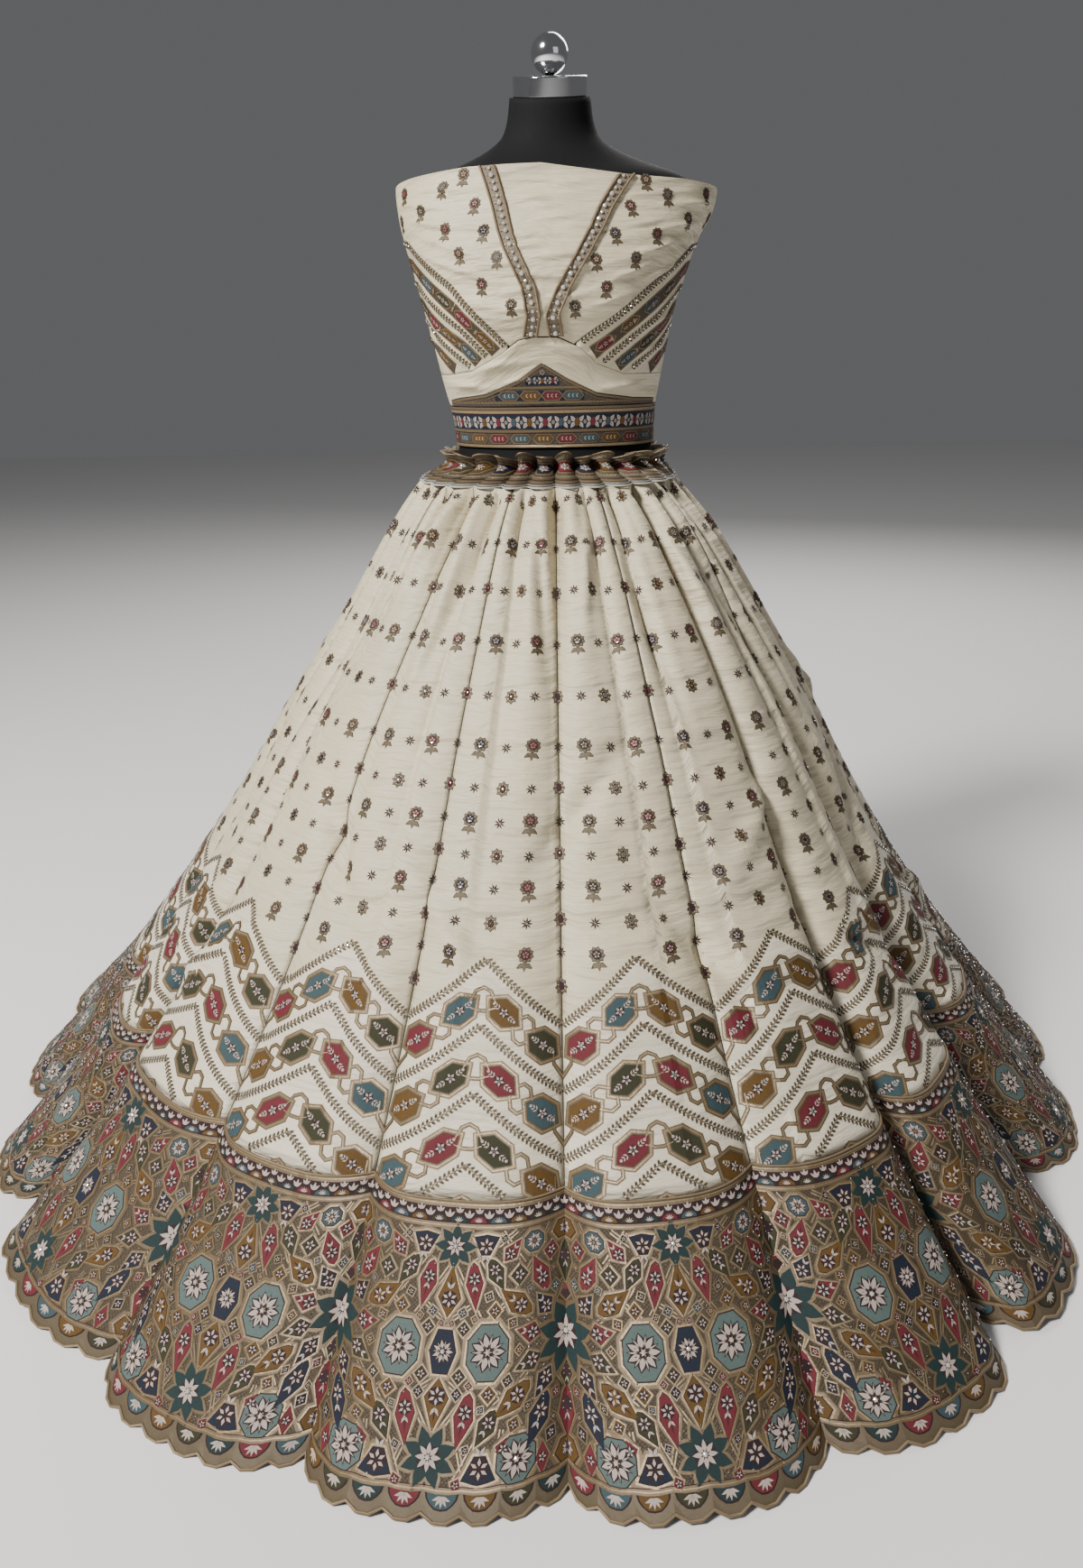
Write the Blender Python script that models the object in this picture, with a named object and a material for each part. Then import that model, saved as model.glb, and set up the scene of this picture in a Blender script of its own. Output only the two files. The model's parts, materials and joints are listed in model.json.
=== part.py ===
"""Lehenga choli on a limbless dress form: a gathered floor-length skirt of
twenty kalis, a strapless choli, and the stand they are shown on.
Metres, +Z up, the wearer's front facing -Y, origin under the stand's base."""

import bmesh
import bpy
import math
import numpy as np

# Driving sizes
KALIS = 20
KALI_DEG = 360.0 / KALIS
GATHERS = 30
SKIRT_TOP = 0.8752
BORDER_TOP = 0.2045
HEM_Z = 0.0005
SEAM_GAP = 0.0005
SKIRT_WALL = 0.0022
BORDER_WALL = 0.0026
CASING_WALL = 0.0016
CHOLI_WALL = 0.0018
TRIM_WIDTH = 0.018
TRIM_WALL = 0.0030
LAYER_LIFT = 0.0006
BELT_BOTTOM = 0.9190
BELT_TOP = 0.9700
FORM_EASE = 0.0011
POLE_RADIUS = 0.0140
BASE_RADIUS = 0.1700
BASE_HEIGHT = 0.0180
BALL_RADIUS = 0.0230
CAP_RADIUS = 0.0465
NECK_TILT = 0.213
SEAT_GAP = 0.0003

KALI_PHASES = (0.0, 0.11, 0.28, 0.5, 0.72, 0.89, 1.0)
KALI_ROWS = (0.0, 0.055, 0.13, 0.24, 0.38, 0.54, 0.76, 1.0)
BORDER_PHASES = (0.0, 0.07, 0.19, 0.34, 0.5, 0.66, 0.81, 0.93, 1.0)
BORDER_ROWS = (0.0, 0.36, 0.72, 1.0)
RUFFLE_STEPS = 4
CASING_ROWS = (0.9095, 0.8975, 0.8865, SKIRT_TOP + 0.0004)

# Skirt outline at its fold crests: height, then reach to the left, right, front and back
SKIRT_PROFILE = (
    (0.00, 0.835, 0.755, 0.890, 0.800),
    (0.12, 0.722, 0.655, 0.762, 0.695),
    (0.28, 0.596, 0.536, 0.622, 0.575),
    (0.44, 0.478, 0.437, 0.500, 0.462),
    (0.60, 0.375, 0.351, 0.392, 0.365),
    (0.72, 0.292, 0.280, 0.306, 0.287),
    (0.82, 0.229, 0.216, 0.231, 0.222),
    (0.85, 0.208, 0.190, 0.203, 0.195),
    (0.876, 0.187, 0.166, 0.172, 0.164),
)
SKIRT_SQUARENESS = 2.2

# Folds: valley depth at the hem at each seam, the seam's swing and the following
# lobe's lean in degrees, how deep its gather is, and how far its hem lifts
SKIRT_FOLDS = (
    (0.040, 0.0, -1.2, 1.00, 0.004),
    (0.042, 0.0, 2.6, 0.85, 0.000),
    (0.084, -0.4, -1.8, 1.15, 0.006),
    (0.112, 1.0, 4.2, 0.90, 0.000),
    (0.062, 3.2, 1.0, 1.10, 0.003),
    (0.055, 0.5, -2.4, 0.80, 0.000),
    (0.078, -0.8, 1.6, 1.20, 0.005),
    (0.060, 0.6, -1.0, 0.95, 0.000),
    (0.090, 0.0, 2.8, 1.05, 0.002),
    (0.052, -0.5, -2.0, 0.90, 0.000),
    (0.070, 0.4, 1.2, 1.15, 0.004),
    (0.058, 0.0, -2.6, 0.85, 0.000),
    (0.086, -0.9, 1.8, 1.00, 0.003),
    (0.064, 0.5, -1.4, 1.10, 0.000),
    (0.074, 0.0, 2.2, 0.95, 0.005),
    (0.056, 0.7, -1.6, 1.05, 0.000),
    (0.062, -0.6, 0.4, 0.90, 0.003),
    (0.082, -3.2, -2.8, 1.10, 0.006),
    (0.038, 0.0, -1.4, 0.85, 0.000),
    (0.040, 0.0, -1.6, 1.05, 0.003),
)

# Waist casing: height, mean reach left, right, front and back, ruffle half height
CASING_PROFILE = (
    (0.8740, 0.1840, 0.1640, 0.1690, 0.1610, 0.0045),
    (0.8762, 0.1820, 0.1630, 0.1660, 0.1580, 0.0050),
    (0.8865, 0.1640, 0.1565, 0.1430, 0.1350, 0.0070),
    (0.8975, 0.1464, 0.1474, 0.1169, 0.1099, 0.0078),
    (0.9095, 0.1540, 0.1530, 0.1240, 0.1160, 0.0100),
)
# One ruffle after another: its width against the mean and its own height
RUFFLES = (
    (1.00, 1.00), (0.86, 0.80), (1.12, 1.15), (0.95, 0.90), (1.08, 1.05),
    (0.90, 0.75), (1.15, 1.10), (0.92, 0.95), (1.02, 1.20), (1.00, 0.85),
)

# Choli outline: height, then reach to the left, right, front and back
CHOLI_PROFILE = (
    (0.905, 0.1340, 0.1360, 0.1050, 0.0980),
    (0.925, 0.1320, 0.1330, 0.1020, 0.0960),
    (0.955, 0.1360, 0.1340, 0.1050, 0.0960),
    (1.000, 0.1470, 0.1410, 0.1140, 0.1000),
    (1.050, 0.1580, 0.1500, 0.1340, 0.1060),
    (1.090, 0.1680, 0.1580, 0.1500, 0.1100),
    (1.130, 0.1780, 0.1720, 0.1500, 0.1140),
    (1.170, 0.1890, 0.1880, 0.1380, 0.1140),
    (1.200, 0.1950, 0.2050, 0.1240, 0.1120),
    (1.225, 0.1970, 0.2100, 0.1160, 0.1090),
    (1.250, 0.1960, 0.2080, 0.1110, 0.1060),
)
CHOLI_SQUARENESS = 2.4

# Dress form: height, reach left, right, front and back, and forward tilt of the ring
FORM_PROFILE = (
    (0.760, 0.1740, 0.1700, 0.1400, 0.1360, 0.0),
    (0.775, 0.1790, 0.1750, 0.1450, 0.1400, 0.0),
    (0.820, 0.1740, 0.1700, 0.1400, 0.1340, 0.0),
    (0.860, 0.1600, 0.1570, 0.1270, 0.1200, 0.0),
    (0.885, 0.1450, 0.1440, 0.1150, 0.1080, 0.0),
    (0.905, 0.1340, 0.1350, 0.1050, 0.0980, 0.0),
    (0.925, 0.1320, 0.1330, 0.1020, 0.0960, 0.0),
    (0.955, 0.1360, 0.1340, 0.1050, 0.0960, 0.0),
    (1.000, 0.1470, 0.1410, 0.1140, 0.1000, 0.0),
    (1.050, 0.1560, 0.1490, 0.1330, 0.1050, 0.0),
    (1.090, 0.1620, 0.1570, 0.1490, 0.1090, 0.0),
    (1.130, 0.1620, 0.1640, 0.1480, 0.1120, 0.0),
    (1.170, 0.1620, 0.1700, 0.1300, 0.1110, 0.0),
    (1.200, 0.1660, 0.1760, 0.1130, 0.1060, 0.0),
    (1.222, 0.1700, 0.1810, 0.1000, 0.0980, 0.0),
    (1.238, 0.1640, 0.1750, 0.0860, 0.0870, 0.0),
    (1.250, 0.1380, 0.1460, 0.0740, 0.0780, 0.02),
    (1.262, 0.1080, 0.1120, 0.0650, 0.0700, 0.05),
    (1.276, 0.0800, 0.0810, 0.0580, 0.0620, 0.09),
    (1.291, 0.0620, 0.0620, 0.0540, 0.0560, 0.13),
    (1.311, 0.0550, 0.0550, 0.0520, 0.0530, 0.17),
    (1.334, 0.0520, 0.0520, 0.0520, 0.0520, 0.213),
)
FORM_SEGMENTS = 36
FORM_EXTRA_RINGS = (0.9665, 0.9785, 0.9890, 1.0120, 1.0250, 1.0380, 1.0650, 1.0780)

# Seam and edge lines on the choli: bearing in degrees from the front, height
TOP_EDGE = (
    (-180, 1.196), (-150, 1.199), (-120, 1.211), (-95, 1.229), (-78, 1.235),
    (-61, 1.240), (-45, 1.2445), (-26, 1.246), (-6, 1.2465), (21, 1.239),
    (43, 1.232), (64, 1.229), (78, 1.226), (95, 1.221), (120, 1.208),
    (150, 1.199), (180, 1.196),
)
MIDRIFF_TOP = (
    (-180, 1.008), (-64, 1.010), (-46.6, 1.014), (-28.7, 1.033), (-17.9, 1.049),
    (-10.8, 1.0525), (2.4, 1.0520), (13.2, 1.041), (24.4, 1.021), (41.5, 1.008),
    (70, 1.008), (180, 1.008),
)
PEAK_EDGE = (
    (-72, 0.9780), (-42, 0.9860), (-21.5, 1.0020), (-7, 1.0225), (8, 1.0040),
    (27, 0.9860), (51, 0.9790), (72, 0.9770),
)
LEFT_TRIM = (
    (-11.5, 1.0530), (-8.8, 1.0770), (-10.5, 1.1070), (-14.8, 1.1320),
    (-19.6, 1.1570), (-26.8, 1.2010), (-34.5, 1.2460),
)
RIGHT_TRIM = (
    (1.5, 1.0530), (-0.2, 1.0770), (4.6, 1.1060), (10.0, 1.1300),
    (16.2, 1.1550), (27.0, 1.1960), (39.0, 1.2340),
)
LEFT_DIAGONAL = ((-88, 1.1760), (-72.7, 1.1680), (-46.5, 1.1150), (-31.6, 1.0680), (-24, 1.0440))
RIGHT_DIAGONAL = ((12.2, 1.0455), (28.8, 1.0750), (45.8, 1.1110), (72, 1.1590), (88, 1.1660))
SIDE_BEARING = 88.0
INSERT_END = 72.0
FRONT_STEP = 6.0
BACK_STEP = 9.0

# Neck cap: radius and height up its own axis
CAP_PROFILE = (
    (CAP_RADIUS - 0.0015, 0.0),
    (CAP_RADIUS, 0.0020),
    (CAP_RADIUS, 0.0065),
    (CAP_RADIUS - 0.0030, 0.0110),
    (0.0330, 0.0165),
    (0.0200, 0.0205),
    (0.0120, 0.0228),
)


def smooth_steps(keys, values):
    """A smooth curve through rising keys that never overshoots its rows."""
    keys = np.asarray(keys, float)
    values = np.asarray(values, float)
    step = np.diff(keys)
    rise = np.diff(values) / step
    slope = np.zeros(len(keys))
    slope[0] = rise[0]
    slope[-1] = rise[-1]
    for i in range(1, len(keys) - 1):
        if rise[i - 1] * rise[i] > 0.0:
            w1 = 2.0 * step[i] + step[i - 1]
            w2 = step[i] + 2.0 * step[i - 1]
            slope[i] = (w1 + w2) / (w1 / rise[i - 1] + w2 / rise[i])

    def curve(x):
        x = min(max(x, keys[0]), keys[-1])
        i = min(int(np.searchsorted(keys, x, side="right")) - 1, len(step) - 1)
        s = (x - keys[i]) / step[i]
        a = values[i] * (1 + 2 * s) * (1 - s) ** 2 + values[i + 1] * s * s * (3 - 2 * s)
        return a + step[i] * (slope[i] * s * (1 - s) ** 2 - slope[i + 1] * s * s * (1 - s))

    return curve


def columns_of(table):
    """One smooth curve per column after the first."""
    rows = np.array(table, float)
    return [smooth_steps(rows[:, 0], rows[:, i]) for i in range(1, rows.shape[1])]


SKIRT_CURVES = columns_of(SKIRT_PROFILE)
CASING_CURVES = columns_of(CASING_PROFILE)
CHOLI_CURVES = columns_of(CHOLI_PROFILE)
FORM_CURVES = columns_of(FORM_PROFILE)


def reach(curves, squareness, bearing, z):
    """Radius of a rounded section at a bearing, from its four reaches at height z."""
    left, right, front, back = [curve(z) for curve in curves[:4]]
    across = math.sin(bearing)
    ahead = math.cos(bearing)
    side = left if across < 0.0 else right
    depth = front if ahead > 0.0 else back
    total = abs(ahead / depth) ** squareness + abs(across / side) ** squareness
    return total ** (-1.0 / squareness)


def at(bearing, radius, z):
    """The point at a bearing from the front, at a radius and height."""
    return np.array((radius * math.sin(bearing), -radius * math.cos(bearing), z))


def line_height(line, bearing_deg):
    """Height of a seam line at a bearing."""
    rows = np.array(line, float)
    return float(np.interp(bearing_deg, rows[:, 0], rows[:, 1]))


def skirt_point(kali, phase, z):
    """A point on the skirt's face: kali number, 0 to 1 across it, height."""
    here = SKIRT_FOLDS[kali % KALIS]
    after = SKIRT_FOLDS[(kali + 1) % KALIS]
    down = 1.0 - z / SKIRT_TOP
    growth = 0.05 + 0.95 * down ** 1.6
    ease = phase * phase * (3.0 - 2.0 * phase)
    depth = growth * (here[0] + (after[0] - here[0]) * ease)
    swing = growth * (here[1] + (after[1] - here[1]) * phase)
    lean = growth * here[2] * math.sin(math.pi * phase)
    bearing = math.radians(KALI_DEG * (kali + phase) + swing + lean)
    arch = math.sin(math.pi * phase)
    lobe = 2.0 * arch - arch * arch
    gather = 0.0105 * here[3] * math.exp(-((down / 0.24) ** 2))
    tuck = 1.0 - abs(math.sin(2.0 * math.pi * phase)) ** 0.8
    radius = reach(SKIRT_CURVES, SKIRT_SQUARENESS, bearing, z)
    radius -= depth * (1.0 - lobe) + gather * tuck
    lift = here[4] * math.sin(math.pi * phase) ** 2 * max(0.0, 1.0 - z / 0.16) ** 2
    return at(bearing, radius, z + lift)


def casing_point(bearing, wave, z):
    """A point on the waist casing's face, wave from -1 in a valley to 1 on a crest."""
    radius = reach(CASING_CURVES, CHOLI_SQUARENESS, bearing, z)
    return at(bearing, radius + wave * CASING_CURVES[4](z), z)


def choli_point(bearing_deg, z, out):
    """A point on the choli, moved out from the wearer by out."""
    bearing = math.radians(bearing_deg)
    return at(bearing, reach(CHOLI_CURVES, CHOLI_SQUARENESS, bearing, z) + out, z)


def make_material(name, colour, roughness, metallic=0.0):
    """One node's own Principled material."""
    material = bpy.data.materials.new(name)
    material.use_nodes = True
    shader = material.node_tree.nodes["Principled BSDF"]
    shader.inputs["Base Color"].default_value = (*colour, 1.0)
    shader.inputs["Roughness"].default_value = roughness
    shader.inputs["Metallic"].default_value = metallic
    return material


def add_object(name, points, faces, look, smooth=True):
    """One closed body from points and faces, facing outward."""
    mesh = bpy.data.meshes.new(name)
    mesh.from_pydata([tuple(p) for p in points], [], faces)
    shell = bmesh.new()
    shell.from_mesh(mesh)
    bmesh.ops.recalc_face_normals(shell, faces=shell.faces)
    shell.to_mesh(mesh)
    shell.free()
    for face in mesh.polygons:
        face.use_smooth = smooth
    colour, roughness, metallic = look
    mesh.materials.append(make_material(name, colour, roughness, metallic))
    item = bpy.data.objects.new(name, mesh)
    COLLECTION.objects.link(item)
    return item


def grid_normals(grid, closed=False):
    """Unit normals of a grid of points, rows by columns."""
    if closed:
        across = np.roll(grid, -1, axis=1) - np.roll(grid, 1, axis=1)
    else:
        across = np.gradient(grid, axis=1)
    down = np.gradient(grid, axis=0)
    normals = np.cross(across, down)
    return normals / np.linalg.norm(normals, axis=2, keepdims=True)


def wall_between(name, outer, inner, look, closed=False):
    """A cloth wall between two like grids, its edges closed."""
    rows, cols = outer.shape[:2]
    points = list(outer.reshape(-1, 3)) + list(inner.reshape(-1, 3))
    shift = rows * cols
    faces = []
    last = cols if closed else cols - 1
    for i in range(rows - 1):
        for j in range(last):
            k = (j + 1) % cols
            a, b, c, d = i * cols + j, i * cols + k, (i + 1) * cols + k, (i + 1) * cols + j
            faces.append((a, b, c, d))
            faces.append((d + shift, c + shift, b + shift, a + shift))
    for j in range(last):
        k = (j + 1) % cols
        faces.append((j + shift, k + shift, k, j))
        end = (rows - 1) * cols
        faces.append((end + j, end + k, end + k + shift, end + j + shift))
    if not closed:
        for i in range(rows - 1):
            a, b = i * cols, (i + 1) * cols
            faces.append((a, b, b + shift, a + shift))
            c, d = a + cols - 1, b + cols - 1
            faces.append((c + shift, d + shift, d, c))
    return add_object(name, points, faces, look)


def cloth_wall(name, face, thickness, look, closed=False):
    """A cloth wall behind a face grid, thickened inward, its end edges level."""
    normals = grid_normals(face, closed)
    outward = face[:, :, :2] / np.linalg.norm(face[:, :, :2], axis=2, keepdims=True)
    if np.mean(np.sum(normals[:, :, :2] * outward, axis=2)) < 0.0:
        normals = -normals
    for edge in (0, -1):
        level = np.linalg.norm(normals[edge, :, :2], axis=1)
        normals[edge, :, 2] = 0.0
        normals[edge] /= (level * level)[:, None]
    return wall_between(name, face, face - normals * thickness, look, closed)


def lathe(name, profile, segments, look, place=(0.0, 0.0, 0.0), tilt=0.0):
    """A solid of revolution with flat ends, about its own axis."""
    points = []
    for radius, height in profile:
        for j in range(segments):
            turn = 2.0 * math.pi * j / segments
            x, y = radius * math.cos(turn), radius * math.sin(turn)
            y, z = (
                y * math.cos(tilt) - height * math.sin(tilt),
                y * math.sin(tilt) + height * math.cos(tilt),
            )
            points.append((place[0] + x, place[1] + y, place[2] + z))
    faces = [tuple(range(segments))]
    for i in range(len(profile) - 1):
        for j in range(segments):
            k = (j + 1) % segments
            low, high = i * segments, (i + 1) * segments
            faces.append((low + j, low + k, high + k, high + j))
    top = (len(profile) - 1) * segments
    faces.append(tuple(range(top, top + segments)))
    return add_object(name, points, faces, look)


def build_form(look):
    """The torso: rings of the form's sections, closed flat at hip and neck."""
    points = []
    heights = sorted([row[0] for row in FORM_PROFILE] + list(FORM_EXTRA_RINGS))
    rings = len(heights)
    for z in heights:
        for j in range(FORM_SEGMENTS):
            bearing = 2.0 * math.pi * j / FORM_SEGMENTS
            blend = min(max((z - 1.24) / 0.06, 0.0), 1.0)
            squareness = CHOLI_SQUARENESS + (2.0 - CHOLI_SQUARENESS) * blend
            radius = reach(FORM_CURVES, squareness, bearing, z) - FORM_EASE
            point = at(bearing, radius, z)
            point[2] += point[1] * FORM_CURVES[4](z)
            points.append(point)
    faces = [tuple(range(FORM_SEGMENTS))]
    for i in range(rings - 1):
        for j in range(FORM_SEGMENTS):
            k = (j + 1) % FORM_SEGMENTS
            low, high = i * FORM_SEGMENTS, (i + 1) * FORM_SEGMENTS
            faces.append((low + j, low + k, high + k, high + j))
    top = (rings - 1) * FORM_SEGMENTS
    faces.append(tuple(range(top, top + FORM_SEGMENTS)))
    return add_object("dress_form", points, faces, look)


def build_stand(chrome, plain):
    """Neck cap and ball above the form, pole and base below it."""
    tilt = math.atan(NECK_TILT)
    neck_z = FORM_PROFILE[-1][0] + SEAT_GAP
    lathe("neck_cap", CAP_PROFILE, 32, chrome, (0.0, 0.0, neck_z), tilt)
    rise = CAP_PROFILE[-1][1] + SEAT_GAP + BALL_RADIUS * math.cos(math.pi / 12)
    ball = []
    for i in range(1, 12):
        angle = math.pi * i / 12
        ball.append((BALL_RADIUS * math.sin(angle), rise - BALL_RADIUS * math.cos(angle)))
    lathe("finial_ball", ball, 24, chrome, (0.0, 0.0, neck_z), tilt)
    foot = BASE_HEIGHT + SEAT_GAP
    head = FORM_PROFILE[0][0] - SEAT_GAP
    lathe("stand_pole", ((POLE_RADIUS, foot), (POLE_RADIUS, head)), 24, chrome)
    base = (
        (BASE_RADIUS - 0.0015, 0.0),
        (BASE_RADIUS, 0.0015),
        (BASE_RADIUS, 0.0110),
        (BASE_RADIUS - 0.0060, 0.0160),
        (BASE_RADIUS - 0.0140, BASE_HEIGHT),
    )
    lathe("stand_base", base, 40, plain)


def skirt_grid(kali, phases, heights):
    """Face grid of one kali or border section, set in from its seams."""
    grid = np.zeros((len(heights), len(phases), 3))
    for i, z in enumerate(heights):
        left = skirt_point(kali, 0.0, z)
        right = skirt_point(kali, 1.0, z)
        inset = 0.5 * SEAM_GAP / np.linalg.norm(right - left)
        for j, phase in enumerate(phases):
            grid[i, j] = skirt_point(kali, inset + phase * (1.0 - 2.0 * inset), z)
    return grid


def build_skirt(silk, zari):
    """Twenty kalis, each with its own border section below it."""
    for kali in range(KALIS):
        top = SKIRT_TOP
        drop = SKIRT_TOP - BORDER_TOP - SEAM_GAP
        heights = [top - drop * row for row in KALI_ROWS]
        name = f"kali_{kali + 1:02d}"
        cloth_wall(name, skirt_grid(kali, KALI_PHASES, heights), SKIRT_WALL, silk)
        drop = BORDER_TOP - HEM_Z
        heights = [BORDER_TOP - drop * row for row in BORDER_ROWS]
        name = f"border_{kali + 1:02d}"
        cloth_wall(name, skirt_grid(kali, BORDER_PHASES, heights), BORDER_WALL, zari)


def build_casing(look):
    """The gathered waist casing, its top edge ruffled, ruffle after ruffle."""
    total = sum(RUFFLES[i % len(RUFFLES)][0] for i in range(GATHERS))
    columns = []
    place = 0.0
    for i in range(GATHERS):
        width, height = RUFFLES[i % len(RUFFLES)]
        for step in range(RUFFLE_STEPS):
            share = step / RUFFLE_STEPS
            wave = 1.0 - 2.0 * (1.0 - math.sin(math.pi * share)) * height
            turn = 2.0 * math.pi * (place + width * share) / total
            columns.append((turn, max(-1.0, wave)))
        place += width
    grid = np.zeros((len(CASING_ROWS), len(columns), 3))
    for i, z in enumerate(CASING_ROWS):
        for j, (bearing, wave) in enumerate(columns):
            grid[i, j] = casing_point(bearing, wave, z)
    cloth_wall("waist_casing", grid, CASING_WALL, look, closed=True)


def walk(line, count):
    """Points spaced evenly along a line of bearings and heights."""
    rows = np.array(line, float)
    reach_at = np.array([(math.radians(a) * 0.15, z) for a, z in rows])
    steps = np.concatenate(([0.0], np.cumsum(np.linalg.norm(np.diff(reach_at, axis=0), axis=1))))
    places = np.linspace(0.0, steps[-1], count)
    return np.stack([np.interp(places, steps, rows[:, i]) for i in range(2)], axis=1)


def choli_columns():
    """Bearings at which every band and panel edge of the choli has a corner."""
    fixed = [
        -179.88, -SIDE_BEARING, -INSERT_END - 0.5, -INSERT_END, LEFT_DIAGONAL[-1][0],
        LEFT_TRIM[0][0], PEAK_EDGE[3][0], RIGHT_TRIM[0][0], RIGHT_DIAGONAL[0][0],
        INSERT_END, INSERT_END + 0.5, SIDE_BEARING, 179.88,
    ]
    marks = list(fixed)
    for start, stop in zip(fixed[:-1], fixed[1:]):
        step = BACK_STEP if abs(start + stop) > 2.0 * SIDE_BEARING else FRONT_STEP
        pieces = max(1, round((stop - start) / step))
        marks += [start + (stop - start) * i / pieces for i in range(1, pieces)]
    return sorted(marks)


def edge(line, start, stop):
    """The corners of a seam line between two bearings, at the shared columns."""
    return [(a, line_height(line, a)) for a in COLUMNS if start - 1e-6 <= a <= stop + 1e-6]


def wall_from_spots(name, spots, look):
    """A choli wall through a grid of bearings and heights."""
    rows, cols = len(spots), len(spots[0])
    outer = np.zeros((rows, cols, 3))
    inner = np.zeros((rows, cols, 3))
    for i in range(rows):
        for j in range(cols):
            outer[i, j] = choli_point(spots[i][j][0], spots[i][j][1], CHOLI_WALL)
            inner[i, j] = choli_point(spots[i][j][0], spots[i][j][1], 0.0)
    return wall_between(name, outer, inner, look)


def panel(name, bottom, top, left, right, rows, look):
    """A choli panel filling the space inside its four edges, set in for the seams."""
    cols = len(bottom) - 1
    low, high = np.array(bottom, float), walk(top, cols + 1)
    if len(top) == len(bottom) and top[1][0] == bottom[1][0]:
        high = np.array(top, float)
    near, far = walk(left, rows + 1), walk(right, rows + 1)
    spots = np.zeros((rows + 1, cols + 1, 2))
    for i in range(rows + 1):
        v = i / rows
        for j in range(cols + 1):
            u = j / cols
            spot = (1 - v) * low[j] + v * high[j] + (1 - u) * near[i] + u * far[i]
            spot = spot - (1 - u) * ((1 - v) * low[0] + v * high[0])
            spot = spot - u * ((1 - v) * low[-1] + v * high[-1])
            if j in (0, cols):
                radius = np.linalg.norm(choli_point(spot[0], spot[1], 0.0)[:2])
                spot[0] += (1.0 if j == 0 else -1.0) * math.degrees(0.5 * SEAM_GAP / radius)
            if i in (0, rows):
                spot[1] += 0.5 * SEAM_GAP * (1.0 if i == 0 else -1.0)
            spots[i, j] = spot
    return wall_from_spots(name, spots, look)


def band(name, low, high, start, stop, rows, look):
    """A band of the choli between two lines, from one bearing round to another."""
    base, head = edge(low, start, stop), edge(high, start, stop)
    spots = np.zeros((rows + 1, len(base), 2))
    for j, (bearing, z) in enumerate(base):
        for i in range(rows + 1):
            lower, upper = z + 0.5 * SEAM_GAP, head[j][1] - 0.5 * SEAM_GAP
            spots[i, j] = (bearing, lower + (upper - lower) * i / rows)
    return wall_from_spots(name, spots, look)


def build_choli(silk, stripe, zari):
    """The blouse: infill, bust, side and back panels, midriff, insert and belt."""
    top_left, top_right = LEFT_TRIM[-1][0], RIGHT_TRIM[-1][0]
    low_left, low_right = LEFT_TRIM[0][0], RIGHT_TRIM[0][0]
    left_foot, right_foot = LEFT_DIAGONAL[-1][0], RIGHT_DIAGONAL[0][0]
    side = SIDE_BEARING
    left_seam = ((-side, LEFT_DIAGONAL[0][1]), (-side, line_height(TOP_EDGE, -side)))
    right_seam = ((side, RIGHT_DIAGONAL[-1][1]), (side, line_height(TOP_EDGE, side)))
    panel("choli_infill", edge(MIDRIFF_TOP, low_left, low_right),
          [(a, line_height(TOP_EDGE, a)) for a in (top_left, -12.0, 12.0, top_right)],
          LEFT_TRIM, RIGHT_TRIM, 9, silk)
    low = edge(LEFT_DIAGONAL, -side, left_foot) + edge(MIDRIFF_TOP, left_foot, low_left)[1:]
    top = [(a, line_height(TOP_EDGE, a)) for a in (-side, -78, -61, -45, top_left)]
    panel("choli_bust_left", low, top, left_seam, LEFT_TRIM, 9, silk)
    low = edge(MIDRIFF_TOP, low_right, right_foot)[:-1] + edge(RIGHT_DIAGONAL, right_foot, side)
    top = [(a, line_height(TOP_EDGE, a)) for a in (top_right, 43, 64, 78, side)]
    panel("choli_bust_right", low, top, RIGHT_TRIM, right_seam, 9, silk)
    for name, diagonal, start, stop in (
        ("choli_side_left", LEFT_DIAGONAL, -side, left_foot),
        ("choli_side_right", RIGHT_DIAGONAL, right_foot, side),
    ):
        low, top = edge(MIDRIFF_TOP, start, stop), edge(diagonal, start, stop)
        panel(name, low, top, (low[0], top[0]), (low[-1], top[-1]), 4, stripe)
    for name, start, stop in (("left", -180.0, -side), ("right", side, 180.0)):
        low, top = edge(MIDRIFF_TOP, start, stop), edge(TOP_EDGE, start, stop)
        panel(f"choli_back_{name}", low, top, (low[0], top[0]), (low[-1], top[-1]), 6, silk)
    ring = BELT_TOP + SEAM_GAP
    low = ((-180, ring), (-INSERT_END - 0.5, ring), *PEAK_EDGE, (INSERT_END + 0.5, ring), (180, ring))
    band("choli_midriff", low, MIDRIFF_TOP, -180, 180, 3, silk)
    level = ((-180, ring), (180, ring))
    band("peak_insert", level, PEAK_EDGE, -INSERT_END, INSERT_END, 2, zari)
    bottom = ((-180, BELT_BOTTOM), (180, BELT_BOTTOM))
    band("waist_belt", bottom, ((-180, BELT_TOP), (180, BELT_TOP)), -180, 180, 2, zari)


def build_trim(name, line, look):
    """A neckline trim laid on its seam, moved out from the panels it covers."""
    spots = walk(line, 16)
    outer = np.zeros((len(spots), 3, 3))
    inner = np.zeros((len(spots), 3, 3))
    lift = CHOLI_WALL + LAYER_LIFT
    for i, (bearing, z) in enumerate(spots):
        z = min(z, line_height(TOP_EDGE, bearing) - 0.001)
        radius = np.linalg.norm(choli_point(bearing, z, 0.0)[:2])
        half = math.degrees(0.5 * TRIM_WIDTH / radius)
        for j, side in enumerate((-1.0, 0.0, 1.0)):
            rise = TRIM_WALL * (1.0 - 0.25 * abs(side))
            outer[i, j] = choli_point(bearing + side * half, z, lift + rise)
            inner[i, j] = choli_point(bearing + side * half, z, lift)
    return wall_between(name, outer, inner, look)


for stale in list(bpy.data.objects):
    bpy.data.objects.remove(stale)
COLLECTION = bpy.data.collections.new("lehenga_choli")
bpy.context.scene.collection.children.link(COLLECTION)

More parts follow.
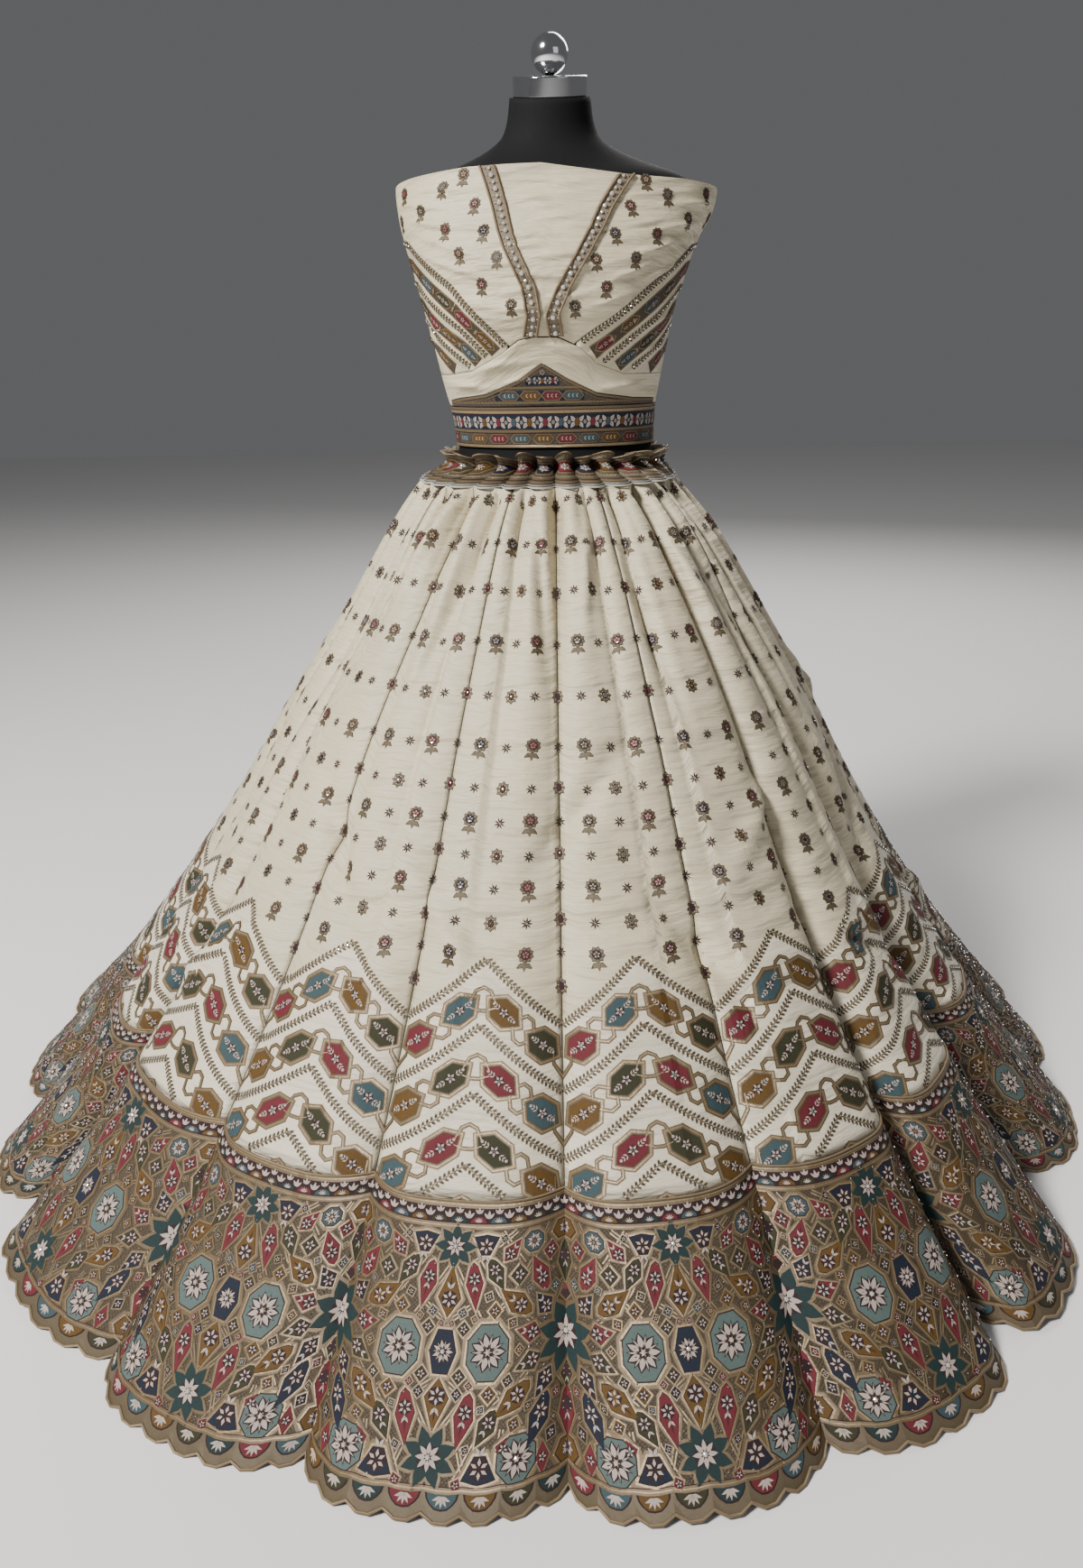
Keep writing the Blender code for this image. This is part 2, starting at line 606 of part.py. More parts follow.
BLACK = ((0.012, 0.012, 0.014), 0.7, 0.0)
CHROME = ((0.75, 0.75, 0.76), 0.12, 1.0)
GREY_METAL = ((0.05, 0.05, 0.055), 0.45, 0.0)
IVORY = ((0.74, 0.70, 0.60), 0.75, 0.0)
STRIPED = ((0.60, 0.50, 0.42), 0.75, 0.0)
ZARI = ((0.33, 0.26, 0.18), 0.6, 0.0)

COLUMNS = choli_columns()

build_form(BLACK)
build_stand(CHROME, GREY_METAL)
build_casing(ZARI)
build_skirt(IVORY, ZARI)
build_choli(IVORY, STRIPED, ZARI)
build_trim("trim_left", LEFT_TRIM, ZARI)
build_trim("trim_right", RIGHT_TRIM, ZARI)
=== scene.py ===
"""Dress the lehenga choli: silk, zari, embroidery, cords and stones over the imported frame.

Everything is in metres in the frame's own axes: +Z up, the wearer's front facing -Y.
"""

from __future__ import annotations

import json
import logging
import math
from collections.abc import Callable
from dataclasses import dataclass, field
from enum import Enum

import bpy
import numpy as np
from mathutils import Matrix, Vector

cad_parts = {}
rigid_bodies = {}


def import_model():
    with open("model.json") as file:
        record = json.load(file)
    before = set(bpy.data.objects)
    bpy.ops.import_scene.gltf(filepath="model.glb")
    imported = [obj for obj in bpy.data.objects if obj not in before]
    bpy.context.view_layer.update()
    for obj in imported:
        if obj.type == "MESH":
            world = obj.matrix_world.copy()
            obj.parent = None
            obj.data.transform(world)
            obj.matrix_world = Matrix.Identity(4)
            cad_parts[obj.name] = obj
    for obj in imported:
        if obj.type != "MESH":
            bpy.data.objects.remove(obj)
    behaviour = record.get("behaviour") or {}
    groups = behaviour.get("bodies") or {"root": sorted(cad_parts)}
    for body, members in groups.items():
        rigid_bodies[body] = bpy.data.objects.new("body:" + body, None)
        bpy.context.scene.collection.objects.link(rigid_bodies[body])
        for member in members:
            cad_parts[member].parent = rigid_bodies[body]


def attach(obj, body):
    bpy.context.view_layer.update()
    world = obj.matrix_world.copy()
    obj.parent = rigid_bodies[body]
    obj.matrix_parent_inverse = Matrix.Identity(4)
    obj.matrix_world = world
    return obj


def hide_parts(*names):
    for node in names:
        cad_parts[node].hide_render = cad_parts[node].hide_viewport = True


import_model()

LOG = logging.getLogger("lehenga")
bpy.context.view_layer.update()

Point = tuple[float, float]
Outline2D = list[Point]
Curve = Callable[[np.ndarray], np.ndarray]
Socket = bpy.types.NodeSocket

# Cut of the skirt
KALIS = 20
KALI_DEG = 360.0 / KALIS
SKIRT_TOP = 0.8752
BORDER_TOP = 0.2045
HEM_Z = 0.0005
SCALLOPS = 8
SCALLOP_RISE = 0.008
SHELL_WALL = 0.0012
# Cloth taken off at a seam, and how far a border's head is set down from its kali
SEAM_GAP = 0.00025
BORDER_GAP = 0.0003
# Tone of the raw silk on its threads and between them, and of the ground under the chevrons
SILK_PALE = (0.70, 0.642, 0.512)
SILK_DEEP = (0.46, 0.405, 0.285)
CHEVRON_GROUND = (0.66, 0.595, 0.465)

# Height, then reach to the left, right, front and back at the fold crests
SKIRT_PROFILE = (
    (0.00, 0.835, 0.755, 0.890, 0.800),
    (0.12, 0.722, 0.655, 0.762, 0.695),
    (0.28, 0.596, 0.536, 0.622, 0.575),
    (0.44, 0.478, 0.437, 0.500, 0.462),
    (0.60, 0.375, 0.351, 0.392, 0.365),
    (0.72, 0.292, 0.280, 0.306, 0.287),
    (0.82, 0.229, 0.216, 0.231, 0.222),
    (0.85, 0.208, 0.190, 0.203, 0.195),
    (0.876, 0.187, 0.166, 0.172, 0.164),
)
SKIRT_SQUARENESS = 2.2
# Valley depth at the hem, seam swing and lobe lean in degrees, gather depth, hem lift
SKIRT_FOLDS = (
    (0.040, 0.0, -1.2, 1.00, 0.004),
    (0.042, 0.0, 2.6, 0.85, 0.000),
    (0.084, -0.4, -1.8, 1.15, 0.006),
    (0.112, 1.0, 4.2, 0.90, 0.000),
    (0.062, 3.2, 1.0, 1.10, 0.003),
    (0.055, 0.5, -2.4, 0.80, 0.000),
    (0.078, -0.8, 1.6, 1.20, 0.005),
    (0.060, 0.6, -1.0, 0.95, 0.000),
    (0.090, 0.0, 2.8, 1.05, 0.002),
    (0.052, -0.5, -2.0, 0.90, 0.000),
    (0.070, 0.4, 1.2, 1.15, 0.004),
    (0.058, 0.0, -2.6, 0.85, 0.000),
    (0.086, -0.9, 1.8, 1.00, 0.003),
    (0.064, 0.5, -1.4, 1.10, 0.000),
    (0.074, 0.0, 2.2, 0.95, 0.005),
    (0.056, 0.7, -1.6, 1.05, 0.000),
    (0.062, -0.6, 0.4, 0.90, 0.003),
    (0.082, -3.2, -2.8, 1.10, 0.006),
    (0.038, 0.0, -1.4, 0.85, 0.000),
    (0.040, 0.0, -1.6, 1.05, 0.003),
)
# Waist casing: height, mean reach left, right, front and back, ruffle half height
CASING_PROFILE = (
    (0.8740, 0.1840, 0.1640, 0.1690, 0.1610, 0.0045),
    (0.8762, 0.1820, 0.1630, 0.1660, 0.1580, 0.0050),
    (0.8865, 0.1640, 0.1565, 0.1430, 0.1350, 0.0070),
    (0.8975, 0.1464, 0.1474, 0.1169, 0.1099, 0.0078),
    (0.9095, 0.1540, 0.1530, 0.1240, 0.1160, 0.0100),
)
CASING_LOW = 0.8760
CASING_HIGH = 0.9095
GATHERS = 30
# Width against the mean, and height, of one ruffle after another
RUFFLES = (
    (1.00, 1.00), (0.86, 0.80), (1.12, 1.15), (0.95, 0.90), (1.08, 1.05),
    (0.90, 0.75), (1.15, 1.10), (0.92, 0.95), (1.02, 1.20), (1.00, 0.85),
)
# Choli: height, then reach to the left, right, front and back
CHOLI_PROFILE = (
    (0.905, 0.1340, 0.1360, 0.1050, 0.0980),
    (0.925, 0.1320, 0.1330, 0.1020, 0.0960),
    (0.955, 0.1360, 0.1340, 0.1050, 0.0960),
    (1.000, 0.1470, 0.1410, 0.1140, 0.1000),
    (1.050, 0.1580, 0.1500, 0.1340, 0.1060),
    (1.090, 0.1680, 0.1580, 0.1500, 0.1100),
    (1.130, 0.1780, 0.1720, 0.1500, 0.1140),
    (1.170, 0.1890, 0.1880, 0.1380, 0.1140),
    (1.200, 0.1950, 0.2050, 0.1240, 0.1120),
    (1.225, 0.1970, 0.2100, 0.1160, 0.1090),
    (1.250, 0.1960, 0.2080, 0.1110, 0.1060),
)
CHOLI_SQUARENESS = 2.4
CHOLI_WALL = 0.0018
BELT_BOTTOM = 0.9190
BELT_TOP = 0.9700
# Form: height, reach left, right, front and back, forward tilt of the ring
FORM_PROFILE = (
    (0.760, 0.1740, 0.1700, 0.1400, 0.1360, 0.0),
    (0.775, 0.1790, 0.1750, 0.1450, 0.1400, 0.0),
    (0.820, 0.1740, 0.1700, 0.1400, 0.1340, 0.0),
    (0.860, 0.1600, 0.1570, 0.1270, 0.1200, 0.0),
    (0.885, 0.1450, 0.1440, 0.1150, 0.1080, 0.0),
    (0.905, 0.1340, 0.1350, 0.1050, 0.0980, 0.0),
    (0.925, 0.1320, 0.1330, 0.1020, 0.0960, 0.0),
    (0.955, 0.1360, 0.1340, 0.1050, 0.0960, 0.0),
    (1.000, 0.1470, 0.1410, 0.1140, 0.1000, 0.0),
    (1.050, 0.1560, 0.1490, 0.1330, 0.1050, 0.0),
    (1.090, 0.1620, 0.1570, 0.1490, 0.1090, 0.0),
    (1.130, 0.1620, 0.1640, 0.1480, 0.1120, 0.0),
    (1.170, 0.1620, 0.1700, 0.1300, 0.1110, 0.0),
    (1.200, 0.1660, 0.1760, 0.1130, 0.1060, 0.0),
    (1.222, 0.1700, 0.1810, 0.1000, 0.0980, 0.0),
    (1.238, 0.1640, 0.1750, 0.0860, 0.0870, 0.0),
    (1.250, 0.1380, 0.1460, 0.0740, 0.0780, 0.02),
    (1.262, 0.1080, 0.1120, 0.0650, 0.0700, 0.05),
    (1.276, 0.0800, 0.0810, 0.0580, 0.0620, 0.09),
    (1.291, 0.0620, 0.0620, 0.0540, 0.0560, 0.13),
    (1.311, 0.0550, 0.0550, 0.0520, 0.0530, 0.17),
    (1.334, 0.0520, 0.0520, 0.0520, 0.0520, 0.213),
)
FORM_EASE = 0.0011
BALL_RADIUS = 0.023
CAP_PROFILE = (
    (0.0457, 0.0000), (0.0465, 0.0008), (0.0465, 0.0014), (0.0465, 0.0208), (0.0465, 0.0214),
    (0.0457, 0.0222), (0.0440, 0.0225), (0.0430, 0.0226), (0.0120, 0.0228),
)
NECK_TILT = 0.213
# Height where the form's section starts to round off, and how far up it goes on
SHOULDER_Z = 1.24
SHOULDER_RISE = 0.06

# Seam and edge lines of the choli: bearing in degrees from the front, height
TOP_EDGE = (
    (-180, 1.196), (-150, 1.199), (-120, 1.211), (-95, 1.229), (-78, 1.235),
    (-61, 1.240), (-45, 1.2445), (-26, 1.246), (-6, 1.2465), (21, 1.239),
    (43, 1.232), (64, 1.229), (78, 1.226), (95, 1.221), (120, 1.208),
    (150, 1.199), (180, 1.196),
)
MIDRIFF_TOP = (
    (-180, 1.008), (-64, 1.010), (-46.6, 1.014), (-28.7, 1.033), (-17.9, 1.049),
    (-10.8, 1.0525), (2.4, 1.0520), (13.2, 1.041), (24.4, 1.021), (41.5, 1.008),
    (70, 1.008), (180, 1.008),
)
PEAK_EDGE = (
    (-180, 0.9705), (-72.5, 0.9705), (-72, 0.9780), (-42, 0.9860), (-21.5, 1.0020),
    (-7, 1.0225), (8, 1.0040), (27, 0.9860), (51, 0.9790), (72, 0.9770),
    (72.5, 0.9705), (180, 0.9705),
)
LEFT_TRIM = (
    (-11.5, 1.0530), (-8.8, 1.0770), (-10.5, 1.1070), (-14.8, 1.1320),
    (-19.6, 1.1570), (-26.8, 1.2010), (-34.5, 1.2450),
)
RIGHT_TRIM = (
    (1.5, 1.0530), (-0.2, 1.0770), (4.6, 1.1060), (10.0, 1.1300),
    (16.2, 1.1550), (27.0, 1.1960), (39.0, 1.2330),
)
LEFT_DIAGONAL = ((-88, 1.1760), (-72.7, 1.1680), (-46.5, 1.1150), (-31.6, 1.0680), (-24, 1.0440))
RIGHT_DIAGONAL = ((12.2, 1.0455), (28.8, 1.0750), (45.8, 1.1110), (72, 1.1590), (88, 1.1660))
SIDE_BEARING = 88.0
INSERT_END = 72.0


class Thread(Enum):
    """The colours that the embroidery is worked in: base colour, roughness, metallic."""

    GOLD = ("gold_thread", (0.122, 0.083, 0.040), 0.40, 0.3)
    DULL_GOLD = ("dull_gold_thread", (0.050, 0.034, 0.016), 0.55, 0.2)
    AGED_GOLD = ("aged_gold_thread", (0.092, 0.068, 0.036), 0.48, 0.25)
    PALE_GOLD = ("pale_gold_thread", (0.235, 0.172, 0.098), 0.30, 0.4)
    ROSE = ("rose_silk", (0.108, 0.0105, 0.017), 0.62, 0.0)
    MUSTARD = ("mustard_silk", (0.088, 0.044, 0.006), 0.62, 0.0)
    OLIVE = ("olive_silk", (0.025, 0.025, 0.009), 0.65, 0.0)
    BLUE = ("blue_silk", (0.030, 0.058, 0.067), 0.62, 0.0)
    NAVY = ("navy_silk", (0.004, 0.009, 0.022), 0.62, 0.0)
    TEAL = ("deep_teal_silk", (0.007, 0.022, 0.023), 0.62, 0.0)
    PALE_TEAL = ("pale_teal_silk", (0.074, 0.108, 0.102), 0.62, 0.0)
    WHITE = ("white_thread", (0.38, 0.315, 0.28), 0.5, 0.0)
    MAROON = ("maroon_thread", (0.020, 0.006, 0.008), 0.65, 0.0)
    STONE = ("stone_thread", (0.16, 0.14, 0.11), 0.55, 0.1)


class Zari(Enum):
    """The gold grounds: base colour, paler thread and pitch of the lattice worked on them."""

    BORDER = ("border_zari", (0.028, 0.019, 0.009), (0.080, 0.057, 0.032), 0.0042)
    BELT = ("belt_zari", (0.10, 0.072, 0.042), (0.035, 0.038, 0.042), 0.005)
    TRIM = ("trim_net", (0.12, 0.085, 0.048), (0.30, 0.25, 0.18), 0.003)
    CASING = ("casing_cloth", (0.10, 0.078, 0.045), (0.24, 0.21, 0.16), 0.006)


@dataclass(frozen=True)
class Patch:
    """One flat piece of stitching: its outline, its thread and how far it stands off."""

    outline: tuple[Point, ...]
    thread: Thread
    lift: float


Motif = list[Patch]


def smooth_curve(keys: np.ndarray, values: np.ndarray) -> Curve:
    """A smooth curve through rising keys that never overshoots its rows.

    Args:
        keys: Rising places.
        values: The value at each place.

    Returns:
        A function of an array of places.
    """
    keys = np.asarray(keys, float)
    values = np.asarray(values, float)
    step = np.diff(keys)
    rise = np.diff(values) / step
    slope = np.zeros(len(keys))
    slope[0], slope[-1] = rise[0], rise[-1]
    for i in range(1, len(keys) - 1):
        if rise[i - 1] * rise[i] > 0.0:
            w1, w2 = 2.0 * step[i] + step[i - 1], step[i] + 2.0 * step[i - 1]
            slope[i] = (w1 + w2) / (w1 / rise[i - 1] + w2 / rise[i])

    def curve(x: np.ndarray) -> np.ndarray:
        """The value at each place.

        Args:
            x: Places between the first key and the last.

        Returns:
            The values there.
        """
        x = np.clip(x, keys[0], keys[-1])
        i = np.clip(np.searchsorted(keys, x, side="right") - 1, 0, len(step) - 1)
        s = (x - keys[i]) / step[i]
        a = values[i] * (1 + 2 * s) * (1 - s) ** 2 + values[i + 1] * s * s * (3 - 2 * s)
        return a + step[i] * (slope[i] * s * (1 - s) ** 2 - slope[i + 1] * s * s * (1 - s))

    return curve


def line_height(line: tuple, bearing: np.ndarray) -> np.ndarray:
    """Height of a seam line at a bearing in degrees."""
    rows = np.array(line, float)
    return np.interp(bearing, rows[:, 0], rows[:, 1])


@dataclass
class Outline:
    """A rounded section that changes with height, from a table of four reaches."""

    rows: tuple
    squareness: float

    def __post_init__(self) -> None:
        """Fit one smooth curve to each column of the table."""
        table = np.array(self.rows, float)
        self.curves = [smooth_curve(table[:, 0], table[:, i]) for i in range(1, table.shape[1])]

    def radius(self, bearing: np.ndarray, z: np.ndarray,
               squareness: np.ndarray | None = None) -> np.ndarray:
        """Radius at a bearing in radians from the front and a height.

        Args:
            bearing: Radians from the front.
            z: Heights.
            squareness: Power used instead of the outline's own.

        Returns:
            The radius at each place.
        """
        power = self.squareness if squareness is None else squareness
        left, right, front, back = [curve(z) for curve in self.curves[:4]]
        across, ahead = np.sin(bearing), np.cos(bearing)
        side = np.where(across < 0.0, left, right)
        depth = np.where(ahead > 0.0, front, back)
        total = np.abs(ahead / depth) ** power + np.abs(across / side) ** power
        return total ** (-1.0 / power)


def on_bearing(bearing: np.ndarray, radius: np.ndarray, z: np.ndarray) -> np.ndarray:
    """Points at a bearing, radius and height, stacked on the last axis."""
    z = np.broadcast_to(z, np.shape(radius))
    return np.stack([radius * np.sin(bearing), -radius * np.cos(bearing), z], axis=-1)


SKIRT = Outline(SKIRT_PROFILE, SKIRT_SQUARENESS)
CASING = Outline(CASING_PROFILE, CHOLI_SQUARENESS)
CHOLI = Outline(CHOLI_PROFILE, CHOLI_SQUARENESS)
FORM = Outline(FORM_PROFILE, CHOLI_SQUARENESS)


@dataclass
class ClothMap:
    """A lattice of points on worn cloth, on which flat stitching is laid.

    A place on it is a column and a row number, which may fall between lattice lines.
    """

    points: np.ndarray
    wraps: bool = False

    def __post_init__(self) -> None:
        """Work out the cloth's normals, pointing away from the wearer."""
        grid = self.points
        if self.wraps:
            across = np.roll(grid, -1, axis=1) - np.roll(grid, 1, axis=1)
        else:
            across = np.gradient(grid, axis=1)
        down = np.gradient(grid, axis=0)
        normals = np.cross(across, down)
        normals /= np.linalg.norm(normals, axis=2, keepdims=True) + 1e-12
        outward = np.sum(normals[:, :, :2] * grid[:, :, :2], axis=2)
        if np.mean(outward) < 0.0:
            normals = -normals
        self.normals = normals
        step = np.linalg.norm(np.roll(grid, -1, axis=1) - grid, axis=2)
        if not self.wraps:
            step[:, -1] = step[:, -2]
        self.across = (0.5 * (step + np.roll(step, 1, axis=1)))[..., None]
        self.down = np.linalg.norm(down, axis=2)[..., None]

    def _corner(self, grid: np.ndarray, row: np.ndarray, col: np.ndarray) -> np.ndarray:
        """Values of a lattice grid at whole rows and columns, held inside its edges.

        Args:
            grid: Grid of values on the lattice.
            row: Whole rows.
            col: Whole columns.

        Returns:
            The values.
        """
        rows, cols = self.points.shape[:2]
        row = np.clip(row, 0, rows - 1)
        col = np.mod(col, cols) if self.wraps else np.clip(col, 0, cols - 1)
        return grid[row, col]

    def blend(self, grid: np.ndarray, row: np.ndarray, col: np.ndarray) -> np.ndarray:
        """Values of a lattice grid between its lines.

        Args:
            grid: Grid of values on the lattice.
            row: Row places.
            col: Column places.

        Returns:
            The values at the places.
        """
        i, j = np.floor(row).astype(int), np.floor(col).astype(int)
        v, u = (row - i)[..., None], (col - j)[..., None]
        top = (1 - u) * self._corner(grid, i, j) + u * self._corner(grid, i, j + 1)
        low = (1 - u) * self._corner(grid, i + 1, j) + u * self._corner(grid, i + 1, j + 1)
        return (1 - v) * top + v * low

    def at(self, row: np.ndarray, col: np.ndarray, lift: np.ndarray) -> np.ndarray:
        """Points on the cloth, raised off it by lift.

        Args:
            row: Row places.
            col: Column places.
            lift: Height off the cloth at each.

        Returns:
            The points.
        """
        normal = self.blend(self.normals, row, col)
        normal /= np.linalg.norm(normal, axis=-1, keepdims=True)
        return self.blend(self.points, row, col) + normal * np.asarray(lift)[..., None]

    def stride(self, row: float, col: float) -> tuple[float, float]:
        """Metres that one column and one row cover at a place.

        Args:
            row: Row place on the cloth.
            col: Column place on the cloth.

        Returns:
            The width of a column and the height of a row.
        """
        spot = np.array([row]), np.array([col])
        across = float(self.blend(self.across, *spot)[0, 0])
        down = float(self.blend(self.down, *spot)[0, 0])
        return max(across, 1e-5), max(down, 1e-5)


def clip_half(shape: Outline2D, axis: int, limit: float, keep_above: bool) -> Outline2D:
    """The part of a convex outline on one side of a line across one axis.

    Args:
        shape: Corners in order.
        axis: 0 to cut across columns, 1 across rows.
        limit: Where the line is.
        keep_above: Whether the part beyond it is kept.

    Returns:
        Corners of the part, none where nothing is left.
    """
    out: Outline2D = []
    count = len(shape)
    for i in range(count):
        a, b = shape[i], shape[(i + 1) % count]
        inside_a = (a[axis] >= limit) == keep_above
        inside_b = (b[axis] >= limit) == keep_above
        if inside_a:
            out.append(a)
        if inside_a != inside_b:
            t = (limit - a[axis]) / (b[axis] - a[axis])
            out.append((a[0] + t * (b[0] - a[0]), a[1] + t * (b[1] - a[1])))
    return out


def link(item: bpy.types.Object) -> bpy.types.Object:
    """The object, put in the scene."""
    bpy.context.scene.collection.objects.link(item)
    return item


@dataclass
class Stitching:
    """Stitched patches gathered on one cloth map and turned into one mesh."""

    cloth: ClothMap
    low_row: float = 0.0
    high_row: float = 1e9
    whole: float = 1.0
    rows: list[float] = field(default_factory=list)
    cols: list[float] = field(default_factory=list)
    lifts: list[float] = field(default_factory=list)
    flats: list[Point] = field(default_factory=list)
    faces: list[tuple[int, ...]] = field(default_factory=list)
    threads: list[Thread] = field(default_factory=list)

    def lay(self, motif: Motif, row: float, col: float, turn: float = 0.0, size: float = 1.0) -> None:
        """Lay a motif's patches on the cloth, cut where they cross a lattice line.

        Args:
            motif: Patches in metres, x across and y down the cloth.
            row: Row place of the motif's origin.
            col: Column place of the motif's origin.
            turn: Angle in radians from the cloth's columns.
            size: Scale of the motif.
        """
        across, down = self.cloth.stride(row, col)
        c, s = math.cos(turn) * size, math.sin(turn) * size
        for patch in motif:
            placed = [
                (col + (c * x - s * y) / across, row + (s * x + c * y) / down)
                for x, y in patch.outline
            ]
            self.cut(placed, patch.thread, patch.lift, across, down)

    def cut(self, placed: Outline2D, thread: Thread, lift: float, across: float, down: float) -> None:
        """Cut one placed outline at the lattice lines and keep every piece.

        Args:
            placed: Outline in columns and rows.
            thread: The thread it is worked in.
            lift: Height off the cloth.
            across: Metres per column, for the stitch direction.
            down: Metres per row, for the stitch direction.
        """
        low, high = min(p[1] for p in placed), max(p[1] for p in placed)
        wide = max(p[0] for p in placed) - min(p[0] for p in placed)
        if max(wide, high - low) < self.whole and self.low_row <= low and high <= self.high_row:
            self.keep(placed, thread, lift, across, down)
            return
        low, high = max(low, self.low_row), min(high, self.high_row)
        if low >= high:
            return
        for i in range(math.floor(low), math.ceil(high)):
            strip = clip_half(placed, 1, max(i, self.low_row), True)
            strip = clip_half(strip, 1, min(i + 1, self.high_row), False) if len(strip) > 2 else []
            if len(strip) < 3:
                continue
            left = math.floor(min(p[0] for p in strip))
            right = math.ceil(max(p[0] for p in strip))
            for j in range(left, right):
                cell = clip_half(strip, 0, j, True) if left != right - 1 else strip
                if left != right - 1 and len(cell) > 2:
                    cell = clip_half(cell, 0, j + 1, False)
                if len(cell) > 2:
                    self.keep(cell, thread, lift, across, down)

    def keep(self, cell: Outline2D, thread: Thread, lift: float, across: float, down: float) -> None:
        """Keep one cut piece as a face, turned to face outward.

        Args:
            cell: Outline in columns and rows.
            thread: Thread that it is worked in.
            lift: Height off the cloth.
            across: Metres per column.
            down: Metres per row.
        """
        area = sum(a[0] * b[1] - b[0] * a[1] for a, b in zip(cell, cell[1:] + cell[:1]))
        if abs(area) < 1e-7:
            return
        if area > 0.0:
            cell = cell[::-1]
        start = len(self.rows)
        for col, row in cell:
            self.cols.append(col)
            self.rows.append(row)
            self.lifts.append(lift)
            self.flats.append((col * across, row * down))
        self.faces.append(tuple(range(start, start + len(cell))))
        self.threads.append(thread)

    def stripe(self, cols: range, low: float, high: float, thread: Thread, lift: float) -> None:
        """Lay a level stripe across some columns.

        Args:
            cols: The columns.
            low: Row of its upper edge.
            high: Row of its lower edge.
            thread: Thread that it is worked in.
            lift: Height off the cloth.
        """
        for j in cols:
            across, down = self.cloth.stride(low, j + 0.5)
            self.cut([(j, low), (j + 1, low), (j + 1, high), (j, high)], thread, lift, across, down)

    def mesh(self, name: str, finishes: FinishBook) -> None:
        """Make the gathered patches one object that rides with the dress, a slot per thread.

        Args:
            name: Name of the new object.
            finishes: Where the threads' finishes come from.
        """
        spots = self.cloth.at(np.array(self.rows), np.array(self.cols), np.array(self.lifts))
        data = bpy.data.meshes.new(name)
        data.from_pydata(spots.tolist(), [], self.faces)
        used = sorted({thread.name for thread in self.threads})
        for key in used:
            data.materials.append(finishes.thread(Thread[key]))
        index = {key: i for i, key in enumerate(used)}
        data.polygons.foreach_set("material_index", [index[t.name] for t in self.threads])
        data.polygons.foreach_set("use_smooth", [True] * len(self.faces))
        layer = data.uv_layers.new(name="Flat")
        layer.data.foreach_set("uv", np.array(self.flats, float).ravel())
        data.update()
        item = link(bpy.data.objects.new(name, data))
        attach(item, "root")
        LOG.info("%s: %d patches", name, len(self.faces))


# Height that each layer of stitching stands off the cloth
FLAT, LOW, MID, HIGH = 0.00030, 0.00055, 0.00080, 0.00105


def turned(points: Outline2D, x: float, y: float, turn: float) -> Outline2D:
    """Points turned about the origin, then moved to a place."""
    c, s = math.cos(turn), math.sin(turn)
    return [(x + c * px - s * py, y + s * px + c * py) for px, py in points]


def disc(x: float, y: float, rx: float, ry: float, thread: Thread, lift: float,
         turn: float = 0.0, sides: int = 8) -> Motif:
    """A round or oval patch.

    Args:
        x: Place across.
        y: Place down the cloth.
        rx: Half its width.
        ry: Half its height.
        thread: Thread that it is worked in.
        lift: Height off the cloth.
        turn: Angle in radians.
        sides: How many sides.

    Returns:
        The one patch.
    """
    ring = [
        (rx * math.cos(2 * math.pi * i / sides), ry * math.sin(2 * math.pi * i / sides))
        for i in range(sides)
    ]
    return [Patch(tuple(turned(ring, x, y, turn)), thread, lift)]


def leaf(x: float, y: float, length: float, width: float, turn: float, thread: Thread,
         lift: float) -> Motif:
    """A pointed leaf that starts at a place and runs along its turn.

    Args:
        x: Where its foot is across.
        y: Where its foot is down the cloth.
        length: From foot to tip.
        width: Across its widest part.
        turn: The way that it points, in radians.
        thread: Thread that it is worked in.
        lift: Height off the cloth.

    Returns:
        The one patch.
    """
    shape = [(0, 0), (0.3, -0.5), (0.65, -0.38), (1, 0), (0.65, 0.38), (0.3, 0.5)]
    if length < 0.0075:
        shape = [(0, 0), (0.42, -0.5), (1, 0), (0.42, 0.5)]
    shape = [(px * length, py * width) for px, py in shape]
    return [Patch(tuple(turned(shape, x, y, turn)), thread, lift)]


def star(x: float, y: float, rays: int, inner: float, outer: float, width: float,
         thread: Thread, lift: float, turn: float = 0.0) -> Motif:
    """Rays or petals around a place.

    Args:
        x: Place across.
        y: Place down the cloth.
        rays: How many rays.
        inner: Radius where they start.
        outer: Radius where they end.
        width: Width of one ray.
        thread: Thread that it is worked in.
        lift: Height off the cloth.
        turn: Angle of the first ray.

    Returns:
        One patch for each ray.
    """
    patches: Motif = []
    for i in range(rays):
        a = turn + 2 * math.pi * i / rays
        patches += leaf(
            x + inner * math.cos(a), y + inner * math.sin(a), outer - inner, width, a, thread, lift
        )
    return patches


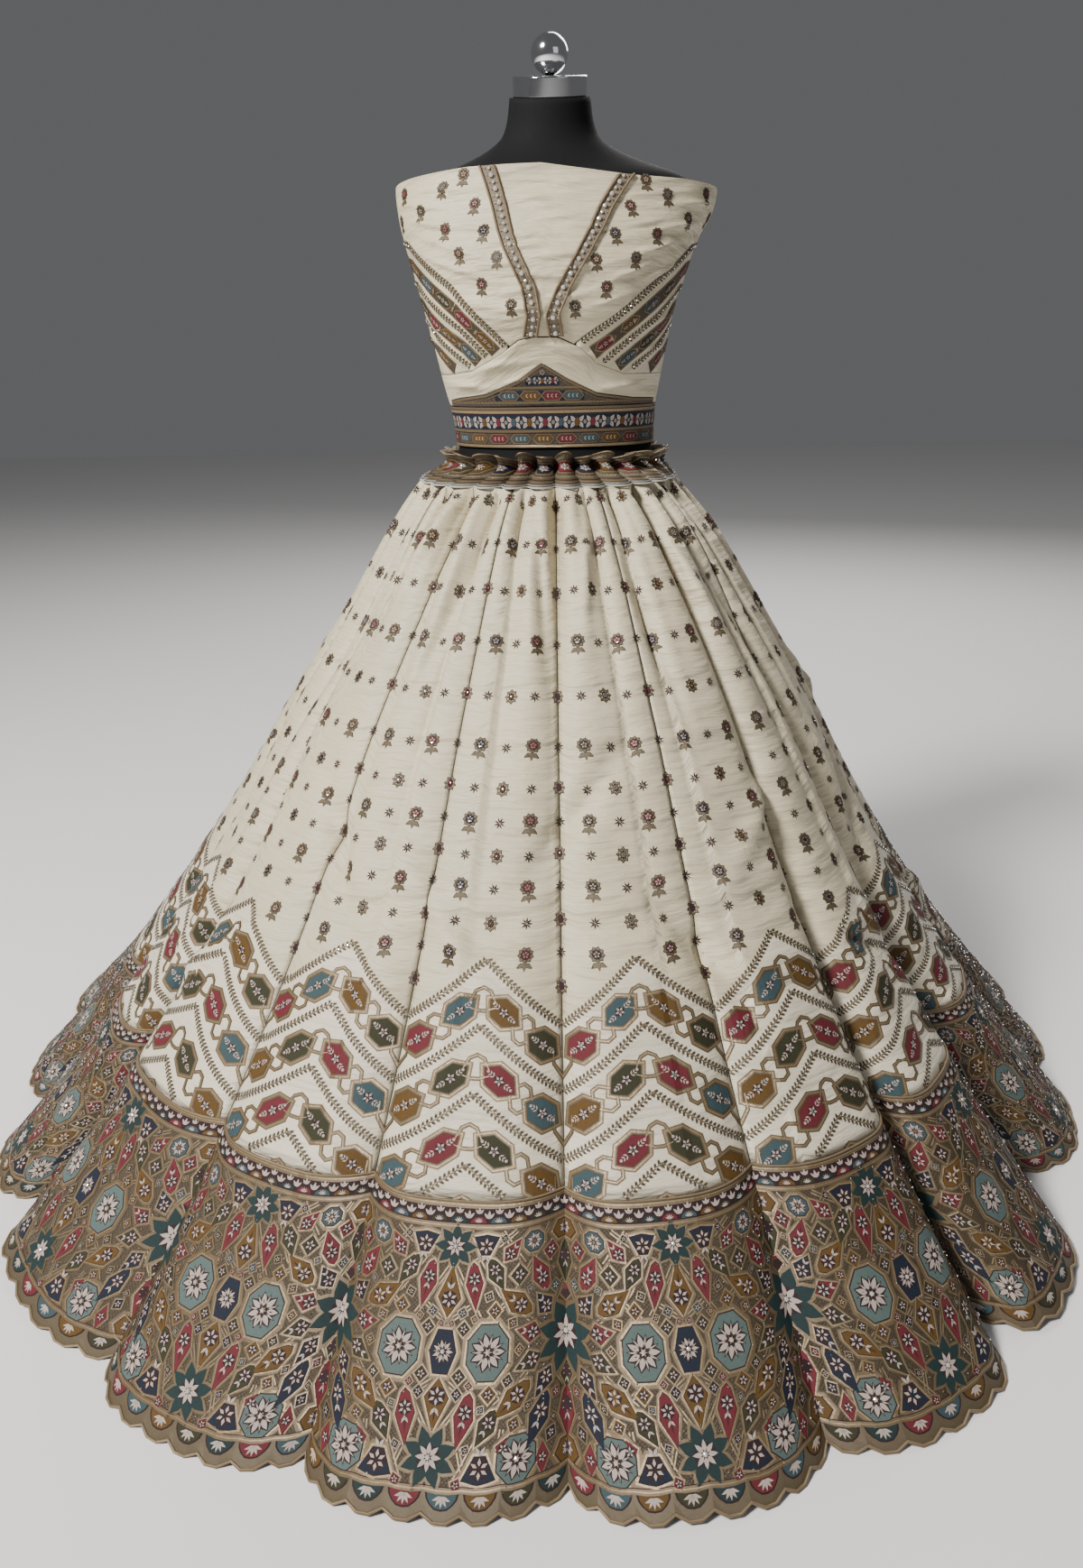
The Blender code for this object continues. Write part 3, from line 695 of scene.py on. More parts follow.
def outline_band(points: Outline2D, width: float, thread: Thread, lift: float,
                 closed: bool = True) -> Motif:
    """A band of even width along a line, inside it where the line is closed and clockwise.

    Args:
        points: Corners of the line.
        width: Width of the band, centred on the line.
        thread: Thread of the band.
        lift: Height off the cloth.
        closed: Whether the line ends where it starts.

    Returns:
        One patch for each stretch of the line.
    """
    count = len(points)
    sides: list[tuple[Point, Point]] = []
    for i, (x, y) in enumerate(points):
        before = points[i - 1] if closed or i > 0 else points[i]
        after = points[(i + 1) % count] if closed or i < count - 1 else points[i]
        ax, ay = x - before[0], y - before[1]
        bx, by = after[0] - x, after[1] - y
        la, lb = math.hypot(ax, ay) or 1.0, math.hypot(bx, by) or 1.0
        nx, ny = -(ay / la + by / lb), ax / la + bx / lb
        scale = (nx * nx + ny * ny) / 2 if min(math.hypot(ax, ay), math.hypot(bx, by)) > 0 else 0.5
        scale = max(scale, 0.35)
        half = width / 2
        if scale == 0.5:
            length = math.hypot(nx, ny) or 1.0
            nx, ny, scale = nx / length, ny / length, 1.0
        sides.append(((x + nx * half / scale, y + ny * half / scale),
                      (x - nx * half / scale, y - ny * half / scale)))
    last = count if closed else count - 1
    return [
        Patch((sides[i][0], sides[(i + 1) % count][0], sides[(i + 1) % count][1], sides[i][1]),
              thread, lift)
        for i in range(last)
    ]


def bar(half: float, width: float, thread: Thread, lift: float, off: float = 0.0) -> Motif:
    """A straight bar of thread either side of the origin, or moved off it."""
    return outline_band([(-half, off), (half, off)], width, thread, lift, False)


def regular(sides: int, rx: float, ry: float, turn: float = 0.0) -> Outline2D:
    """Corners of a regular polygon stretched to two radii.

    Args:
        sides: How many sides.
        rx: Radius across.
        ry: Radius down.
        turn: Angle of the first corner.

    Returns:
        The corners.
    """
    return [
        (rx * math.cos(turn + 2 * math.pi * i / sides), ry * math.sin(turn + 2 * math.pi * i / sides))
        for i in range(sides)
    ]


def shrunk(points: Outline2D, by: float) -> Outline2D:
    """A convex outline about its own middle, brought in by a distance.

    Args:
        points: Corners in order.
        by: Distance, less than 0 to grow it.

    Returns:
        The new corners.
    """
    cx = sum(p[0] for p in points) / len(points)
    cy = sum(p[1] for p in points) / len(points)
    out = []
    for x, y in points:
        reach = math.hypot(x - cx, y - cy) or 1.0
        keep = max(0.05, 1 - by / reach)
        out.append((cx + (x - cx) * keep, cy + (y - cy) * keep))
    return out


class MotifBook:
    """The flat motifs that the embroidery repeats, each around its own origin."""

    @staticmethod
    def bud(centre: Thread, petal: Thread) -> Motif:
        """A flower bud: a ring of gold petals round a coloured head, with leaves below.

        Args:
            centre: Thread of the head.
            petal: Thread of the small star on it.

        Returns:
            The patches.
        """
        patches: Motif = []
        for side, out, low, long, wide, turn in (
            (1, 0.0, 0.0040, 0.0115, 0.0040, 0.0), (1, 0.001, 0.0062, 0.0092, 0.0042, 0.85),
            (-1, 0.001, 0.0062, 0.0092, 0.0042, 0.85), (1, 0.001, 0.0090, 0.0076, 0.0034, 1.25),
            (-1, 0.001, 0.0090, 0.0076, 0.0034, 1.25),
        ):
            way = math.pi / 2 - side * turn
            x = side * out
            patches += leaf(x, low - 0.0004, long + 0.0008, wide + 0.0010, way, Thread.MAROON, FLAT)
            patches += leaf(x, low, long, wide, way, Thread.AGED_GOLD, LOW)
        patches += star(0, -0.003, 9, 0.0042, 0.0096, 0.0068, Thread.MAROON, LOW, 0.2)
        patches += star(0, -0.003, 9, 0.0046, 0.0090, 0.0048, Thread.AGED_GOLD, MID, 0.2)
        patches += disc(0, -0.003, 0.0055, 0.0055, Thread.MAROON, MID + 0.0001)
        patches += disc(0, -0.003, 0.0045, 0.0045, centre, MID + 0.0002)
        return patches + star(0, -0.003, 5, 0.0010, 0.0042, 0.0018, petal, HIGH + 0.0001, -1.57)

    @staticmethod
    def oval_flower(centre: Thread) -> Motif:
        """A tall flower of gold petals round a dark oval.

        Args:
            centre: Thread of the small star in the oval.

        Returns:
            The patches.
        """
        patches: Motif = []
        for i in range(8):
            a = 2 * math.pi * i / 8
            x, y = 0.0030 * math.cos(a), 0.0042 * math.sin(a)
            patches += leaf(x, y, 0.0058, 0.0054, a, Thread.MAROON, FLAT)
            patches += leaf(x, y, 0.0052, 0.0040, a, Thread.AGED_GOLD, LOW)
        patches += disc(0, 0, 0.0038, 0.0050, Thread.MAROON, MID)
        return patches + star(0, 0, 6, 0.0008, 0.0038, 0.0018, centre, HIGH)

    @staticmethod
    def asterisk() -> Motif:
        """A small star of eight dark rays."""
        return star(0, 0, 8, 0.0004, 0.0072, 0.0019, Thread.MAROON, LOW)

    @staticmethod
    def sprig(size: float = 1.0) -> Motif:
        """A five-petalled white flower with a leafy stalk either side.

        Args:
            size: Scale of the sprig.

        Returns:
            The patches.
        """
        white, wide, berry = Thread.WHITE, 0.0024 * size, 0.0021 * size
        patches = disc(0, 0, 0.0070 * size, 0.0060 * size, Thread.MAROON, MID)
        patches += star(0, 0, 5, 0.0014 * size, 0.0068 * size, 0.0035 * size, white, HIGH, -1.57)
        for side in (-1, 1):
            stalk = [(side * 0.006 * size, 0), (side * 0.018 * size, 0)]
            patches += outline_band(stalk, 0.0012, Thread.MAROON, MID, False)
            for place, long in ((0.009, 0.0062), (0.0135, 0.0050)):
                for tilt in (-1, 1):
                    turn = (0 if side > 0 else math.pi) + side * tilt * 0.75
                    patches += leaf(side * place * size, 0, long * size, wide, turn, white, HIGH)
            patches += disc(side * 0.0195 * size, 0, berry, berry, white, HIGH, sides=6)
        return patches

    @staticmethod
    def long_hexagon(length: float, width: float, ground: Thread, edge: float = 1.0) -> Motif:
        """A hexagon with square points at both ends, double edged, with a sprig inside.

        Args:
            length: From point to point.
            width: From side to side.
            ground: Thread of the inside.
            edge: Scale of the gold edges.

        Returns:
            The hexagon's patches.
        """
        def shape(cut: float) -> Outline2D:
            """The hexagon's corners, brought in by a cut.

            Args:
                cut: How far in from the edge.

            Returns:
                The corners.
            """
            h = width / 2 - cut
            e = length / 2 - cut * 1.41
            return [(-e, 0), (-e + h, -h), (e - h, -h), (e, 0), (e - h, h), (-e + h, h)]

        patches: Motif = [Patch(tuple(shape(0.0)), Thread.GOLD, FLAT)]
        patches += outline_band(shape(0.0022 * edge), 0.0016 * edge, Thread.PALE_GOLD, LOW)
        patches += [Patch(tuple(shape(0.0042 * edge)), Thread.DULL_GOLD, LOW)]
        patches += [Patch(tuple(shape(0.0050 * edge)), ground, LOW + 0.0001)]
        return patches + MotifBook.sprig(0.80 * (length - 0.012 * edge) / 0.045)

    @staticmethod
    def link(along: float, across: float, peak: int = 0) -> Motif:
        """The pair of gold bars that join two hexagons, or the arch or point that turns a band.

        Args:
            along: Length along the band.
            across: Width across the band.
            peak: 0 between hexagons, 1 for an arch over the peak, -1 for a point at the seam.

        Returns:
            The link's patches.
        """
        a, h = along / 2, across / 2
        if peak:
            lines = (
                [(-a, h * 0.3), (-a * 0.55, -h * 0.7), (0, -h), (a * 0.55, -h * 0.7), (a, h * 0.3)],
                [(-a, h * 0.7), (-a * 0.3, h * 0.95), (a * 0.3, h * 0.95), (a, h * 0.7)],
            )
            if peak < 0:
                lines = ([(-a, -h), (-a * 0.95, 0), (0, h), (a * 0.95, 0), (a, -h)],)
        else:
            lines = (
                [(-a, -h * 0.45), (-a * 0.55, -h), (a * 0.2, -h), (a, -h * 0.35)],
                [(-a, h * 0.35), (-a * 0.2, h), (a * 0.55, h), (a, h * 0.45)],
            )
        patches: Motif = []
        for line in lines:
            patches += outline_band(line, 0.0044, Thread.OLIVE, FLAT, False)
            patches += outline_band(line, 0.0034, Thread.GOLD, LOW, False)
            patches += outline_band(line, 0.0011, Thread.PALE_GOLD, MID, False)
        return patches

    @staticmethod
    def leaf_step(step: float) -> Motif:
        """One step of the leafy line: a gold pair, a dark pair and a stalk.

        Args:
            step: Length of the stalk.

        Returns:
            The patches.
        """
        patches = bar(step / 2, 0.0011, Thread.DULL_GOLD, FLAT)
        for side in (-1, 1):
            patches += leaf(-0.0022, side * 0.0003, 0.0060, 0.0034, side * 0.70, Thread.AGED_GOLD, LOW)
            patches += leaf(-0.0004, side * 0.0004, 0.0052, 0.0028, side * 1.30, Thread.DULL_GOLD, LOW)
        return patches + leaf(-0.0020, 0.0, 0.0036, 0.0020, 0.0, Thread.PALE_GOLD, MID)

    @staticmethod
    def cell(points: Outline2D, ground: Thread, band: float = 0.0030) -> Motif:
        """A filled cell with a raised double gold edge.

        Args:
            points: Corners in order.
            ground: Thread of the inside.
            band: Width of the edge.

        Returns:
            The patches.
        """
        patches: Motif = [Patch(tuple(shrunk(points, -band * 1.5)), Thread.DULL_GOLD, FLAT)]
        patches += [Patch(tuple(shrunk(points, -band * 1.1)), Thread.GOLD, FLAT + 0.0001)]
        patches += outline_band(shrunk(points, -band * 0.1), band * 0.45, Thread.PALE_GOLD, LOW)
        patches += [Patch(tuple(shrunk(points, band * 0.25)), Thread.MAROON, LOW + 0.0001)]
        return patches + [Patch(tuple(shrunk(points, band * 0.5)), ground, MID)]

    @staticmethod
    def bloom(size: float, petals: int, petal: Thread, heart: Thread) -> Motif:
        """A round flower with a coloured heart, edged petals and fine points between them.

        Args:
            size: Radius of the flower.
            petals: How many petals.
            petal: Thread of the petals.
            heart: Thread of the heart and its rays.

        Returns:
            The patches.
        """
        turn, edge, over = math.pi / petals, MID + 0.0001, HIGH + 0.0002
        patches = star(0, 0, petals, size * 0.18, size * 1.08, size * 0.60, Thread.MAROON, edge)
        patches += star(0, 0, petals, size * 0.30, size * 1.02, size * 0.20, Thread.MAROON, edge, turn)
        patches += star(0, 0, petals, size * 0.24, size * 0.98, size * 0.34, petal, MID + 0.0003)
        patches += star(0, 0, petals, size * 0.34, size * 0.90, size * 0.09, petal, MID + 0.0002, turn)
        patches += star(0, 0, petals, size * 0.34, size * 0.74, size * 0.07, heart, HIGH)
        patches += disc(0, 0, size * 0.30, size * 0.30, heart, HIGH + 0.0001)
        return patches + star(0, 0, 6, size * 0.02, size * 0.25, size * 0.09, Thread.PALE_GOLD, over)

    @staticmethod
    def fan(width: float, depth: float, ground: Thread) -> Motif:
        """A fan or arch: a half round of colour with white rays and a gold rim.

        Args:
            width: From end to end.
            depth: From the foot to the rim.
            ground: Thread of the inside.

        Returns:
            The patches.
        """
        arc = [
            (-math.cos(math.pi * i / 8) * width / 2, -math.sin(math.pi * i / 8) * depth)
            for i in range(9)
        ]
        patches: Motif = [Patch(tuple(arc), Thread.MAROON, FLAT)]
        patches += [Patch(tuple((x * 0.88, y * 0.88) for x, y in arc), ground, LOW)]
        for i in range(5):
            turn = -math.pi * (0.14 + 0.18 * i)
            patches += leaf(0, -depth * 0.10, depth * 0.72, depth * 0.22, turn, Thread.WHITE, MID)
        return patches


# Half a wave in the weave and stitch patterns
SHADER_PI = 3.1416


class Graph:
    """Adds and wires the nodes of one tree."""

    def __init__(self, tree: bpy.types.NodeTree) -> None:
        """Work on a tree, emptied first."""
        self.tree = tree
        tree.nodes.clear()

    def add(self, kind: str, **settings: object) -> bpy.types.Node:
        """A node of a kind with its settings; names in capitals set its input values.

        Args:
            kind: Blender's name of the node.
            settings: Its settings and input values.

        Returns:
            The node.
        """
        node = self.tree.nodes.new(kind)
        for key, value in settings.items():
            if key[0].isupper():
                node.inputs[key.replace("_", " ")].default_value = value
            else:
                setattr(node, key, value)
        return node

    def wire(self, source: Socket, target: Socket) -> None:
        """Link an output to an input."""
        self.tree.links.new(source, target)

    def maths(self, operation: str, first: Socket | float, second: Socket | float | None = None,
              third: Socket | float | None = None) -> Socket:
        """The result of a maths node on values or outputs.

        Args:
            operation: The node's operation.
            first: First value.
            second: Second value.
            third: Third value.

        Returns:
            The result's socket.
        """
        node = self.add("ShaderNodeMath", operation=operation)
        for socket, given in zip(node.inputs, (first, second, third)):
            if given is None:
                continue
            if isinstance(given, (int, float)):
                socket.default_value = given
            else:
                self.wire(given, socket)
        return node.outputs[0]

    def mix(self, factor: Socket | float, first: Socket | tuple, second: Socket | tuple) -> Socket:
        """Two colours mixed by a factor; each may be an output or a plain colour.

        Args:
            factor: Share of the second.
            first: First colour.
            second: Second colour.

        Returns:
            The colour's socket.
        """
        node = self.add("ShaderNodeMix", data_type="RGBA")
        for place, given in ((0, factor), (6, first), (7, second)):
            socket = node.inputs[place]
            if isinstance(given, (int, float)):
                socket.default_value = given
            elif isinstance(given, tuple):
                socket.default_value = (*given, 1.0)
            else:
                self.wire(given, socket)
        return node.outputs[2]

    def noise(self, vector: Socket, scale: float, detail: float = 2.0) -> Socket:
        """A noise texture's value over a vector.

        Args:
            vector: Socket with the place.
            scale: Scale of the texture.
            detail: Its detail.

        Returns:
            The value's socket.
        """
        node = self.add("ShaderNodeTexNoise", Scale=scale, Detail=detail)
        self.wire(vector, node.inputs["Vector"])
        return node.outputs[0]

    def flat(self, layer: str = "Flat") -> Socket:
        """The place on the flat cloth, or in another layer of places."""
        return self.add("ShaderNodeUVMap", uv_map=layer).outputs[0]

    def parts(self, vector: Socket) -> list[Socket]:
        """The three parts of a vector.

        Args:
            vector: Socket with the vector.

        Returns:
            The parts' sockets.
        """
        node = self.add("ShaderNodeSeparateXYZ")
        self.wire(vector, node.inputs[0])
        return list(node.outputs)

    def finished(self, source: Socket, given: bpy.types.Node, out: bpy.types.Node) -> None:
        """Make instances real, give them the finish that comes in, and send them out.

        Args:
            source: Socket with the instances.
            given: The tree's input node.
            out: The tree's output node.
        """
        real = self.add("GeometryNodeRealizeInstances")
        self.wire(source, real.inputs[0])
        finish = self.add("GeometryNodeSetMaterial")
        self.wire(real.outputs[0], finish.inputs[0])
        self.wire(given.outputs["Finish"], finish.inputs["Material"])
        self.wire(finish.outputs[0], out.inputs[0])

    def stretched(self, vector: Socket, x: float, y: float, z: float = 1.0) -> Socket:
        """A vector scaled along each axis.

        Args:
            vector: Socket with the place.
            x: Scale along the first axis.
            y: Along the second.
            z: Along the third.

        Returns:
            The scaled vector's socket.
        """
        node = self.add("ShaderNodeVectorMath", operation="MULTIPLY")
        self.wire(vector, node.inputs[0])
        node.inputs[1].default_value = (x, y, z)
        return node.outputs[0]


def shared_group(name: str, inputs: dict[str, float], outputs: tuple[str, ...]
                 ) -> tuple[Graph, bpy.types.Node, bpy.types.Node]:
    """A new shader group with float inputs and outputs.

    Args:
        name: Name of the group.
        inputs: Default value of each input.
        outputs: Names of the outputs.

    Returns:
        The group's graph, its input node and its output node.
    """
    tree = bpy.data.node_groups.new(name, "ShaderNodeTree")
    for key, value in inputs.items():
        socket = tree.interface.new_socket(key, in_out="INPUT", socket_type="NodeSocketFloat")
        socket.default_value = value
    for key in outputs:
        tree.interface.new_socket(key, in_out="OUTPUT", socket_type="NodeSocketFloat")
    graph = Graph(tree)
    return graph, graph.add("NodeGroupInput"), graph.add("NodeGroupOutput")


@dataclass
class FinishBook:
    """Every material of the dress, made once and handed out by name."""

    made: dict[str, bpy.types.Material] = field(default_factory=dict)

    def __post_init__(self) -> None:
        """Build the groups that the finishes share."""
        self.slub = self._slub_group()
        self.stitch = self._stitch_group()
        self.drift = self._drift_group()

    @staticmethod
    def _slub_group() -> bpy.types.NodeTree:
        """Raw silk: uneven threads across the cloth and a fine weave.

        Returns:
            The group.
        """
        g, given, out = shared_group("SilkSlub", {"Thread Pitch": 0.0011, "Slub": 1.0}, ("Tone", "Height"))
        flat = g.flat()
        rows = g.noise(g.stretched(flat, 22.0, 1500.0), 1.0, 3.0)
        long = g.noise(g.stretched(flat, 5.0, 420.0), 1.0, 2.0)
        pitch = g.maths("DIVIDE", 2 * SHADER_PI, given.outputs[0])
        part = g.parts(flat)
        warp = g.maths("SINE", g.maths("MULTIPLY", part[0], pitch))
        weft = g.maths("SINE", g.maths("MULTIPLY", part[1], pitch))
        weave = g.maths("MULTIPLY_ADD", g.maths("MULTIPLY", warp, weft), 0.12, 0.5)
        slubs = g.maths("MULTIPLY", g.maths("SUBTRACT", g.maths("ADD", rows, long), 1.0), given.outputs[1])
        tone = g.maths("MULTIPLY_ADD", slubs, 1.6, 0.5)
        g.wire(tone, out.inputs[0])
        g.wire(g.maths("ADD", weave, slubs), out.inputs[1])
        return g.tree

    @staticmethod
    def _stitch_group() -> bpy.types.NodeTree:
        """Close stitches that run across the cloth, each a little off the last; its tone is lighter on each
        stitch's crown, and the finishes paint highlight and shade from it.

        Returns:
            The group.
        """
        g, given, out = shared_group("StitchRelief", {"Stitch": 0.0006, "Slant": 0.7}, ("Tone", "Height"))
        flat = g.flat()
        part = g.parts(flat)
        wander = g.noise(g.stretched(flat, 380.0, 380.0), 1.0, 2.0)
        along = g.maths("MULTIPLY_ADD", part[1], given.outputs[1], part[0])
        turns = g.maths("MULTIPLY_ADD", wander, 2.2, g.maths("DIVIDE", along, given.outputs[0]))
        ridge = g.maths("ABSOLUTE", g.maths("SINE", g.maths("MULTIPLY", turns, SHADER_PI)))
        # Tone: lighter on each stitch's crown and darker between stitches, with random wander; the finishes
        # use it as painted highlight and painted shade
        g.wire(g.maths("MULTIPLY_ADD", ridge, 0.55, g.maths("MULTIPLY", wander, 0.6)), out.inputs[0])
        g.wire(ridge, out.inputs[1])
        return g.tree

    @staticmethod
    def _drift_group() -> bpy.types.NodeTree:
        """Slow change of tone over a piece, from age and handling.

        Returns:
            The group.
        """
        g, given, out = shared_group("ToneDrift", {"Size": 0.14}, ("Tone", "Fine"))
        place = g.add("ShaderNodeTexCoord").outputs["Object"]
        broad = g.add("ShaderNodeTexNoise", Detail=3.0)
        g.wire(place, broad.inputs["Vector"])
        g.wire(g.maths("DIVIDE", 1.0, given.outputs[0]), broad.inputs["Scale"])
        g.wire(broad.outputs[0], out.inputs[0])
        g.wire(g.noise(place, 900.0, 2.0), out.inputs[1])
        return g.tree

    def _start(self, name: str, **settings: float
               ) -> tuple[bpy.types.Material, Graph, bpy.types.Node]:
        """A new material, its graph and its surface node.

        Args:
            name: Name of the material.
            settings: Input values of the surface node.

        Returns:
            All three.
        """
        material = bpy.data.materials.new(name)
        material.use_nodes = True
        g = Graph(material.node_tree)
        surface = g.add("ShaderNodeBsdfPrincipled", **settings)
        g.wire(surface.outputs[0], g.add("ShaderNodeOutputMaterial").inputs[0])
        self.made[name] = material
        return material, g, surface

    @staticmethod
    def _bump(g: Graph, surface: bpy.types.Node, height: Socket, strength: float,
              distance: float) -> None:
        """Feed a height to the surface's normal.

        Args:
            g: The material's graph.
            surface: The material's surface node.
            height: Socket with the height.
            strength: Strength of the relief.
            distance: Its depth in metres.
        """
        bump = g.add("ShaderNodeBump", Strength=strength, Distance=distance)
        g.wire(height, bump.inputs["Height"])
        g.wire(bump.outputs[0], surface.inputs["Normal"])

    @staticmethod
    def _coloured(g: Graph, surface: bpy.types.Node, base: Socket, rough: Socket) -> None:
        """Feed a colour and a roughness to the surface."""
        g.wire(base, surface.inputs["Base Color"])
        g.wire(rough, surface.inputs["Roughness"])

    def thread(self, thread: Thread) -> bpy.types.Material:
        """The finish of one embroidery thread, with a painted highlight on each stitch's crown and painted
        shade between stitches.

        Args:
            thread: The thread.

        Returns:
            The material.
        """
        name, colour, roughness, metallic = thread.value
        if name in self.made:
            return self.made[name]
        gloss = 0.5 if metallic else 0.22
        material, g, surface = self._start(name, Metallic=metallic, Specular_IOR_Level=gloss)
        stitch = g.add("ShaderNodeGroup", node_tree=self.stitch, Stitch=0.00065)
        drift = g.add("ShaderNodeGroup", node_tree=self.drift, Size=0.03)
        # Shaded and lit copies of the thread's colour: painted shade between stitches and painted highlight
        # on their crowns
        dark = tuple(c * 0.55 for c in colour)
        light = tuple(min(1.0, c * 1.35 + 0.01) for c in colour)
        worked = g.mix(stitch.outputs[0], dark, light)
        base = g.mix(g.maths("MULTIPLY", drift.outputs[0], 0.45), worked, colour)
        rough = g.maths("MULTIPLY_ADD", drift.outputs[1], 0.2, roughness - 0.1)
        self._coloured(g, surface, base, rough)
        self._bump(g, surface, stitch.outputs[1], 0.5, 0.0002)
        return material

    def silk(self, name: str, chevrons: bool = False) -> bpy.types.Material:
        """Raw silk with a low sheen; the skirt's has a plainer ground below its first chevron.

        Args:
            name: Name of the material.
            chevrons: Whether it has that plainer ground.

        Returns:
            The material.
        """
        if name in self.made:
            return self.made[name]
        material, g, surface = self._start(name, Sheen_Weight=0.06, Sheen_Roughness=0.4)
        slub = g.add("ShaderNodeGroup", node_tree=self.slub)
        drift = g.add("ShaderNodeGroup", node_tree=self.drift, Size=0.16)
        base = g.mix(g.maths("MULTIPLY", slub.outputs[0], 0.75), SILK_DEEP, SILK_PALE)
        warm = tuple(c * f for c, f in zip(SILK_PALE, (0.93, 0.87, 0.72)))
        base = g.mix(g.maths("MULTIPLY", drift.outputs[0], 0.75), base, warm)
        if chevrons:
            part = g.parts(g.flat("Panel"))
            off = g.maths("ABSOLUTE", g.maths("MULTIPLY_ADD", part[0], 2.0, -1.0))
            line = g.maths("MULTIPLY_ADD", off, CHEVRON_RISE, CHEVRON_PEAK)
            below = g.maths("MULTIPLY", g.maths("SUBTRACT", part[1], line), 400.0)
            mask = g.add("ShaderNodeClamp")
            g.wire(below, mask.inputs[0])
            base = g.mix(mask.outputs[0], base, CHEVRON_GROUND)
        self._coloured(g, surface, base, g.maths("MULTIPLY_ADD", drift.outputs[1], 0.14, 0.33))
        flat = g.flat()
        crumple = g.noise(g.stretched(flat, 9.0, 46.0), 1.0, 4.0)
        ripple = g.noise(g.stretched(flat, 3.2, 15.0), 1.0, 2.0)
        folds = g.maths("ADD", g.maths("MULTIPLY", crumple, 30.0), g.maths("MULTIPLY", ripple, 50.0))
        self._bump(g, surface, g.maths("ADD", folds, slub.outputs[1]), 0.8, 0.00045)
        return material

    def zari(self, ground: Zari) -> bpy.types.Material:
        """Gold ground worked all over with fine thread and a small lattice of paler thread, with painted
        shade in the grooves between stitches.

        Args:
            ground: The gold ground.

        Returns:
            The material.
        """
        name, gold, grey, cell = ground.value
        if name in self.made:
            return self.made[name]
        material, g, surface = self._start(name, Metallic=0.25)
        stitch = g.add("ShaderNodeGroup", node_tree=self.stitch, Stitch=0.0008, Slant=0.0)
        drift = g.add("ShaderNodeGroup", node_tree=self.drift, Size=0.05)
        flat = g.flat()
        part = g.parts(flat)
        plus = g.maths("ADD", part[0], part[1])
        minus = g.maths("SUBTRACT", part[0], part[1])
        turn = 2 * SHADER_PI / cell
        lattice = g.maths(
            "MULTIPLY",
            g.maths("ABSOLUTE", g.maths("SINE", g.maths("MULTIPLY", plus, turn / 2))),
            g.maths("ABSOLUTE", g.maths("SINE", g.maths("MULTIPLY", minus, turn / 2))),
        )
        pale = g.maths("SMOOTH_MIN", g.maths("MULTIPLY", lattice, 1.3), 1.0, 0.1)
        worked = g.mix(pale, gold, grey)
        # A shaded copy of the worked colour: painted shade in the grooves between stitches
        dark = g.mix(0.5, worked, (0.05, 0.035, 0.02))
        base = g.mix(stitch.outputs[0], dark, worked)
        base = g.mix(g.maths("MULTIPLY", drift.outputs[0], 0.3), base, grey)
        self._coloured(g, surface, base, g.maths("MULTIPLY_ADD", drift.outputs[1], 0.25, 0.35))
        height = g.maths("ADD", stitch.outputs[1], g.maths("MULTIPLY", lattice, 1.5))
        self._bump(g, surface, height, 0.6, 0.0003)
        return material

    def jersey(self) -> bpy.types.Material:
        """The form's matt black stretch cover.

        Returns:
            The material.
        """
        material, g, surface = self._start("black_jersey", Specular_IOR_Level=0.18)
        drift = g.add("ShaderNodeGroup", node_tree=self.drift, Size=0.09)
        place = g.add("ShaderNodeTexCoord").outputs["Object"]
        ribs = g.noise(g.stretched(place, 900.0, 900.0, 2200.0), 1.0, 2.0)
        base = g.mix(drift.outputs[0], (0.0030, 0.0030, 0.0036), (0.0070, 0.0068, 0.0076))
        base = g.mix(g.maths("MULTIPLY", ribs, 0.5), base, (0.012, 0.012, 0.013))
        self._coloured(g, surface, base, g.maths("MULTIPLY_ADD", drift.outputs[1], 0.2, 0.72))
        self._bump(g, surface, ribs, 0.35, 0.0003)
        return material

    def metal(self, name: str, colour: tuple, roughness: float, coat: float = 0.0) -> bpy.types.Material:
        """Polished metal or foil with faint smudges in its gloss.

        Args:
            name: Name of the material.
            colour: Base colour.
            roughness: Roughness between its smudges.
            coat: Weight of a clear coat.

        Returns:
            The material.
        """
        material, g, surface = self._start(name, Metallic=1.0, Coat_Weight=coat)
        drift = g.add("ShaderNodeGroup", node_tree=self.drift, Size=0.02)
        dim = tuple(c * 0.86 for c in colour)
        rough = g.maths("MULTIPLY_ADD", drift.outputs[0], roughness, roughness * 0.5)
        self._coloured(g, surface, g.mix(drift.outputs[0], dim, colour), rough)
        return material

    def gem(self, name: str, colour: tuple) -> bpy.types.Material:
        """A stone or bead: clear gloss over a coloured, slightly uneven body.

        Args:
            name: Name of the material.
            colour: Base colour.

        Returns:
            The material.
        """
        material, g, surface = self._start(name, Metallic=0.3, Coat_Weight=0.8)
        drift = g.add("ShaderNodeGroup", node_tree=self.drift, Size=0.004)
        dim = tuple(c * 0.6 for c in colour)
        rough = g.maths("MULTIPLY_ADD", drift.outputs[1], 0.1, 0.12)
        self._coloured(g, surface, g.mix(drift.outputs[0], dim, colour), rough)
        return material

    def paint(self) -> bpy.types.Material:
        """The stand base's satin paint, faintly pebbled.

        Returns:
            The material.
        """
        material, g, surface = self._start("base_paint")
        drift = g.add("ShaderNodeGroup", node_tree=self.drift, Size=0.06)
        base = g.mix(drift.outputs[0], (0.020, 0.020, 0.022), (0.034, 0.033, 0.036))
        self._coloured(g, surface, base, g.maths("MULTIPLY_ADD", drift.outputs[1], 0.16, 0.32))
        self._bump(g, surface, drift.outputs[1], 0.12, 0.0003)
        return material

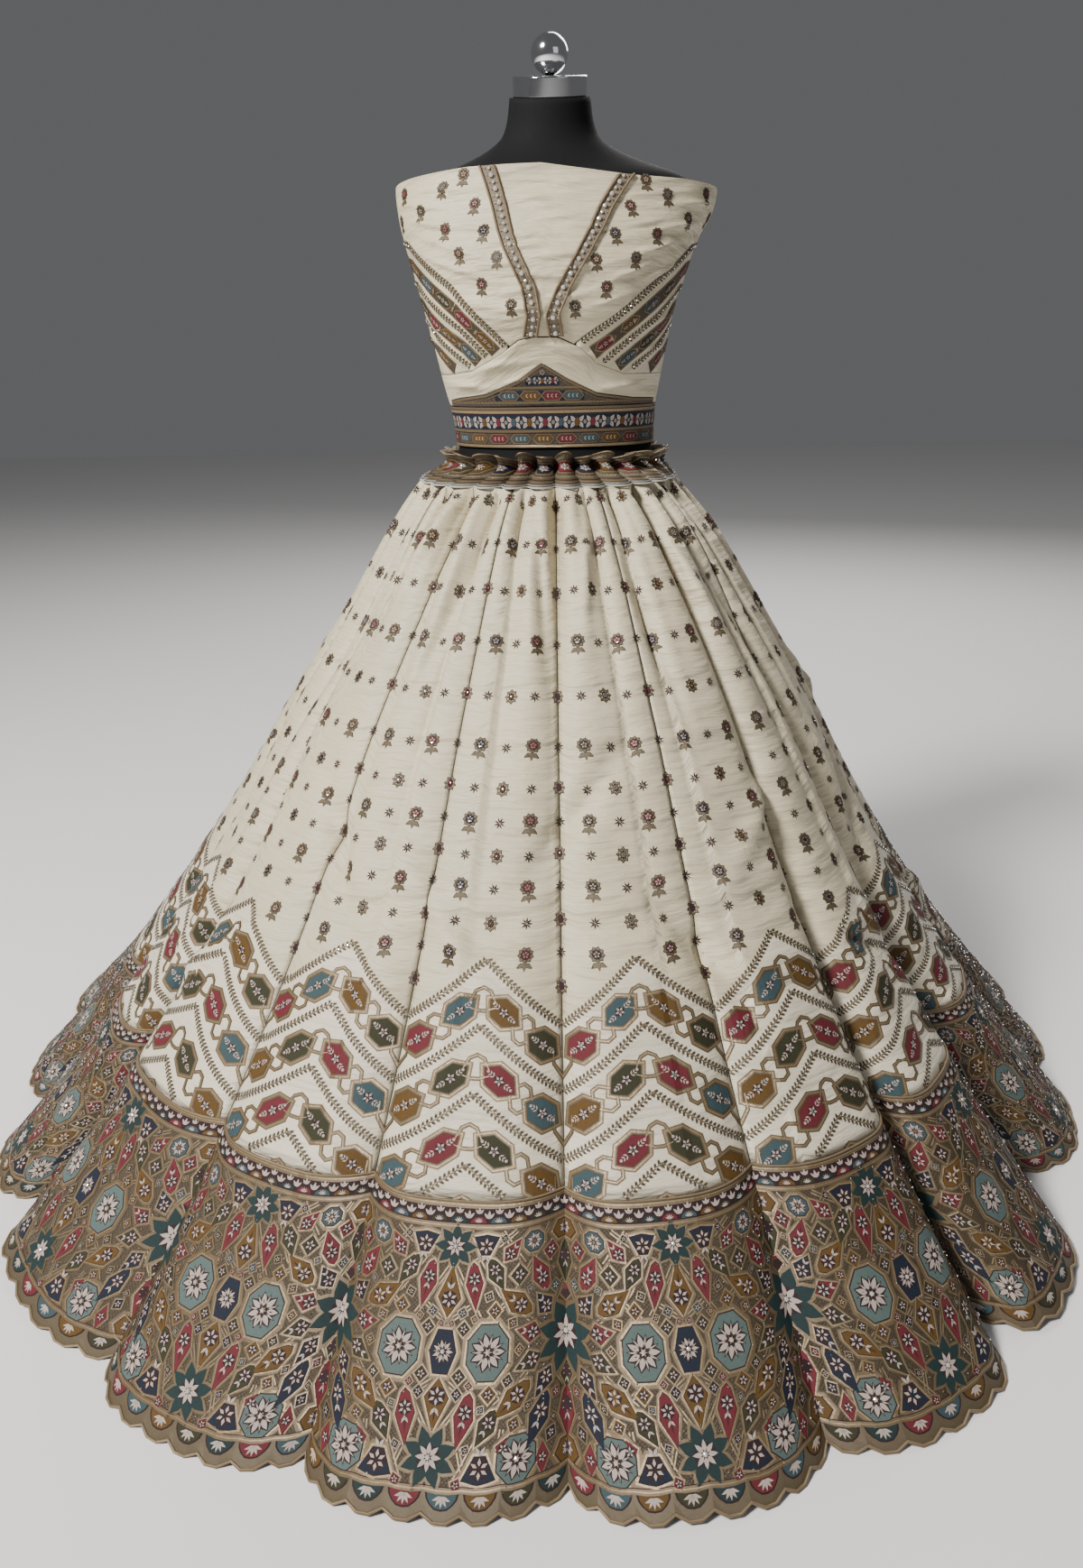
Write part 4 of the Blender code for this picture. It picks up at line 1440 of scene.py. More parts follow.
    def cord(self, name: str, colour: tuple, metallic: float) -> bpy.types.Material:
        """Twisted cord: slanting strands at full colour on their crowns, with painted shade in the grooves
        between them.

        Args:
            name: Name of the material.
            colour: Base colour.
            metallic: How metallic it is, from 0 to 1.

        Returns:
            The material.
        """
        material, g, surface = self._start(name, Metallic=metallic)
        place = g.add("ShaderNodeTexCoord").outputs["Object"]
        part = g.parts(place)
        across = g.maths("MULTIPLY", part[0], 2600.0)
        run = g.maths("ADD", across, g.maths("MULTIPLY", part[2], 3400.0))
        strand = g.maths("ABSOLUTE", g.maths("SINE", g.maths("MULTIPLY_ADD", part[1], 2100.0, run)))
        drift = g.add("ShaderNodeGroup", node_tree=self.drift, Size=0.03)
        # A shaded copy of the colour: painted shade in the grooves between strands; the drift also darkens
        # it at random
        dark = tuple(c * 0.45 for c in colour)
        worked = g.mix(strand, dark, colour)
        base = g.mix(g.maths("MULTIPLY", drift.outputs[0], 0.3), worked, dark)
        self._coloured(g, surface, base, g.maths("MULTIPLY_ADD", drift.outputs[1], 0.2, 0.35))
        self._bump(g, surface, strand, 0.7, 0.0003)
        return material


# Columns of the lattice across one kali, and its rows above and in the border
KALI_COLS = 24
KALI_ROWS = 66
BORDER_ROWS = 20

# Soft troughs (minus) and ridges (plus) pressed into the skirt:
# bearing in degrees, distance below the waist, half length, half width, slant in degrees, height
SKIRT_CREASES = (
    (-4, 0.14, 0.10, 0.009, 6, -0.0030), (9, 0.10, 0.08, 0.007, -8, 0.0024),
    (22, 0.19, 0.12, 0.010, 5, -0.0034), (-27, 0.17, 0.11, 0.009, -7, -0.0030),
    (38, 0.12, 0.09, 0.008, 10, 0.0026), (-43, 0.11, 0.08, 0.007, -9, 0.0026),
    (52, 0.25, 0.15, 0.011, 4, -0.0036), (-58, 0.24, 0.13, 0.012, -5, -0.0034),
    (3, 0.42, 0.10, 0.014, -38, -0.0032), (-16, 0.55, 0.09, 0.013, 42, 0.0028),
    (18, 0.60, 0.11, 0.015, 30, -0.0034), (30, 0.47, 0.08, 0.012, -48, 0.0028),
    (-34, 0.50, 0.12, 0.016, 35, -0.0036), (45, 0.66, 0.09, 0.014, 52, -0.0030),
    (-50, 0.68, 0.10, 0.013, -44, 0.0030), (62, 0.52, 0.12, 0.015, -25, -0.0034),
    (-70, 0.48, 0.11, 0.013, 28, -0.0032), (78, 0.72, 0.09, 0.014, 46, 0.0028),
    (95, 0.18, 0.12, 0.010, 5, -0.0032), (112, 0.44, 0.10, 0.014, -36, -0.0034),
    (128, 0.13, 0.09, 0.008, -9, 0.0026), (141, 0.62, 0.12, 0.015, 33, -0.0032),
    (158, 0.23, 0.13, 0.011, 6, -0.0034), (170, 0.50, 0.09, 0.013, -45, 0.0028),
    (-176, 0.15, 0.10, 0.009, -6, -0.0030), (-163, 0.70, 0.11, 0.014, 40, -0.0030),
    (-148, 0.34, 0.12, 0.013, -30, -0.0034), (-131, 0.12, 0.09, 0.008, 9, 0.0026),
    (-119, 0.57, 0.10, 0.014, 48, 0.0028), (-104, 0.21, 0.13, 0.011, -5, -0.0032),
    (-88, 0.75, 0.08, 0.013, -40, -0.0028), (86, 0.38, 0.09, 0.012, 38, 0.0026),
)

# How strongly the creases are pressed in, and how deep the gathers pull at the waist
SKIRT_CREASE_GAIN = 3.4
CHOLI_CREASE_GAIN = 2.3
PLEAT_DEPTH = 0.0225

# Rows of scattered motifs: distance below the waist, and whether it is a flower row
MOTIF_ROWS = (
    (0.016, True), (0.084, False), (0.147, True), (0.216, False), (0.283, True),
    (0.346, False), (0.395, True), (0.435, False), (0.473, True), (0.511, False),
    (0.549, True), (0.587, False), (0.625, True),
)
# Distances below the waist: first chevron at the seam, its rise and crown, the bands' pitch
CHEVRON_V = 0.669
CHEVRON_RISE = 0.080
CHEVRON_PEAK = 0.589
CHEVRON_PITCH = 0.072
# Distances below the waist: the border's head, its field, its foot band and the hem
BORDER_V = 0.841
FIELD_V = 0.867
FOOT_V = 1.0905
HEM_V = 1.109
# Hexagon colours of each band, seam to crown and crown to seam
CHEVRON_COLOURS = (
    ((Thread.ROSE, Thread.BLUE), (Thread.MUSTARD, Thread.OLIVE)),
    ((Thread.MUSTARD, Thread.OLIVE), (Thread.ROSE, Thread.BLUE)),
    ((Thread.BLUE, Thread.ROSE), (Thread.OLIVE, Thread.MUSTARD)),
    ((Thread.OLIVE, Thread.MUSTARD), (Thread.ROSE, Thread.BLUE)),
)


def shell_mesh(name: str, outer: np.ndarray, inner: np.ndarray, material: bpy.types.Material,
               flat: np.ndarray, extra: np.ndarray | None = None,
               closed: bool = False) -> bpy.types.Object:
    """A thin closed shell of cloth between two grids of points.

    Args:
        name: Name of the object.
        outer: Grid of the face side, rows going down and columns going round.
        inner: Grid of the back side.
        material: Its finish.
        flat: Grid of places on the flat cloth, in metres.
        extra: Grid of places within the panel, for masks.
        closed: Whether the last column meets the first.

    Returns:
        The new object.
    """
    rows, cols = outer.shape[:2]
    spots = np.concatenate([outer.reshape(-1, 3), inner.reshape(-1, 3)])
    steps = cols if closed else cols - 1
    i, j = np.meshgrid(np.arange(rows - 1), np.arange(steps), indexing="ij")
    i, j = i.ravel(), j.ravel()
    k = (j + 1) % cols
    front = np.stack([i * cols + j, (i + 1) * cols + j, (i + 1) * cols + k, i * cols + k], axis=1)
    back = front[:, ::-1] + rows * cols
    step = np.arange(steps)
    after = (step + 1) % cols
    last = (rows - 1) * cols
    shift = rows * cols
    head = np.stack([step, after, after + shift, step + shift], axis=1)
    foot = np.stack([after + last, step + last, step + last + shift, after + last + shift], axis=1)
    rims = [head, foot]
    if not closed:
        row = np.arange(rows - 1) * cols
        rims.append(np.stack([row + cols, row, row + shift, row + cols + shift], axis=1))
        row = row + cols - 1
        rims.append(np.stack([row, row + cols, row + cols + shift, row + shift], axis=1))
    faces = np.concatenate([front, back, *rims])
    data = bpy.data.meshes.new(name)
    data.from_pydata(spots.tolist(), [], faces.tolist())
    smooth = np.zeros(len(faces), bool)
    smooth[: 2 * len(front)] = True
    data.polygons.foreach_set("use_smooth", smooth)
    for layer_name, places in (("Flat", flat), ("Panel", extra)):
        if places is None:
            continue
        both = np.concatenate([places.reshape(-1, 2), places.reshape(-1, 2)])
        layer = data.uv_layers.new(name=layer_name)
        layer.data.foreach_set("uv", both[faces.ravel()].ravel())
    data.materials.append(material)
    data.update()
    return link(bpy.data.objects.new(name, data))


def lengths_along(grid: np.ndarray, axis: int) -> np.ndarray:
    """Distance walked along one axis of a grid of points, from its first line.

    Args:
        grid: Grid of points.
        axis: 0 down the columns, 1 along the rows.

    Returns:
        The distance at each point.
    """
    step = np.linalg.norm(np.diff(grid, axis=axis), axis=2)
    pad = ((1, 0), (0, 0)) if axis == 0 else ((0, 0), (1, 0))
    return np.pad(np.cumsum(step, axis=axis), pad)


def grid_area(grid: np.ndarray) -> float:
    """Area of a grid of points in square metres.

    Args:
        grid: Grid of points.

    Returns:
        The area.
    """
    a = np.cross(grid[1:, :-1] - grid[:-1, :-1], grid[:-1, 1:] - grid[:-1, :-1])
    b = np.cross(grid[1:, :-1] - grid[1:, 1:], grid[:-1, 1:] - grid[1:, 1:])
    return 0.5 * float(np.linalg.norm(a, axis=2).sum() + np.linalg.norm(b, axis=2).sum())


def declare_sheet(item: bpy.types.Object, node: str, grid: np.ndarray,
                  across: np.ndarray, down: np.ndarray) -> None:
    """Put a cloth shell on the dress in place of the CAD node it stands for, which is hidden, and log its
    flat size.

    Args:
        item: The shell.
        node: CAD node it stands for.
        grid: Its face side, once round where it closes.
        across: Distance along each row.
        down: Distance down each column.
    """
    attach(item, "root")
    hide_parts(node)
    width, length = float(across[:, -1].max()), float(down[-1].max())
    min(grid_area(grid), width * length)
    head, foot = across[0, -1], across[-1, -1]
    LOG.info("%s: flat %.3f m wide at its top, %.3f at its foot, %.3f long", item.name, head, foot, length)


@dataclass
class BeadBag:
    """Places of small hard pieces sewn on cloth, with the way each one faces."""

    places: list = field(default_factory=list)
    facings: list = field(default_factory=list)
    sizes: list = field(default_factory=list)

    def sew(self, cloth: ClothMap, row: float, col: float, lift: float, size: float) -> None:
        """Sew one piece on a cloth at a place.

        Args:
            cloth: The cloth.
            row: Row place on the cloth.
            col: Column place on the cloth.
            lift: Height off the cloth.
            size: Radius of the piece.
        """
        spot = np.array([row]), np.array([col])
        self.places.append(cloth.at(*spot, np.array([lift]))[0])
        self.facings.append(cloth.blend(cloth.normals, *spot)[0])
        self.sizes.append(size)


@dataclass
class SkirtCloth:
    """The worn surface of the skirt, shared by its kalis, borders and stitching."""

    wall: float = SHELL_WALL

    def __post_init__(self) -> None:
        """Set the lattice out from the folds, then press in the creases."""
        body = np.linspace(SKIRT_TOP, BORDER_TOP + SEAM_GAP, KALI_ROWS + 1)
        drop = np.linspace(0.0, 1.0, BORDER_ROWS + 1)[1:]
        share = np.linspace(0.0, 1.0, KALI_COLS + 1)
        dense = np.linspace(0.0, 1.0, 161)
        parts = []
        for kali in range(KALIS):
            high = np.broadcast_to(body[:, None], (len(body), len(dense)))
            low = high[-1][None] - (high[-1][None] - HEM_Z) * drop[:, None]
            fine = self.fold(kali, dense[None, :], np.concatenate([high, low]))
            walk = lengths_along(fine, 1)
            grid = np.zeros((len(fine), KALI_COLS, 3))
            for i, line in enumerate(fine):
                where = np.interp(share[:-1] * walk[i, -1], walk[i], dense)
                for axis in range(3):
                    grid[i, :, axis] = np.interp(where, dense, line[:, axis])
            parts.append(grid)
        points = np.concatenate(parts, axis=1)
        self.scallop(points, drop)
        down = lengths_along(points[:, KALI_COLS // 2: KALI_COLS // 2 + 1], 0)[:, 0]
        body = down[: KALI_ROWS + 1] / down[KALI_ROWS] * BORDER_V
        hem = (down[KALI_ROWS + 1:] - down[KALI_ROWS]) / (down[-1] - down[KALI_ROWS])
        self.v_rows = np.concatenate([body, BORDER_V + hem * (HEM_V - BORDER_V)])
        LOG.info("kali %.3f m long, border %.3f m deep", down[KALI_ROWS], down[-1] - down[KALI_ROWS])
        points = self.pressed(points)
        points[:, :, 2] = np.maximum(points[:, :, 2], HEM_Z)
        self.cloth = ClothMap(points, wraps=True)

    @staticmethod
    def scallop(points: np.ndarray, drop: np.ndarray) -> None:
        """Draw the hem up along the cloth between its rounded scallops.

        Args:
            points: The lattice, changed in place.
            drop: Share of the border's depth at each row.
        """
        share = np.arange(points.shape[1]) / KALI_COLS
        rise = SCALLOP_RISE * (1.0 - np.abs(np.sin(np.pi * SCALLOPS * share)) ** 0.7)
        way = points[KALI_ROWS:-1] - points[KALI_ROWS + 1:]
        way = way / np.linalg.norm(way, axis=2, keepdims=True)
        points[KALI_ROWS + 1:] += way * rise[None, :, None] * (drop**20)[:, None, None]

    @staticmethod
    def fold(kali: int, phase: np.ndarray, z: np.ndarray) -> np.ndarray:
        """Points on one kali's fold, from valley to crest to valley.

        Args:
            kali: Number of the kali, from 0.
            phase: Places across the kali, from 0 to 1.
            z: Heights.

        Returns:
            The points.
        """
        here, after = SKIRT_FOLDS[kali], SKIRT_FOLDS[(kali + 1) % KALIS]
        down = 1.0 - z / SKIRT_TOP
        growth = 0.05 + 0.95 * np.clip(down, 0.0, 1.0) ** 1.6
        ease = phase * phase * (3.0 - 2.0 * phase)
        depth = growth * (here[0] + (after[0] - here[0]) * ease)
        swing = growth * (here[1] + (after[1] - here[1]) * phase)
        arch = np.sin(np.pi * phase)
        lean = growth * here[2] * arch
        bearing = np.radians(KALI_DEG * (kali + phase) + swing + lean)
        lobe = 2.0 * arch - arch * arch
        gather = 0.0040 * here[3] * np.exp(-((down / 0.24) ** 2))
        tuck = 1.0 - np.abs(np.sin(2.0 * np.pi * phase)) ** 0.8
        radius = SKIRT.radius(bearing, z) - depth * (1.0 - lobe) - gather * tuck
        lift = here[4] * arch**2 * np.clip(1.0 - z / 0.16, 0.0, 1.0) ** 2
        return on_bearing(bearing, radius, z + lift)

    def pressed(self, points: np.ndarray) -> np.ndarray:
        """The lattice with every listed crease pressed in.

        Args:
            points: The lattice.

        Returns:
            The new lattice.
        """
        normals = ClothMap(points, wraps=True).normals
        bearing = np.degrees(np.arctan2(points[:, :, 0], -points[:, :, 1]))
        radius = np.linalg.norm(points[:, :, :2], axis=2)
        rise = np.zeros(bearing.shape)
        for place, v, length, width, slant, height in SKIRT_CREASES:
            x = np.radians((bearing - place + 180.0) % 360.0 - 180.0) * radius
            y = self.v_rows[:, None] - v
            c, s = math.cos(math.radians(slant)), math.sin(math.radians(slant))
            along, off = s * x + c * y, c * x - s * y
            rise += SKIRT_CREASE_GAIN * height * np.exp(-((along / length) ** 2) - (off / width) ** 2)
        rise -= self.pleats(bearing)
        return points + normals * rise[..., None]

    def pleats(self, bearing: np.ndarray) -> np.ndarray:
        """How far the gathers pull the cloth in below the waist, each running out at its own length.

        Args:
            bearing: Degrees from the front.

        Returns:
            The pull at every lattice point.
        """
        total = sum(RUFFLES[i % len(RUFFLES)][0] for i in range(GATHERS))
        place = np.mod(bearing, 360.0) / 360.0 * total
        pull = np.zeros(bearing.shape)
        start = 0.0
        for i in range(GATHERS):
            width, height = RUFFLES[i % len(RUFFLES)]
            share = (place - start) / width
            inside = (share >= 0.0) & (share < 1.0)
            reach = 0.13 + 0.36 * (0.5 + 0.5 * math.sin(i * 2.4)) ** 1.4
            start_in = np.clip(self.v_rows[:, None] / 0.016, 0.0, 1.0) ** 0.7
            fade = start_in * np.exp(-((self.v_rows[:, None] / reach) ** 1.5))
            tuck = 1.0 - np.sin(np.pi * np.clip(share, 0.0, 1.0)) ** 0.75
            pull = np.where(inside, PLEAT_DEPTH * height * tuck * fade, pull)
            start += width
        return pull

    def row_at(self, v: float) -> float:
        """Row number at a distance below the waist."""
        return float(np.interp(v, self.v_rows, np.arange(len(self.v_rows))))

    def section(self, kali: int, first: int, last: int) -> tuple[np.ndarray, np.ndarray]:
        """Face and back grids of one kali's rows, set in from its seams.

        Args:
            kali: Number of the kali, from 0.
            first: First row.
            last: Last row.

        Returns:
            Both grids.
        """
        cols = np.arange(kali * KALI_COLS, (kali + 1) * KALI_COLS + 1) % (KALIS * KALI_COLS)
        outer = self.cloth.points[first: last + 1][:, cols].copy()
        for edge, inward in ((0, 1), (-1, -2)):
            way = outer[:, inward] - outer[:, edge]
            outer[:, edge] += SEAM_GAP * way / np.linalg.norm(way, axis=1, keepdims=True)
        normals = ClothMap(outer).normals.copy()
        normals[0, :, 2] = 0.0
        normals[-1, :, 2] = 0.0
        normals /= np.linalg.norm(normals, axis=2, keepdims=True)
        inner = outer - normals * self.wall
        return outer, inner


@dataclass
class Skirt:
    """The flared skirt: twenty kalis, their borders and everything stitched on them."""

    surface: SkirtCloth
    finishes: FinishBook
    sequins: BeadBag
    stones: BeadBag
    bud_petals: tuple = (
        (Thread.ROSE, Thread.WHITE), (Thread.MUSTARD, Thread.WHITE), (Thread.STONE, Thread.MAROON),
        (Thread.NAVY, Thread.WHITE), (Thread.OLIVE, Thread.WHITE), (Thread.ROSE, Thread.STONE),
    )

    def panel(self, kali: int, border: bool) -> None:
        """One kali or one border section as a shell that stands for its CAD node.

        Args:
            kali: Number of the kali, from 0.
            border: Whether it is the border section.
        """
        first, last = (KALI_ROWS, KALI_ROWS + BORDER_ROWS) if border else (0, KALI_ROWS)
        outer, inner = self.surface.section(kali, first, last)
        if border:
            outer[0, :, 2] -= BORDER_GAP
            inner[0, :, 2] -= BORDER_GAP
        across, down = lengths_along(outer, 1), lengths_along(outer, 0)
        middle = across[:, -1:] / 2.0
        flat = np.stack([across - middle, down], axis=2)
        share = np.broadcast_to(np.linspace(0, 1, outer.shape[1])[None], across.shape)
        v = np.broadcast_to(self.surface.v_rows[first: last + 1, None], across.shape)
        node = f"{'border' if border else 'kali'}_{kali + 1:02d}"
        if border:
            look = self.finishes.zari(Zari.BORDER)
        else:
            look = self.finishes.silk("kali_silk", True)
        item = shell_mesh(f"{node}_cloth", outer, inner, look, flat, np.stack([share, v], axis=2))
        if border:
            declare_sheet(item, node, outer, across, down)
        else:
            declare_sheet(item, node, outer, across, down)

    @staticmethod
    def line_v(share: float, foot: float = CHEVRON_V) -> float:
        """Distance below the waist of a chevron line across a kali, from its foot at the seam."""
        return foot - CHEVRON_RISE * (1.0 - abs(2.0 * share - 1.0))

    def scatter(self, work: Stitching, kali: int) -> None:
        """Buds, flowers and asterisks in their alternating rows above the chevrons.

        Args:
            work: The stitching that it goes on.
            kali: Number of the kali, from 0.
        """
        for index, (v, flowers) in enumerate(MOTIF_ROWS):
            row = self.surface.row_at(v)
            for quarter in range(4):
                share = quarter / 4
                if v + 0.016 > self.line_v(share):
                    continue
                col = (kali + share) * KALI_COLS
                across, _ = work.cloth.stride(row, col)
                size = min(1.0, max(0.6, across * KALI_COLS * 0.25 / 0.019))
                centre, petal = self.bud_petals[(kali * 5 + index * 3 + quarter) % 6]
                if quarter % 2 == (0 if flowers else 1):
                    motif = MotifBook.oval_flower(centre) if flowers else MotifBook.bud(centre, petal)
                    work.lay(motif, row, col, 0.12 * math.sin(kali * 2.1 + index), size)
                    self.sequins.sew(work.cloth, row, col, 0.0012, 0.0010)
                else:
                    work.lay(MotifBook.asterisk(), row, col, 0.4 * index, size)

    def leafy_line(self, work: Stitching, start: tuple, stop: tuple, step: float = 0.0056) -> None:
        """A leafy line between two lattice places, with a sequin at every other step.

        Args:
            work: The stitching that it goes on.
            start: Row and column where it starts.
            stop: Row and column where it ends.
            step: Distance from one to the next.
        """
        (r0, c0), (r1, c1) = start, stop
        across, down = work.cloth.stride((r0 + r1) / 2, (c0 + c1) / 2)
        dx, dy = (c1 - c0) * across, (r1 - r0) * down
        count = max(2, round(math.hypot(dx, dy) / step))
        turn = math.atan2(dy, dx)
        for i in range(count):
            t = (i + 0.5) / count
            row, col = r0 + (r1 - r0) * t, c0 + (c1 - c0) * t
            if row > work.high_row - 0.3:
                continue
            work.lay(MotifBook.leaf_step(step), row, col, turn)
            if i % 2 == 0:
                self.sequins.sew(work.cloth, row, col, 0.0010, 0.0010)

    def chevrons(self, work: Stitching, kali: int) -> None:
        """Rising bands of linked hexagons between leafy lines, peaked at the kali's centre.

        Args:
            work: The stitching that it goes on.
            kali: Number of the kali, from 0.
        """
        first = kali * KALI_COLS
        top_row = self.surface.row_at
        for band in range(5):
            foot = CHEVRON_V + CHEVRON_PITCH * band
            peak = foot - CHEVRON_RISE
            if peak < BORDER_V:
                seam, crown = top_row(foot), top_row(peak)
                middle = first + KALI_COLS / 2
                self.leafy_line(work, (seam, first), (crown, middle))
                self.leafy_line(work, (crown, middle), (seam, first + KALI_COLS))
            if band == 4:
                break
            mid = foot + CHEVRON_PITCH / 2
            colours = CHEVRON_COLOURS[band]
            for share, ground in zip((0.125, 0.365, 0.635, 0.875), (*colours[0], *colours[1])):
                self.set_hexagon(work, first, share, self.line_v(share, mid), ground)
            for share in (0.0, 0.245, 0.5, 0.755):
                self.set_link(work, first, share, self.line_v(share, mid))

    def slope(self, work: Stitching, row: float, col: float, share: float) -> float:
        """Angle of the chevron's line at a place.

        Args:
            work: The stitching that it goes on.
            row: Row place on the cloth.
            col: Column place on the cloth.
            share: Place across the kali, from 0 to 1.

        Returns:
            The angle in radians.
        """
        across, _ = work.cloth.stride(row, col)
        rise = math.atan2(CHEVRON_RISE, across * KALI_COLS / 2)
        return -rise if share < 0.5 else rise

    def set_hexagon(self, work: Stitching, first: int, share: float, v: float, ground: Thread) -> None:
        """One long hexagon along the chevron's line.

        Args:
            work: The stitching that it goes on.
            first: Column where the kali starts.
            share: Place across the kali, from 0 to 1.
            v: Distance below the waist.
            ground: Thread of the inside.
        """
        if v > BORDER_V + 0.02:
            return
        row, col = self.surface.row_at(min(v, BORDER_V - 0.001)), first + share * KALI_COLS
        across, down = work.cloth.stride(row, col)
        if v > BORDER_V:
            row += (v - BORDER_V) / down
        half = math.hypot(across * KALI_COLS / 2, CHEVRON_RISE)
        length = min(0.062, half * 0.475)
        turn = self.slope(work, row, col, share)
        work.lay(MotifBook.long_hexagon(length, 0.036, ground, 1.15), row, col, turn)
        self.sequins.sew(work.cloth, min(row, work.high_row - 0.2), col, 0.0013, 0.0012)

    def set_link(self, work: Stitching, first: int, share: float, v: float) -> None:
        """One link ring: between hexagons, over the peak, or pinched at the seam.

        Args:
            work: The stitching that it goes on.
            first: Column where the kali starts.
            share: Place across the kali, from 0 to 1.
            v: Distance below the waist.
        """
        if v > BORDER_V + 0.01:
            return
        row, col = self.surface.row_at(min(v, BORDER_V)), first + share * KALI_COLS
        if share == 0.5:
            work.lay(MotifBook.link(0.030, 0.026, 1), row + 0.6, col)
        elif share == 0.0:
            work.lay(MotifBook.link(0.024, 0.034, -1), row + 0.2, col)
        else:
            work.lay(MotifBook.link(0.024, 0.028), row, col, self.slope(work, row, col, share))

    def stripe(self, work: Stitching, kali: int, low_v: float, high_v: float, thread: Thread,
               lift: float) -> None:
        """A level stripe across one kali.

        Args:
            work: The stitching that it goes on.
            kali: Number of the kali, from 0.
            low_v: Distance below the waist of its upper edge.
            high_v: That of its lower edge.
            thread: Thread that it is worked in.
            lift: Height off the cloth.
        """
        cols = range(kali * KALI_COLS, (kali + 1) * KALI_COLS)
        work.stripe(cols, self.surface.row_at(low_v), self.surface.row_at(high_v), thread, lift)

    def seam(self, work: Stitching, kali: int, first: int, last: int) -> None:
        """The dark line worked down a seam.

        Args:
            work: The stitching that it goes on.
            kali: Number of the kali, from 0.
            first: First row.
            last: Row after the last.
        """
        col = kali * KALI_COLS
        for row in range(first, last):
            across, down = work.cloth.stride(row + 0.5, col)
            half = min(0.00055 / across, 0.45)
            corners = [(col - half, row), (col + half, row), (col + half, row + 1), (col - half, row + 1)]
            work.cut(corners, Thread.OLIVE, FLAT, across, down)

    def fans(self, work: Stitching, kali: int, v: float, count: int, depth: float, down: bool) -> None:
        """A row of small coloured fans across one kali.

        Args:
            work: The stitching that it goes on.
            kali: Number of the kali, from 0.
            v: Distance below the waist of their feet.
            count: How many.
            depth: From foot to rim.
            down: Whether they open towards the hem.
        """
        tones = (Thread.ROSE, Thread.BLUE, Thread.MUSTARD, Thread.OLIVE, Thread.TEAL)
        for i in range(count):
            col = (kali + (i + 0.5) / count) * KALI_COLS
            row = self.surface.row_at(v)
            across, _ = work.cloth.stride(row, col)
            width = across * KALI_COLS / count * 0.90
            motif = MotifBook.fan(width, depth, tones[(i + kali * count) % 5])
            work.lay(motif, row, col, math.pi if down else 0.0)

    def border_work(self, kali: int) -> None:
        """The border's field of cells, mirrored about the kali's centre, and its edge bands.

        Args:
            kali: Number of the kali, from 0.
        """
        work = Stitching(self.surface.cloth, KALI_ROWS, KALI_ROWS + BORDER_ROWS, 1.6)
        for cell in BORDER_CELLS + BORDER_FILLERS:
            on_seam = cell.share == HALF_FIELD
            for side in (-1,) if on_seam or not cell.share else (-1, 1):
                share = 0.5 + side * cell.share / HALF_FIELD * 0.5
                row = self.surface.row_at(FIELD_V + 0.002 + cell.v)
                col = (kali + share) * KALI_COLS
                across, down = work.cloth.stride(row, (kali + 0.5) * KALI_COLS)
                size = CELL_SCALE * min(1.12, max(0.80, across * KALI_COLS / (2.0 * HALF_FIELD)))
                work.lay(cell.motif(), row, col, math.radians(cell.turn) * side, size)
                if cell.half_width > 0.0075:
                    for x, y in cell.corners()[::2]:
                        self.sequins.sew(work.cloth, min(row + y * size / down, work.high_row - 0.1),
                                         col + x * size / across, 0.0010, 0.0010)
                if cell.stone:
                    self.stones.sew(work.cloth, row, col, 0.0015, cell.stone)
                elif cell.shape == "long":
                    self.sequins.sew(work.cloth, row, col, 0.0016, 0.0012)
        self.lattice(work, kali)
        for low, high in ((FIELD_V - 0.005, FIELD_V), (FOOT_V - 0.003, FOOT_V + 0.0015)):
            self.stripe(work, kali, low, high, Thread.GOLD, LOW)
            middle = (low + high) / 2
            self.stripe(work, kali, middle - 0.0005, middle + 0.0005, Thread.PALE_GOLD, MID)
            self.stripe(work, kali, low - 0.0008, low, Thread.MAROON, LOW)
        self.stripe(work, kali, BORDER_V, BORDER_V + 0.0062, Thread.GOLD, LOW)
        self.stripe(work, kali, BORDER_V + 0.0024, BORDER_V + 0.0036, Thread.PALE_GOLD, MID)
        self.stripe(work, kali, BORDER_V + 0.0062, FIELD_V - 0.0058, Thread.MAROON, FLAT)
        self.stripe(work, kali, FOOT_V + 0.0015, HEM_V, Thread.AGED_GOLD, FLAT - 0.0001)
        self.lilies(work, kali, 11)
        self.fans(work, kali, FIELD_V - 0.0062, 11, 0.0072, False)
        self.fans(work, kali, FOOT_V + 0.0018, SCALLOPS, 0.0138, True)
        work.mesh(f"border_{kali + 1:02d}_embroidery", self.finishes)

    def lilies(self, work: Stitching, kali: int, count: int) -> None:
        """White lily heads between the fans of the border's top band.

        Args:
            work: The stitching that it goes on.
            kali: Number of the kali, from 0.
            count: How many.
        """
        row = self.surface.row_at(BORDER_V + 0.0118)
        for i in range(count):
            for share, size in ((0.0, 1.0), (0.5, 0.8)):
                col = (kali + (i + share) / count) * KALI_COLS
                foot = 0.0040 * size
                motif = leaf(0, foot, 0.0085 * size, 0.0034, -1.57, Thread.WHITE, MID)
                for side in (-1, 1):
                    motif += leaf(0, foot, 0.0080 * size, 0.0030, -1.57 + side * 0.75, Thread.WHITE, MID)
                work.lay(motif, row - (1.0 - size) * 1.4, col)

